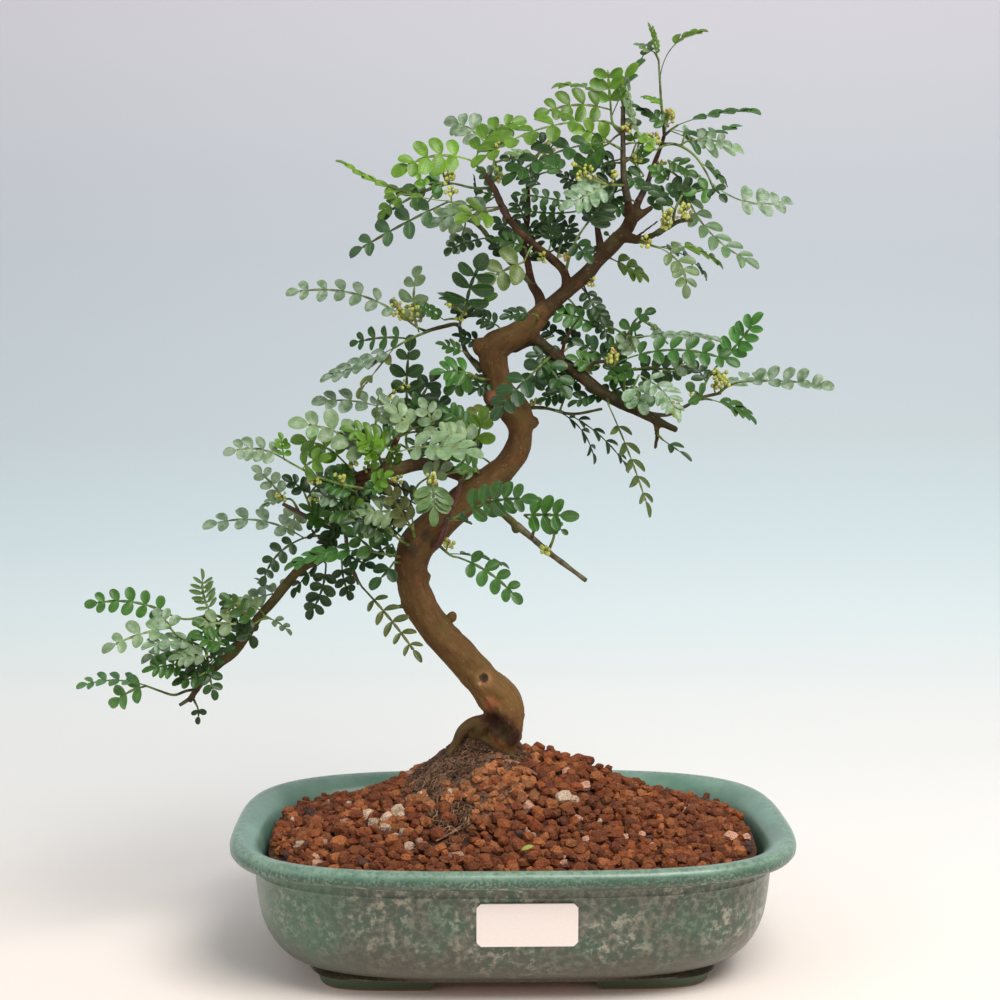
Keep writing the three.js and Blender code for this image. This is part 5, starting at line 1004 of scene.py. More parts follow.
def leaf_blade():
    """A glossy leaflet with a fine midrib and a painted highlight along its margin, and painted reflection
    in pale streaks on bluish tints; its tint comes with the leaf.
    """
    finish, place, tint = begun("leaf")
    chart = finish.node("UVMap", {"uv_map": "chart"})
    u, v, _ = finish.parts(chart)
    across = (u - 0.5).math("ABSOLUTE")
    midrib = 1 - across.over(0.008, 0.040)
    slant = (v * 7 - across * 5).math("FRACT")
    vein = (1 - (slant - 0.5).math("ABSOLUTE").over(0.0, 0.14)) * across.over(0.02, 0.08)
    vein = vein * (1 - across.over(0.30, 0.42))
    mottle = finish.noise(place, 300, 2, 0.5)
    sheen = finish.noise(place, 900, 3, 0.6)
    pale = finish.mix(0.35, tint, (196, 216, 124))
    deep = finish.mix(1.0, tint, (206, 218, 202), "MULTIPLY")
    colour = finish.mix(mottle.over(0.32, 0.68), deep, tint)
    # Bluish tints get a painted reflection: pale streaks of sheen, darker green between them and darker
    # veins through it.
    _, green, blue = finish.parts(tint)
    reflection_share = (blue / green).over(0.40, 0.50)
    reflection_streaks = finish.noise(place, 260, 3, 0.6).over(0.34, 0.66) * (1 - across.over(0.36, 0.46))
    colour = finish.mix(reflection_share * reflection_streaks * 0.55, colour, (182, 196, 180))
    colour = finish.mix(reflection_share * (1 - reflection_streaks) * 0.35, colour, (80, 108, 62))
    colour = finish.mix(reflection_share * vein * 0.4, colour, (84, 114, 70))
    colour = finish.mix(midrib * 0.30, colour, pale)
    colour = finish.mix(vein * 0.09, colour, pale)
    # A painted highlight along the margin of the leaflet.
    colour = finish.mix(across.over(0.38, 0.50) * 0.25, colour, pale)
    height = sheen * 0.3 - midrib * 0.8 - vein * 0.5
    return finish.done(
        Base_Color=colour, Roughness=0.26 + sheen * 0.2, Specular_IOR_Level=0.45,
        Coat_Weight=0.06, Coat_Roughness=0.12, Normal=finish.bump(height, 0.0003, 0.7),
    )


def green_wood(name="green_stem"):
    """A thin stem or leaf stalk in its own tint."""
    finish, place, tint = begun(name)
    speck = finish.noise(place, 1600, 3, 0.6)
    blotch = finish.noise(place, 260, 3, 0.6)
    dark = finish.mix(1.0, tint, (158, 142, 122), "MULTIPLY")
    light = finish.mix(0.25, tint, (204, 196, 150))
    colour = finish.mix(blotch.over(0.36, 0.62), dark, tint)
    colour = finish.mix(speck.over(0.56, 0.74) * 0.6, colour, light)
    return finish.done(
        Base_Color=colour, Roughness=0.52 + speck * 0.14, Normal=finish.bump(speck, 0.0004, 0.5)
    )


def bud_skin():
    """Small waxy flower buds."""
    finish, place, tint = begun("flower_bud")
    speck = finish.noise(place, 1400, 2, 0.5)
    colour = finish.mix(speck.over(0.4, 0.7) * 0.5, tint, (222, 220, 132))
    return finish.done(
        Base_Color=colour, Roughness=0.42 + speck * 0.1, Normal=finish.bump(speck, 0.0003, 0.4)
    )


def fired_grain():
    """Crumbly soil grains, each in its own tint."""
    finish, place, tint = begun("soil_granule")
    pore = finish.noise(place, 1500, 3, 0.6)
    lump = finish.noise(place, 420, 3, 0.6)
    dark = finish.mix(1.0, tint, (176, 156, 140), "MULTIPLY")
    light = finish.mix(0.30, tint, (214, 142, 92))
    colour = finish.mix(pore.over(0.34, 0.58), dark, tint)
    colour = finish.mix(lump.over(0.52, 0.72) * 0.6, colour, light)
    return finish.done(
        Base_Color=colour, Roughness=0.86 + pore * 0.1,
        Normal=finish.bump(pore * 0.5 + lump * 0.6, 0.0008, 0.7),
    )


def root_earth():
    """Brown crumbly earth held by roots, with painted shade in the hollows of its relief and straw-coloured
    crumbs.
    """
    finish, place, tint = begun("root_earth")
    crumb = finish.noise(place, 620, 4, 0.68)
    clod = finish.cells(place, 330)
    straw = finish.noise(finish.stretched(place, (1, 1, 2.4)), 260, 4, 0.7, 1.2)
    dark = finish.mix(1.0, tint, (122, 98, 80), "MULTIPLY")
    light = finish.mix(0.4, tint, (196, 154, 116))
    # Darker where the relief is low: painted shade in its hollows.
    colour = finish.mix(crumb.over(0.40, 0.56), dark, tint)
    colour = finish.mix(straw.over(0.58, 0.68) * 0.7, colour, light)
    return finish.done(
        Base_Color=colour, Roughness=0.9 + crumb * 0.08,
        Normal=finish.bump(crumb - clod * 0.5, 0.0022, 1.0),
    )


def plain_skin(name, waves, dark, light, rough, spread, relief, strength):
    """An even surface with faint specks: blank coated paper, or a net of matte plastic."""
    finish = Finish(name)
    speck = finish.noise(finish.place(), waves, 3, 0.6)
    return finish.done(
        Base_Color=finish.mix(speck, dark, light), Roughness=rough + speck * spread,
        Normal=finish.bump(speck, relief, strength),
    )


GLAZE = glazed_stoneware()
BARK = bark()
LEAF = leaf_blade()
STEM = green_wood()
BUD = bud_skin()
GRAIN = fired_grain()
EARTH = root_earth()


# ---------------- the pot

OVAL_POWER = 3.4
RIM_POINTS = 176
POT_PROFILE = [
    (86, 55, 5), (86, 55, 0.6), (86.6, 55.6, 0), (94.3, 63.3, 0), (95, 64, 0.7), (95.4, 64.4, 2.5),
    (96.3, 65.3, 4.6), (98, 66.8, 5.4), (101.7, 70.4, 6.2), (103.3, 71.9, 7.2), (103.5, 72, 8.8),
    (104.5, 72.8, 9.6), (108.6, 76.8, 10.2), (111.6, 79.4, 11.4), (115.2, 82.6, 13.9), (118.3, 85.4, 17.2),
    (120.8, 87.7, 21), (122.9, 89.5, 25.2), (124.6, 90.9, 30), (125.9, 91.8, 36.5), (126.8, 92.3, 43.5),
    (127.4, 92.6, 50), (127.7, 92.8, 53), (128.3, 93.3, 54), (128, 93, 55.2), (128.2, 93.1, 57),
    (129, 93.7, 58.3), (131.4, 95.2, 58.9), (135.4, 98, 59.3), (138.1, 100.2, 60.4), (139.4, 101.3, 62.2),
    (139.5, 101.4, 64.2), (138.8, 100.7, 66.3), (137.2, 99.2, 67.7), (135, 97, 68), (132.4, 94.4, 67.4),
    (129.6, 91.7, 66), (127, 89.1, 63.9), (125.1, 87.2, 61.4), (124, 86, 58), (122.6, 85.2, 52),
    (120, 84, 42), (117.2, 82.5, 31), (114.4, 81, 20), (112.4, 79.5, 14.8), (109.4, 76, 12),
]
FOOT_GAP_LONG = 38
FOOT_GAP_SHORT = 22
FOOT_SLANT = 4
FOOT_TOP = 8.5
FOOT_POWER = 8
DRAIN_X = 45
DRAIN_RADIUS = 9
POT_WOBBLE = 0.22


def oval_outline(count):
    """Points evenly spaced round the oval of half size one."""
    angle = np.linspace(0, 2 * math.pi, 20001)
    power = 2 / OVAL_POWER
    x = np.sign(np.cos(angle)) * np.abs(np.cos(angle)) ** power
    y = np.sign(np.sin(angle)) * np.abs(np.sin(angle)) ** power
    run = np.concatenate([[0], np.cumsum(np.hypot(np.diff(x) * 1.37, np.diff(y)))])
    even = np.linspace(0, run[-1], count + 1)[:-1]
    return np.stack([np.interp(even, run, x), np.interp(even, run, y)], axis=1)


def cut_away(item, cutter):
    """Cuts the cutter's shape out of the item."""
    alone(item)
    modifier = item.modifiers.new("cut", "BOOLEAN")
    modifier.operation = "DIFFERENCE"
    modifier.solver = "EXACT"
    modifier.object = cutter
    bpy.ops.object.modifier_apply(modifier=modifier.name)
    bpy.data.objects.remove(cutter)


def gap_cutter(half_length, half_depth, x_slant, y_slant):
    """A wedge across the foot ring, narrower at the top."""
    alone()
    bpy.ops.mesh.primitive_cube_add(size=2, location=(POT_X * MM, 0, 0))
    cutter = bpy.context.object
    top, low = 5.0, -2.0
    for vertex in cutter.data.vertices:
        lower = vertex.co.z < 0
        slant_x = half_length + (x_slant if lower else 0)
        slant_y = half_depth + (y_slant if lower else 0)
        vertex.co = Vector((
            math.copysign(slant_x * MM, vertex.co.x),
            math.copysign(slant_y * MM, vertex.co.y),
            (low if lower else top) * MM,
        ))
    return cutter


def square_feet(points):
    """The corners of the foot ring drawn out, so that the feet end in corners of their own."""
    for number, (length, depth, height) in enumerate(POT_PROFILE):
        if height < FOOT_TOP:
            ring = points[number * RIM_POINTS:(number + 1) * RIM_POINTS]
            part = (np.abs(ring[:, 0]) / length) ** FOOT_POWER + (np.abs(ring[:, 1]) / depth) ** FOOT_POWER
            share = min(1, (FOOT_TOP - height) / 4)
            ring[:, :2] *= (1 + (part ** (-1 / FOOT_POWER) - 1) * share)[:, None]


def shape_pot():
    """The pot: an oval ring drawn up into foot, wall, rolled lip and lining."""
    alone()
    bpy.ops.mesh.primitive_circle_add(vertices=RIM_POINTS, radius=1, location=(0, 0, 0))
    pot = bpy.context.object
    pot.name = "oval_pot"
    first = POT_PROFILE[0]
    for vertex, (x, y) in zip(pot.data.vertices, oval_outline(RIM_POINTS)):
        vertex.co = Vector((x * first[0], y * first[1], first[2]))
    bpy.ops.object.mode_set(mode="EDIT")
    bpy.ops.mesh.select_all(action="SELECT")
    bpy.ops.mesh.edge_face_add()
    bpy.ops.mesh.select_mode(type="EDGE")
    bpy.ops.mesh.select_all(action="SELECT")
    for before, ring in zip(POT_PROFILE, POT_PROFILE[1:]):
        bpy.ops.mesh.extrude_edges_move(
            TRANSFORM_OT_translate={"value": (0, 0, ring[2] - before[2])}
        )
        bpy.ops.transform.resize(
            value=(ring[0] / before[0], ring[1] / before[1], 1), center_override=(0, 0, 0)
        )
    bpy.ops.mesh.edge_face_add()
    bpy.ops.mesh.select_all(action="SELECT")
    bpy.ops.mesh.normals_make_consistent(inside=False)
    bpy.ops.object.mode_set(mode="OBJECT")
    points = coordinates(pot)
    square_feet(points)
    wave = np.stack([grit(points, 38, seed) for seed in (3, 5)], axis=1)
    high = np.clip((points[:, 2] - 14) / 30, 0, 1)[:, None]
    points[:, :2] += wave * high * POT_WOBBLE
    points = (points + [POT_X, 0, 0]) * MM
    pot.data.vertices.foreach_set("co", points.ravel())
    pot.data.update()
    cut_away(pot, gap_cutter(FOOT_GAP_LONG, 120, FOOT_SLANT, 0))
    cut_away(pot, gap_cutter(160, FOOT_GAP_SHORT, 0, FOOT_SLANT))
    for side in (-1, 1):
        alone()
        centre = ((POT_X + side * DRAIN_X) * MM, 0, 8 * MM)
        bpy.ops.mesh.primitive_cylinder_add(
            vertices=48, radius=DRAIN_RADIUS * MM, depth=24 * MM, location=centre
        )
        cut_away(pot, bpy.context.object)
    alone(pot)
    bpy.ops.object.shade_smooth_by_angle(angle=POT_EDGE)
    pot.data.materials.append(GLAZE)
    settle(pot, ["pot"])
    return pot


# ---------------- the wood

TRUNK_STEP = 1.6
BARK_VOXEL = 0.75
THICK_SIDES = 18
BROWN_FROM = 104
BROWN_RISE = 78

TRUNK_TAN = (134, 99, 56)
OLD_WOOD = (70, 52, 25)
TRUNK_BROWN = (92, 66, 33)
OLIVE_WOOD = (80, 74, 36)
RED_WOOD = (62, 38, 20)
TIP_WOOD = (84, 82, 42)
DARK_SCAR = (52, 36, 28)
# Painted shade: the near-black of the shaded hollows at the trunk's foot.
SHADED_HOLLOW = (52, 26, 15)
RED_LIMBS = (
    "top_mast", "top_right", "dry_twig", "fork_left", "front_rise", "red_twig", "red_spur", "far_rise",
)
LIMB_TINTS = {
    **dict.fromkeys(RED_LIMBS, RED_WOOD),
    "low_left": OLIVE_WOOD, "low_left_stub": OLIVE_WOOD, "right_low": TIP_WOOD,
    "lower_right": (46, 39, 16), "rising_right": (64, 48, 24), "front_root": (98, 78, 42),
    "left_root": (102, 80, 48), "back_root": (90, 68, 42), "side_stub": OLIVE_WOOD,
}
# Marks on the bark: place, reach, colour and strength; the darkest ones at the trunk's foot are painted
# shade in its hollows.
SCARS = [
    ((242, 339, -13), 4.4, (176, 134, 92), 0.6), ((242, 339, -14), 2.7, DARK_SCAR, 0.95),
    ((242.3, 339, -15), 1.1, (128, 84, 70), 0.7), ((239.9, 341.8, -13), 1.1, (206, 150, 128), 0.9),
    ((246, 352, -12), 4.5, (166, 96, 66), 0.55), ((206, 274, -14), 4.5, DARK_SCAR, 0.8),
    ((213, 268, -14), 3.5, DARK_SCAR, 0.7), ((247, 199, -6), 6, (150, 92, 76), 0.6),
    ((252.5, 213, -2), 2.6, DARK_SCAR, 0.7), ((246.5, 361.5, -10), 7.5, SHADED_HOLLOW, 1.0),
    ((251.5, 365, -9), 6.8, SHADED_HOLLOW, 1.0), ((256.5, 368.5, -6), 5, SHADED_HOLLOW, 0.95),
    ((240.5, 366, -12), 3, (92, 58, 44), 0.6), ((226, 308.5, -14), 2, DARK_SCAR, 0.5),
    ((238, 173, -8), 3, DARK_SCAR, 0.45), ((214, 289, -14), 2.5, (70, 50, 34), 0.5),
    ((197, 235, -18), 9, (118, 104, 72), 0.7), ((188, 236, -19), 6, (118, 104, 72), 0.7),
    ((178.5, 238, -20), 5, (72, 34, 28), 0.9), ((199.2, 218, -21), 2, (176, 134, 104), 0.9),
    ((220, 300, -16), 9, (132, 92, 58), 0.35), ((236, 334, -15), 8, (104, 88, 44), 0.35),
]
HOLLOWS = [((247, 362.5, -11), 7, 4.6), ((252.5, 366.5, -8), 6.4, 4.0), ((242, 339, -13.4), 1.6, 1.0)]
CUT_STUB = [(192.5, 234.5, -17, 1.9), (195.5, 226, -19, 1.5), (199, 218.5, -21, 1.5)]


def wood_rows():
    """Every thick limb as its smooth line and tint."""
    lines = [(wood_line(TRUNK, TRUNK_STEP), TRUNK_TAN)]
    for name, rows in LIMBS.items():
        tint = LIMB_TINTS.get(name, OLD_WOOD)
        lines.append((wood_line(rows, TRUNK_STEP), tint))
    lines.append((wood_line(CUT_STUB, TRUNK_STEP), (104, 62, 44)))
    return lines


def lump(centre, radius):
    """A rounded knot as a short tube."""
    heights = np.array([-0.94, -0.7, -0.35, 0, 0.35, 0.7, 0.94])
    line = centre + np.outer(heights * radius, [0.2, 0.1, 1])
    return tube(line, radius * np.sqrt(1 - heights**2), 10)


def shape_trunk():
    """Trunk, limbs and surface roots grown together, with bark fibres along the wood."""
    pile = Pile()
    lines = wood_rows()
    for line, tint in lines:
        points, faces, chart = tube(line[:, :3], line[:, 3], THICK_SIDES)
        pile.add(points, faces, tint, chart)
    for row in KNOTS:
        points, faces, chart = lump(placed(*row[:3]), row[3])
        pile.add(points, faces, OLD_WOOD, chart)
    trunk = pile.piece("trunk_wood", [], ["trunk"], "bark")
    alone(trunk)
    remesh = trunk.modifiers.new("grown together", "REMESH")
    remesh.mode = "VOXEL"
    remesh.voxel_size = BARK_VOXEL * MM
    bpy.ops.object.modifier_apply(modifier=remesh.name)
    smooth = trunk.modifiers.new("softened", "SMOOTH")
    smooth.factor = 0.6
    smooth.iterations = 6
    bpy.ops.object.modifier_apply(modifier=smooth.name)
    points = coordinates(trunk) / MM - [POT_X, 0, 0]
    grain, tint, radius = wood_map(points, lines)
    normals = np.zeros(len(points) * 3)
    trunk.data.vertices.foreach_get("normal", normals)
    normals = normals.reshape(-1, 3)
    stretched = grain * [1, 1, 0.45]
    swell = grit(grain * [1, 1, 0.6], 6.0, 11) * 0.10 + grit(stretched, 2.4, 12) * 0.05
    fine = grit(stretched, 1.1, 13) * 0.12
    points = points + normals * (radius * swell + np.minimum(radius, 4) / 4 * fine)[:, None]
    for place, reach, depth in HOLLOWS:
        near = np.clip(1 - np.linalg.norm(points - placed(*place), axis=1) / reach, 0, 1)
        points = points - normals * (depth * near * near * (3 - 2 * near))[:, None]
    trunk.data.vertices.foreach_set("co", ((points + [POT_X, 0, 0]) * MM).ravel())
    # Marks painted into the tint; those at the trunk's foot are painted shade in its hollows.
    for place, reach, colour, strength in SCARS:
        away = np.linalg.norm(points - placed(*place), axis=1) / reach
        edge = 3.0 if reach < 3 else 1.4
        part = np.clip((1.0 - away) * edge + 0.35 + grit(points, 1.6, 21) * 0.2, 0, 1)[:, None] * strength
        tint = tint * (1 - part) + np.array(colour) * part
    mesh = trunk.data
    for old in [a.name for a in mesh.attributes if a.name == "tint"]:
        mesh.attributes.remove(mesh.attributes[old])
    paint(mesh, tint)
    layer = mesh.attributes.new("grain", "FLOAT_VECTOR", "POINT")
    layer.data.foreach_set("vector", (grain * MM).ravel())
    mesh.polygons.foreach_set("use_smooth", [True] * len(mesh.polygons))
    mesh.materials.append(BARK)
    mesh.update()
    return trunk


def wood_map(points, lines):
    """For each point of the bark: its place round and along the nearest limb, tint and radius."""
    starts, ends, runs, tints, radii = [], [], [], [], []
    for number, (line, tint) in enumerate(lines):
        step = np.linalg.norm(np.diff(line[:, :3], axis=0), axis=1)
        run = np.concatenate([[0], np.cumsum(step)]) + number * 170.0
        thin = np.interp(np.arange(len(line)), [0, len(line)], [0, 1])
        starts.extend(line[:-1, :3])
        ends.extend(line[1:, :3])
        runs.extend(run[:-1])
        radii.extend(line[:-1, 3])
        tints += [wood_tint(np.array(tint, float), row, number, part) for row, part in zip(line[:-1], thin)]
    starts, ends = np.array(starts), np.array(ends)
    span = ends - starts
    length = np.maximum(np.linalg.norm(span, axis=1), 1e-6)
    radii, runs, tints = np.array(radii), np.array(runs), np.array(tints)
    best = np.full(len(points), np.inf)
    pick = np.zeros(len(points), int)
    share = np.zeros(len(points))
    for i in range(len(starts)):
        off = points - starts[i]
        t = np.clip(off @ span[i] / length[i] ** 2, 0, 1)
        gap = np.linalg.norm(off - t[:, None] * span[i], axis=1) - radii[i]
        closer = gap < best
        best[closer] = gap[closer]
        pick[closer] = i
        share[closer] = t[closer]
    foot = starts[pick] + span[pick] * share[:, None]
    along = span[pick] / length[pick][:, None]
    off = points - foot
    side = unit(np.cross(along, [0.35, 1, 0.2]))
    over = np.cross(along, side)
    grain = np.stack(
        [(off * side).sum(1), (off * over).sum(1), runs[pick] + share * length[pick]], axis=1
    )
    return grain, tints[pick], radii[pick]


def wood_tint(tint, row, number, part):
    """The tint of one stretch of wood: the trunk darkens upwards, limbs towards their ends."""
    if number == 0:
        high = np.clip((row[2] - BROWN_FROM) / BROWN_RISE, 0, 1)
        return tint * (1 - high) + np.array(TRUNK_BROWN) * high
    return tint * (1 - part * 0.12)


# ---------------- the leaves

BLADE_ALONG = (0.06, 0.22, 0.43, 0.65, 0.84, 0.955)
BLADE_WIDTH = (0.20, 0.66, 0.96, 0.98, 0.75, 0.40)
BLADE_THICKNESS = 0.024
LEAFLET_LEAN = 68


def shape_blade():
    """One leaflet, unit long and two wide, from a ball pressed flat: points, faces and chart."""
    alone()
    bpy.ops.mesh.primitive_uv_sphere_add(segments=8, ring_count=7, radius=1)
    ball = bpy.context.object
    points, chart = [], []
    for vertex in ball.data.vertices:
        x, y, z = vertex.co
        polar = math.acos(max(-1, min(1, -z))) / math.pi * 7
        ring = round(polar)
        if ring in (0, 7):
            along, width, across, top = (0.0, 0, 0, 0) if ring == 0 else (0.975, 0, 0, 0)
        else:
            along, width = BLADE_ALONG[ring - 1], BLADE_WIDTH[ring - 1]
            turn = math.degrees(math.atan2(y, x)) % 360
            across = {0: 1, 45: 0.56, 90: 0, 135: -0.56, 180: -1, 225: -0.56, 270: 0, 315: 0.56}[
                round(turn / 45) * 45 % 360
            ]
            top = 0 if abs(across) == 1 else (1 if turn < 180 else -1)
        rise = top * BLADE_THICKNESS * (1 - 0.35 * abs(across))
        cup = 0.12 * across**2 * width - 0.16 * along**2
        notch = 0.02 * (1 - abs(across)) if ring == 6 else 0
        points.append((across * width, along - notch, rise + cup))
        chart.append((0.5 + across * width * 0.5, along))
    faces = [tuple(polygon.vertices) for polygon in ball.data.polygons]
    bpy.data.objects.remove(ball)
    return np.array(points), faces, np.array(chart)


BLADE_POINTS, BLADE_FACES, BLADE_CHART = shape_blade()
leaf_draw = random.Random(4107)


def blade_faces_outward():
    """The blade's faces, turned so that they look outwards."""
    volume = 0
    for face in BLADE_FACES:
        for i in range(1, len(face) - 1):
            a, b, c = (BLADE_POINTS[k] for k in (face[0], face[i], face[i + 1]))
            volume += np.dot(a, np.cross(b, c))
    return BLADE_FACES if volume > 0 else [face[::-1] for face in BLADE_FACES]


BLADE_FACES = blade_faces_outward()


def bezier(base, control, tip, part):
    """A point of the rib."""
    return base * (1 - part) ** 2 + control * 2 * part * (1 - part) + tip * part**2


def varied(tone, spread=0.12):
    """A leaf colour near its tone."""
    light = 1 + leaf_draw.uniform(-spread, spread)
    warm = leaf_draw.uniform(-0.06, 0.06)
    scale = np.array([light * (1 + warm), light, light * (1 - warm)])
    return np.clip(np.array(tone) * scale, 4, 250)


def grow_leaf(pile, base, tip, pairs, length, turn, bow, tone, start=0.22, end=1.0, narrow=1.0, fold=10):
    """One feathered leaf from its base to its tip, with its pairs of leaflets."""
    middle = (base + tip) / 2
    away = unit(middle - EYE)
    lift = unit(np.cross(away, tip - base))
    lift = lift if lift[2] >= 0 else -lift
    control = middle + lift * 2 * bow
    samples = np.array([bezier(base, control, tip, t) for t in np.linspace(0, 1, 13)])
    rib_length = np.linalg.norm(np.diff(samples, axis=0), axis=1).sum()
    size = min(length, rib_length * (0.5 if pairs else 0.85))
    rib_end = 1 - size * 0.9 / rib_length
    first = rib_end * (start if pairs > 1 else 0.4)
    step = (rib_end - first) / max(pairs - 0.55, 1)
    half_width = min(size * 0.34, max(step * rib_length * 0.56, size * 0.24)) * narrow
    closed = 0.38 + 0.62 * min(turn / 60, 1)
    turn = math.radians(turn)

    def rib_frame(part):
        along = unit(2 * (1 - part) * (control - base) + 2 * part * (tip - control))
        level = unit(np.cross(away, along))
        level = level if level[2] >= 0 else -level
        back = unit(away - along * (away @ along))
        side = unit(level * math.sin(turn) + back * math.cos(turn))
        return along, side, np.cross(along, side)

    _, _, middle_normal = rib_frame(0.5)
    facing = 1 if middle_normal[2] - middle_normal @ away > 0 else -1
    colour = varied(tone)
    stalk_colour = colour * 0.82 + np.array([30, 26, 6])
    rib = np.array([bezier(base, control, tip, t) for t in np.linspace(0, rib_end, 4 + 4 * pairs)])
    parts = np.linspace(0, rib_end, len(rib))
    wing = np.ones(len(rib)) * 0.62
    inside = parts >= first
    wave = np.abs(np.sin((parts - first) / step * math.pi))
    wing[inside] = 0.5 + 0.45 * wave[inside]
    _, side, _ = rib_frame(0.5)
    pile.stick(rib, wing * (0.5 + size / 26), 6, stalk_colour, 1, side, 0.42)
    for number in range(pairs):
        part = first + step * number
        along, side, normal = rib_frame(part)
        joint = bezier(base, control, tip, part)
        grown = 0.80 + 0.24 * math.sin(math.pi * min(1, (number + 0.8) / pairs))
        for hand in (-1, 1):
            raised = math.radians(fold + leaf_draw.gauss(0, 6)) * facing
            lean = math.radians((LEAFLET_LEAN - 12 * (number + 1) / pairs) * closed + leaf_draw.gauss(0, 5))
            out = side * hand * math.cos(raised) + normal * math.sin(raised)
            way = out * math.sin(lean) + along * math.cos(lean)
            scale = grown * leaf_draw.uniform(0.92, 1.06)
            lay_blade(pile, joint, way, normal * facing, size * scale, half_width * scale, colour)
    along, side, normal = rib_frame(rib_end)
    joint = bezier(base, control, tip, rib_end)
    lay_blade(pile, joint, along, normal * facing, size * 0.94 * end, half_width * 0.94 * end, colour)


def lay_blade(pile, joint, way, upper, length, half_width, colour):
    """One leaflet from its joint along its way, its upper side towards upper."""
    way = unit(way)
    tip_roll = leaf_draw.gauss(0, 0.12)
    up = unit(upper - way * (upper @ way))
    wide = np.cross(way, up)
    up = unit(up + wide * tip_roll)
    wide = np.cross(way, up)
    curl = leaf_draw.uniform(0.6, 1.5)
    x, y, z = BLADE_POINTS.T
    points = (
        joint + np.outer(x * half_width, wide) + np.outer(y * length, way)
        + np.outer(z * length * np.where(z < -0.03, curl, 1), up)
    )
    light = 1 + leaf_draw.uniform(-0.07, 0.07)
    pile.add(points, BLADE_FACES, np.clip(colour * light, 0, 255), BLADE_CHART, 0)


def nearest_row(line, point):
    """The point of a line that looks nearest to a placed point."""
    off = seen(line[:, :3])[:, :2] - np.array(point[:2], float)
    return line[np.argmin((off**2).sum(1)), :3]


STEM_STEP = 1.4
TWIG_TINTS = [(74, 66, 34), (74, 48, 28), (84, 86, 42)]
OWN_TWIG_TINTS = {18: (92, 46, 34), 19: (96, 92, 56)}
GREEN_STEM = (110, 138, 62)


def grow_spray(number, twigs, shoots):
    """A spray: its thin twigs, its stems and their leaves."""
    pile = Pile()
    lines = []
    for order, rows in enumerate(twigs):
        line = wood_line(rows, STEM_STEP)
        bumps = grit(line[:, :3], 2.6, 40 + number) * 0.16 + 1
        twig_tint = OWN_TWIG_TINTS.get(number, TWIG_TINTS[(number + order) % 3])
        pile.stick(line[:, :3], line[:, 3] * bumps, 9, twig_tint, 2)
        lines.append(line)
    for tone, stem, leaves in shoots:
        rows = [placed(*row) for row in stem]
        if lines:
            joined = np.vstack([line[:, :3] for line in lines])
            rows[0] = joined[np.argmin(np.linalg.norm(joined - rows[0], axis=1))]
        line = smoothed(rows, STEM_STEP)
        part = np.concatenate([np.repeat(np.linspace(0, 1, len(line)), 8), [0, 1]])[:, None]
        part = np.clip(part * 2.5, 0, 1)
        tint = np.array(TWIG_TINTS[number % 3]) * (1 - part) + np.array(GREEN_STEM) * part
        pile.stick(line, np.linspace(0.85, 0.5, len(line)), 8, tint, 1)
        ends = [math.dist(leaf[:2], stem[-1][:2]) for leaf in leaves]
        main = ends.index(min(ends))
        for order, leaf in enumerate(leaves):
            base = line[-1] if order == main else nearest_row(line, leaf)
            tip = placed(*leaf[2:5])
            extra = leaf[9] if len(leaf) > 9 else {}
            grow_leaf(pile, base, tip, *leaf[5:9], **{"tone": tone, **extra})
    name = "leafy_spray_%02d" % number
    pile.piece(name + "_fine", [LEAF, STEM, BARK_TWIG], [name], "leaf")


BARK_TWIG = green_wood("twig_bark")


def bearing_lines():
    """Points of all the wood, twigs and stems that further leaves can grow from."""
    rows = [line[:, :3] for line, _ in wood_rows()]
    for twigs, shoots in SPRAYS:
        rows += [wood_line(twig, STEM_STEP)[:, :3] for twig in twigs]
        rows += [smoothed([placed(*row) for row in stem], STEM_STEP) for _, stem, _ in shoots]
    return np.vstack(rows)


def grow_more_leaves():
    """The leaves that fill the crown between the sprays, each on a stalk from the nearest wood."""
    bearing = bearing_lines()
    for region, leaves in MORE_LEAVES.items():
        pile = Pile()
        for tone, *row in leaves:
            base, end = placed(*row[:3]), placed(*row[3:6])
            root = bearing[np.argmin(np.linalg.norm(bearing - base, axis=1))]
            middle = (root + base) / 2 + UPRIGHT * 0.08 * np.linalg.norm(base - root)
            stalk = smoothed([root, middle, base], STEM_STEP)
            pile.stick(stalk, np.linspace(0.62, 0.45, len(stalk)), 6, GREEN_STEM, 1)
            grow_leaf(pile, base, end, *row[6:], tone)
        pile.piece("leaves_" + region, [LEAF, STEM], [], "leaf")


# ---------------- the buds


def shape_round():
    """A small round lump of two dozen faces from a cube."""
    alone()
    bpy.ops.mesh.primitive_cube_add(size=2)
    cube = bpy.context.object
    bpy.ops.object.mode_set(mode="EDIT")
    bpy.ops.mesh.select_all(action="SELECT")
    bpy.ops.mesh.subdivide(number_cuts=1, smoothness=0)
    bpy.ops.object.mode_set(mode="OBJECT")
    points = unit(coordinates(cube))
    faces = [tuple(polygon.vertices) for polygon in cube.data.polygons]
    bpy.data.objects.remove(cube)
    return points, faces


ROUND_POINTS, ROUND_FACES = shape_round()
bud_draw = random.Random(911)
BUD_TINT = (160, 168, 72)
DRY_BUD = (150, 112, 56)
BUNCH_STALK = (128, 142, 62)
BUD_STALK = (138, 150, 66)


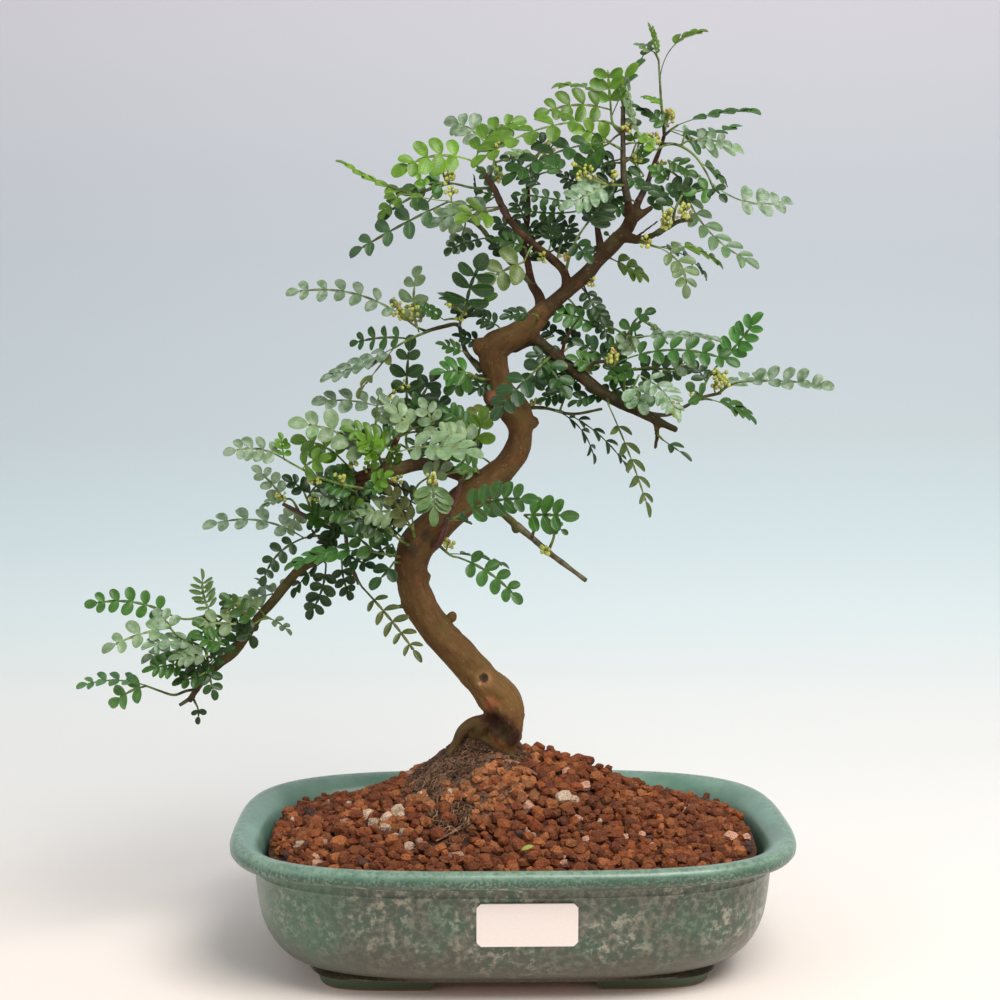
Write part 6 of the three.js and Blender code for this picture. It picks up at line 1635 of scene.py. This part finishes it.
def grow_buds(pile, foot, top, count):
    """A bunch of small round buds on short stalks, from its foot to its top."""
    way = unit(top - foot)
    side = unit(np.cross(way, FORWARD))
    over = np.cross(way, side)
    reach = np.linalg.norm(top - foot)
    stalk = smoothed([foot, (foot + top) / 2 + side * 0.3, top], 1.2)
    pile.stick(stalk, np.full(len(stalk), 0.42), 6, BUNCH_STALK, 1)
    for _ in range(count):
        start = foot + way * reach * bud_draw.uniform(0.35, 1.0)
        angle = bud_draw.uniform(0, 2 * math.pi)
        out = side * math.cos(angle) + over * math.sin(angle) + way * bud_draw.uniform(0.1, 0.9)
        end = start + unit(out) * bud_draw.uniform(1.4, 3.4)
        pile.stick(np.array([start, (start + end) / 2, end]), [0.26, 0.24, 0.24], 5, BUD_STALK, 1)
        radius = bud_draw.uniform(0.75, 1.15)
        light = bud_draw.uniform(0.85, 1.15)
        tint = np.array(BUD_TINT) * light if bud_draw.random() > 0.08 else np.array(DRY_BUD)
        pile.add(end + ROUND_POINTS * radius * [1, 1, 1.12], ROUND_FACES, tint, None, 0)


def shape_bunches():
    """The modelled bunches of flower buds."""
    for number, row in enumerate(BUNCHES, 1):
        pile = Pile()
        grow_buds(pile, placed(*row[:3]), placed(*row[3:]), 14)
        name = "bud_bunch_%02d" % number
        pile.piece(name + "_fine", [BUD, STEM], [name], "flower_bud")


BUD_SPOTS = [
    (117, 300), (116, 306), (122, 306), (141, 248), (157, 241), (157, 249), (176, 232), (170, 238),
    (184, 231), (189, 225), (199, 239), (216, 239), (224, 272), (217, 265), (273, 275), (236, 188),
    (195, 150), (198, 155), (206, 152), (202, 192), (224, 90), (226, 95), (221, 83), (224, 149),
    (230, 158), (250, 87), (247, 72), (247, 75), (275, 69), (278, 71), (288, 82), (288, 87), (282, 128),
    (271, 129), (296, 140), (307, 86), (319, 79), (314, 64), (326, 69), (335, 57), (329, 85), (334, 106),
    (343, 105), (334, 112), (323, 121), (306, 179), (358, 187), (357, 192), (362, 190), (347, 199),
    (267, 201),
]


def dot_buds():
    """Small bunches of buds along the twigs, each on a short stalk from the nearest wood."""
    bearing = bearing_lines()
    view = seen(bearing)[:, :2]
    pile = Pile()
    for u, v in BUD_SPOTS:
        root = bearing[((view - [u, v + 2.5]) ** 2).sum(1).argmin()]
        grow_buds(pile, root, placed(u, v, seen(root)[2] - 3), 8)
    pile.piece("small_bud_bunches", [BUD, STEM], [], "flower_bud")


# ---------------- the soil

SOIL_FOOT = 57
SOIL_RISE = 43
SOIL_HALF = (116.5, 80.5)
SOIL_FLARE = 4.5
GRAIN_PITCH = 5.3
BALL_CENTRE = (-14, 2)
BALL_RADIUS = 43
BALL_TOP = 119
BALL_FALL = 36
BARE_EDGE_U = (195, 205, 215, 228, 238, 250, 258, 266, 280)
BARE_EDGE_V = (392, 399, 400, 392, 384, 381.5, 383, 380, 376)
# The mound is coloured like grains in shade: painted shade in the gaps between the grains.
MOUND_SHADE_TINT = (84, 46, 26)
BALL_TINT = (128, 95, 70)
HAIR_ROOT = (96, 72, 56)
FIRED_TINTS = ((112, 58, 28), (136, 76, 38), (138, 74, 35), (124, 64, 30), (158, 95, 52))
soil_draw = random.Random(20031)


def soil_height(x, y):
    """The mound's height."""
    return SOIL_FOOT + SOIL_RISE * np.exp(-((x / 82) ** 2) - (y / 56) ** 2)


def soil_limit(x, y):
    """How far out a place is: one at the pot's wall."""
    part = np.abs(x / SOIL_HALF[0]) ** OVAL_POWER + np.abs(y / SOIL_HALF[1]) ** OVAL_POWER
    return part ** (1 / OVAL_POWER)


def ball_height(x, y):
    """The root ball's height, or a low number away from it."""
    part = np.hypot(x - BALL_CENTRE[0], y - BALL_CENTRE[1]) / BALL_RADIUS
    return np.where(part < 1.25, BALL_TOP - BALL_FALL * part**0.9 - 12 * np.maximum(part - 1, 0), -50)


def cone_faces(circles, spokes):
    """Faces from a middle point over circles of that many spokes, closed below."""
    faces = []
    last = 1 + (circles - 1) * spokes
    for j in range(spokes):
        k = (j + 1) % spokes
        faces.append((0, 1 + j, 1 + k))
        for base in range(1, last, spokes):
            faces.append((base + j, base + spokes + j, base + spokes + k, base + k))
    return faces + [tuple(last + spokes - 1 - j for j in range(spokes))]


def shape_mound():
    """The body of the soil under its loose grains, coloured as painted shade between them."""
    rings, spokes = 40, 150
    outline = oval_outline(spokes)
    points = []
    for ring in range(rings + 1):
        part = ring / rings
        x = outline[:, 0] * (SOIL_HALF[0] + SOIL_FLARE) * part
        y = outline[:, 1] * (SOIL_HALF[1] + SOIL_FLARE) * part
        spot = np.stack([x, y, soil_height(x, y) - 1.6], axis=1)
        spot[:, 2] += grit(spot, 5.5, 31) * 1.3
        points.append(spot)
    low = points[-1].copy()
    low[:, :2] *= 0.955
    low[:, 2] = 40
    floor = points[-1].copy()
    floor[:, :2] *= (0.88, 0.91)
    floor[:, 2] = 13.6
    points += [low, floor]
    points[0] = points[0][:1]
    pile = Pile()
    pile.add(np.vstack(points), cone_faces(rings + 2, spokes), MOUND_SHADE_TINT)
    pile.piece("soil_mound", [GRAIN], ["soil_granules"], "soil_granule")


def grain_tint(spot):
    """A grain's tint by where it lies: paler stones left of the roots, tan ones before them."""
    u, v, _ = seen(spot)
    draw = soil_draw.random()
    light = soil_draw.uniform(0.86, 1.14)
    if 176 < u < 206 and 402 < v < 424 and draw < 0.04:
        colour = (196, 168, 148)
    elif 206 < u < 268 and v < 408 - abs(u - 236) * 0.25 and draw < 0.8:
        colour = (166, 108, 66)
    elif draw < 0.015:
        colour = (196, 152, 128)
    elif draw < 0.03:
        colour = (78, 54, 48)
    else:
        colour = soil_draw.choice(FIRED_TINTS)
    return np.array(colour) * light


def shape_grains():
    """Loose fired grains all over the mound and up the foot of the root ball, in two pieces."""
    piles = [Pile(), Pile()]
    rows = int(SOIL_HALF[1] * 2 / (GRAIN_PITCH * 0.87)) + 4
    columns = int(SOIL_HALF[0] * 2 / GRAIN_PITCH) + 5
    for row in range(rows):
        for column in range(columns):
            x = (column - columns / 2 + (row % 2) / 2) * GRAIN_PITCH + soil_draw.uniform(-1.4, 1.4)
            y = (row - rows / 2) * GRAIN_PITCH * 0.87 + soil_draw.uniform(-1.4, 1.4)
            size = soil_draw.choice((2.5, 2.9, 3.3, 3.6, 4.0))
            if soil_limit(x, y) > 1.035 - size * 0.6 / 80:
                continue
            z = max(float(soil_height(x, y)), float(ball_height(x, y))) + soil_draw.uniform(-1.3, 1.0)
            u, v, _ = seen(np.array([x, y, z]))
            if is_bare(x, y, z, u, v):
                continue
            pile = piles[0 if y < 0 else 1]
            lay_grain(pile, np.array([x, y, z]), size)
            steep = ball_height(x, y) > soil_height(x, y)
            for _ in range(2 if steep else int(soil_draw.random() < 0.3)):
                spot = np.array([x + soil_draw.uniform(-2.8, 2.8), y + soil_draw.uniform(-2.8, 2.8), z])
                spot[2] = ground(spot[0], spot[1]) + 0.4 if steep else z + size * 0.8
                lay_grain(pile, spot, size * soil_draw.uniform(0.65, 0.9))
    piles[0].piece("soil_grains_front", [GRAIN], [], "soil_granule", smooth=False)
    piles[1].piece("soil_grains_back", [GRAIN], [], "soil_granule", smooth=False)


def in_wet_patch(y, u, v, margin=0):
    """Whether a place lies in the bare wet patch before the roots."""
    return 214 - margin < u < 236 + margin and 399 - margin < v < 424 + margin and y < -20


def is_bare(x, y, z, u, v):
    """Whether the root ball's earth shows here, without grains."""
    if in_wet_patch(y, u, v):
        return soil_draw.random() < 0.72
    if float(ball_height(x, y)) < float(soil_height(x, y)) + 0.5:
        return False
    if y > 8:
        return z > 88
    return v < np.interp(u, BARE_EDGE_U, BARE_EDGE_V)


BLOCK_POINTS = ROUND_POINTS / (np.abs(ROUND_POINTS) ** 2.35).sum(1)[:, None] ** (1 / 2.35)


def lay_grain(pile, spot, size, tint=None):
    """One lumpy grain of that half size at its spot."""
    turn = Matrix.Rotation(soil_draw.uniform(0, 6.28), 3, "Z")
    turn = turn @ Matrix.Rotation(soil_draw.uniform(-1.2, 1.2), 3, "X")
    scale = np.array([soil_draw.uniform(*span) for span in ((0.9, 1.25), (0.8, 1.05), (0.65, 0.9))])
    lumps = np.array([soil_draw.uniform(0.76, 1.14) for _ in range(len(ROUND_POINTS))])
    points = (BLOCK_POINTS * lumps[:, None] * scale * size) @ np.array(turn).T + spot
    pile.add(points, ROUND_FACES, grain_tint(spot) if tint is None else tint)


def ground(x, y):
    """The height of the soil or of the root ball, whichever is higher."""
    return np.maximum(soil_height(x, y), ball_height(x, y))


def on_ground(u, v, lift=0.0):
    """The place on the ground that is seen there."""
    for w in np.arange(-115, 40, 0.5):
        spot = placed(u, v, w)
        if spot[2] < ground(spot[0], spot[1]) + lift:
            return spot
    return placed(u, v, 0)


CRUMBS = 9000
CRUMB_TINTS = ((110, 80, 56), (122, 90, 64), (94, 68, 48), (134, 100, 72), (112, 78, 52), (100, 72, 50))
ROOT_TINTS = ((150, 112, 78), (128, 92, 66), (168, 128, 94), (104, 74, 52))
ROOT_BEDS = [
    ((213, 390), (7, 4), 26, 0.3), ((226, 411), (8, 9), 34, 0.28), ((230, 378), (13, 8), 16, 0.2),
    ((255, 379.5), (8, 3), 22, 0.26), ((202, 395), (6, 3), 10, 0.28), ((158, 428), (5, 2), 5, 0.3),
]
LONG_ROOTS = [
    (((252.5, 381), (258, 382), (264, 385.5), (271, 389.5)), 0.85, (158, 108, 84)),
    (((248, 384.5), (252, 385.5), (256, 388), (261, 390)), 0.6, (150, 104, 80)),
    (((251.5, 383), (252, 379.5), (254, 378.5), (255, 382)), 0.5, (160, 120, 96)),
    (((217, 382), (213, 388), (208, 391), (203, 396)), 0.6, (132, 98, 68)),
    (((218, 421), (225.5, 417), (232, 412), (233, 408)), 0.5, (150, 112, 78)),
    (((221, 419), (228, 416), (233.5, 413), (235, 409)), 0.4, (140, 100, 70)),
    (((152, 424), (155, 428), (160, 429), (164, 428)), 0.4, (206, 158, 108)),
]
PALE_STONES = [
    (211, 399, 2.7), (225.5, 397.5, 2.0), (199, 407, 3.6), (194, 410, 3.2), (192, 415.5, 3.0),
    (197.5, 420, 2.7), (184, 409, 3.2), (187, 412, 2.8), (146, 412, 2.6), (150, 424, 2.6),
    (281.5, 400, 3.2), (286.5, 401, 2.8), (205, 400.5, 2.0), (266.5, 418, 1.6), (300, 411, 1.8),
    (186, 437, 1.6), (174.5, 403, 2.0),
]


def lay_pale_stones():
    """The few pale stones among the grains."""
    pile = Pile()
    for u, v, size in PALE_STONES:
        spot = on_ground(u, v) + UPRIGHT * size * 0.35
        lay_grain(pile, spot, size * 1.2, np.array((204, 182, 158)) * soil_draw.uniform(0.9, 1.08))
    pile.piece("pale_stones", [GRAIN], [], "soil_granule", smooth=False)


def scatter_crumbs():
    """Small crumbs of earth over the bare side of the root ball and the bare patch before it."""
    pile = Pile()
    for _ in range(CRUMBS):
        angle = soil_draw.uniform(0, 2 * math.pi)
        part = 1.2 * math.sqrt(soil_draw.random())
        x = BALL_CENTRE[0] + BALL_RADIUS * part * math.cos(angle)
        y = BALL_CENTRE[1] + BALL_RADIUS * part * math.sin(angle)
        z = float(ground(x, y))
        u, v, _ = seen(np.array([x, y, z]))
        patch = in_wet_patch(y, u, v, 1)
        if not patch and (ball_height(x, y) < soil_height(x, y) + 0.5 or not is_bare(x, y, z, u, v)):
            continue
        size = soil_draw.choice((0.3, 0.4, 0.5, 0.65, 0.9))
        lay_grain(pile, np.array([x, y, z + 0.1]), size, soil_draw.choice(CRUMB_TINTS))
    pile.piece("earth_crumbs", [EARTH], [], "root_earth", smooth=False)


def lay_roots():
    """Thin straw-coloured roots over the bare earth."""
    pile = Pile()
    for (u, v), (wide, high), count, radius in ROOT_BEDS:
        for _ in range(count):
            spot = on_ground(u + soil_draw.gauss(0, 0.5) * wide, v + soil_draw.gauss(0, 0.5) * high)
            heading = soil_draw.uniform(0, 2 * math.pi)
            step = soil_draw.uniform(1.0, 2.2)
            rows = []
            for _ in range(soil_draw.randint(4, 8)):
                height = float(ground(spot[0], spot[1])) + 0.2 + soil_draw.uniform(0, 0.9)
                rows.append(np.array([spot[0], spot[1], height]))
                heading += soil_draw.gauss(0, 0.55)
                spot = spot + np.array([math.cos(heading), math.sin(heading), 0]) * step
            line = smoothed(rows, 0.8)
            radii = np.linspace(radius, radius * 0.5, len(line)) * soil_draw.uniform(0.7, 1.3)
            pile.stick(line, radii, 5, soil_draw.choice(ROOT_TINTS))
    for spots, radius, tint in LONG_ROOTS:
        rows = [on_ground(*spot) + UPRIGHT * radius * 0.9 for spot in spots]
        line = smoothed(rows, 0.8)
        pile.stick(line, radius * (1 + grit(line, 1.5, 61) * 0.25), 7, tint)
    for _ in range(9):
        foot = placed(259 + soil_draw.uniform(0, 5), 377 + soil_draw.uniform(-2, 3), -4)
        rows = [foot]
        way = np.array([soil_draw.uniform(*span) for span in ((0.2, 1), (-0.5, 0.3), (0.2, 0.9))])
        for _ in range(4):
            rows.append(rows[-1] + unit(way) * 1.3)
            way = way + np.array([soil_draw.gauss(*bend) for bend in ((0, 0.5), (0, 0.3), (-0.1, 0.5))])
        line = smoothed(rows, 0.8)
        pile.stick(line, np.linspace(0.22, 0.12, len(line)), 5, HAIR_ROOT)
    pile.piece("fine_roots", [BARK_TWIG], [], "bark")
    scrap = Pile()
    joint = on_ground(260.5, 427.5, 1.5) + UPRIGHT * 2.2
    yellow_green = np.array((168, 182, 92))
    lay_blade(scrap, joint, RIGHT * 0.9 + UPRIGHT * 0.4, -FORWARD + UPRIGHT, 6.2, 1.2, yellow_green)
    scrap.piece("fallen_leaflet", [LEAF], [], "leaf")


def shape_root_ball():
    """The dark earth cone that the old roots hold together."""
    rings, spokes = 46, 140
    points = [[[BALL_CENTRE[0], BALL_CENTRE[1], BALL_TOP]]]
    angle = np.arange(spokes) * 2 * math.pi / spokes
    for ring in range(1, rings + 1):
        part = ring / rings * 1.12
        x = BALL_CENTRE[0] + np.cos(angle) * BALL_RADIUS * part
        y = BALL_CENTRE[1] + np.sin(angle) * BALL_RADIUS * part
        spot = np.stack([x, y, ball_height(x, y)], axis=1)
        spot[:, 2] += grit(spot, 7, 51) * 1.5 + grit(spot, 3, 52) * 1.0 + grit(spot, 1.4, 53) * 0.6
        points.append(spot)
    low = points[-1].copy()
    low[:, 2] = 38
    points.append(low)
    spots = np.vstack(points)
    tint = np.array(BALL_TINT) * (1 + grit(spots, 4, 55)[:, None] * 0.22)
    pile = Pile()
    pile.add(spots, cone_faces(rings + 1, spokes), tint)
    pile.piece("root_earth_cone", [EARTH], ["root_ball"], "root_earth")


# ---------------- the stage


def shape_stage():
    """A plain pale floor that bends up into a plain wall."""
    finish = Finish("plain_backdrop")
    _, y, z = finish.parts(finish.place())
    stops = [
        (0.0, (253, 253, 250)), (0.041, (240, 246, 245)), (0.10, (228, 241, 243)), (0.164, (219, 233, 237)),
        (0.236, (210, 225, 230)), (0.314, (206, 217, 222)), (0.40, (203, 214, 220)), (0.57, (200, 208, 216)),
        (0.66, (202, 208, 216)), (0.914, (211, 211, 219)), (1.0, (213, 213, 221)),
    ]
    ramp = finish.node("ValToRGB", {"stops": stops}, {0: z / 0.7})
    near = (1 - y.over(-0.25, 0.45)) * (1 - z.over(0.0, 0.02))
    colour = finish.mix(near, ramp, (255, 242, 233))
    backdrop = finish.done(Base_Color=colour, Roughness=0.95, Specular_IOR_Level=0.1)
    front, bend, bend_radius, wall, top, half_width = -1.6, 0.45, 0.5, 0.95, 2.6, 2.6
    profile = [(front, 0), (bend, 0)]
    for step in range(1, 25):
        angle = step / 24 * math.pi / 2
        profile.append((bend + bend_radius * math.sin(angle), bend_radius - bend_radius * math.cos(angle)))
    profile.append((wall, top))
    points = [(x, y, z) for y, z in profile for x in (-half_width, half_width)]
    faces = [(2 * i, 2 * i + 1, 2 * i + 3, 2 * i + 2) for i in range(len(profile) - 1)]
    mesh = bpy.data.meshes.new("backdrop")
    mesh.from_pydata(points, [], faces)
    mesh.polygons.foreach_set("use_smooth", [True] * len(faces))
    mesh.materials.append(backdrop)
    shown("backdrop", mesh)


def hang_light(name, place, size, power, colour):
    """A soft square light that looks at the tree."""
    light = bpy.data.lights.new(name, "AREA")
    light.shape = "RECTANGLE"
    light.size, light.size_y = size
    light.energy = power
    light.color = colour
    item = shown(name, light)
    item.location = place
    item.rotation_euler = (Vector((0, 0, 0.2)) - Vector(place)).to_track_quat("-Z", "Y").to_euler()


def light_stage():
    """Soft light from above and before, and a pale room."""
    world = bpy.data.worlds.new("pale_room")
    world.use_nodes = True
    glow = world.node_tree.nodes["Background"].inputs
    glow["Color"].default_value = (0.94, 0.95, 0.97, 1)
    glow["Strength"].default_value = 0.44
    bpy.context.scene.world = world
    hang_light("key_above", (0.55, -0.75, 1.35), (1.0, 0.8), 21.5, (1.0, 0.97, 0.93))
    hang_light("fill_left", (-1.3, -0.9, 0.8), (0.9, 0.9), 3.5, (0.95, 0.98, 1.0))


def set_camera():
    """The camera at the measured view."""
    data = bpy.data.cameras.new("camera")
    data.lens = LENS
    data.sensor_width = SENSOR
    data.sensor_fit = "HORIZONTAL"
    data.clip_start, data.clip_end = 0.05, 20
    camera = shown("camera", data)
    axes = Matrix((RIGHT, UP, -FORWARD)).transposed().to_4x4()
    axes.translation = Vector((EYE + [POT_X, 0, 0]) * MM)
    camera.matrix_world = axes
    bpy.context.scene.camera = camera


# ---------------- all together

shape_pot()
shape_trunk()
for spray_number, (spray_twigs, spray_shoots) in enumerate(SPRAYS, 1):
    grow_spray(spray_number, spray_twigs, spray_shoots)
grow_more_leaves()
shape_bunches()
dot_buds()
shape_mound()
shape_grains()
shape_root_ball()
lay_pale_stones()
scatter_crumbs()
lay_roots()

PAPER = ("blank_label", 900, (238, 226, 221), (247, 238, 233), 0.42, 0.1, 0.0001, 0.3)
PLASTIC = ("net_plastic", 500, (26, 27, 28), (48, 49, 50), 0.5, 0.2, 0.0002, 0.4)
for node_name, finish_made in (
    ("label", plain_skin(*PAPER)), ("drain_net_left", plain_skin(*PLASTIC)),
    ("drain_net_right", plain_skin(*PLASTIC)),
):
    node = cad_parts[node_name]
    node.data.materials.clear()
    node.data.materials.append(finish_made)

shape_stage()
light_stage()
set_camera()
bpy.context.scene.view_settings.view_transform = "Standard"
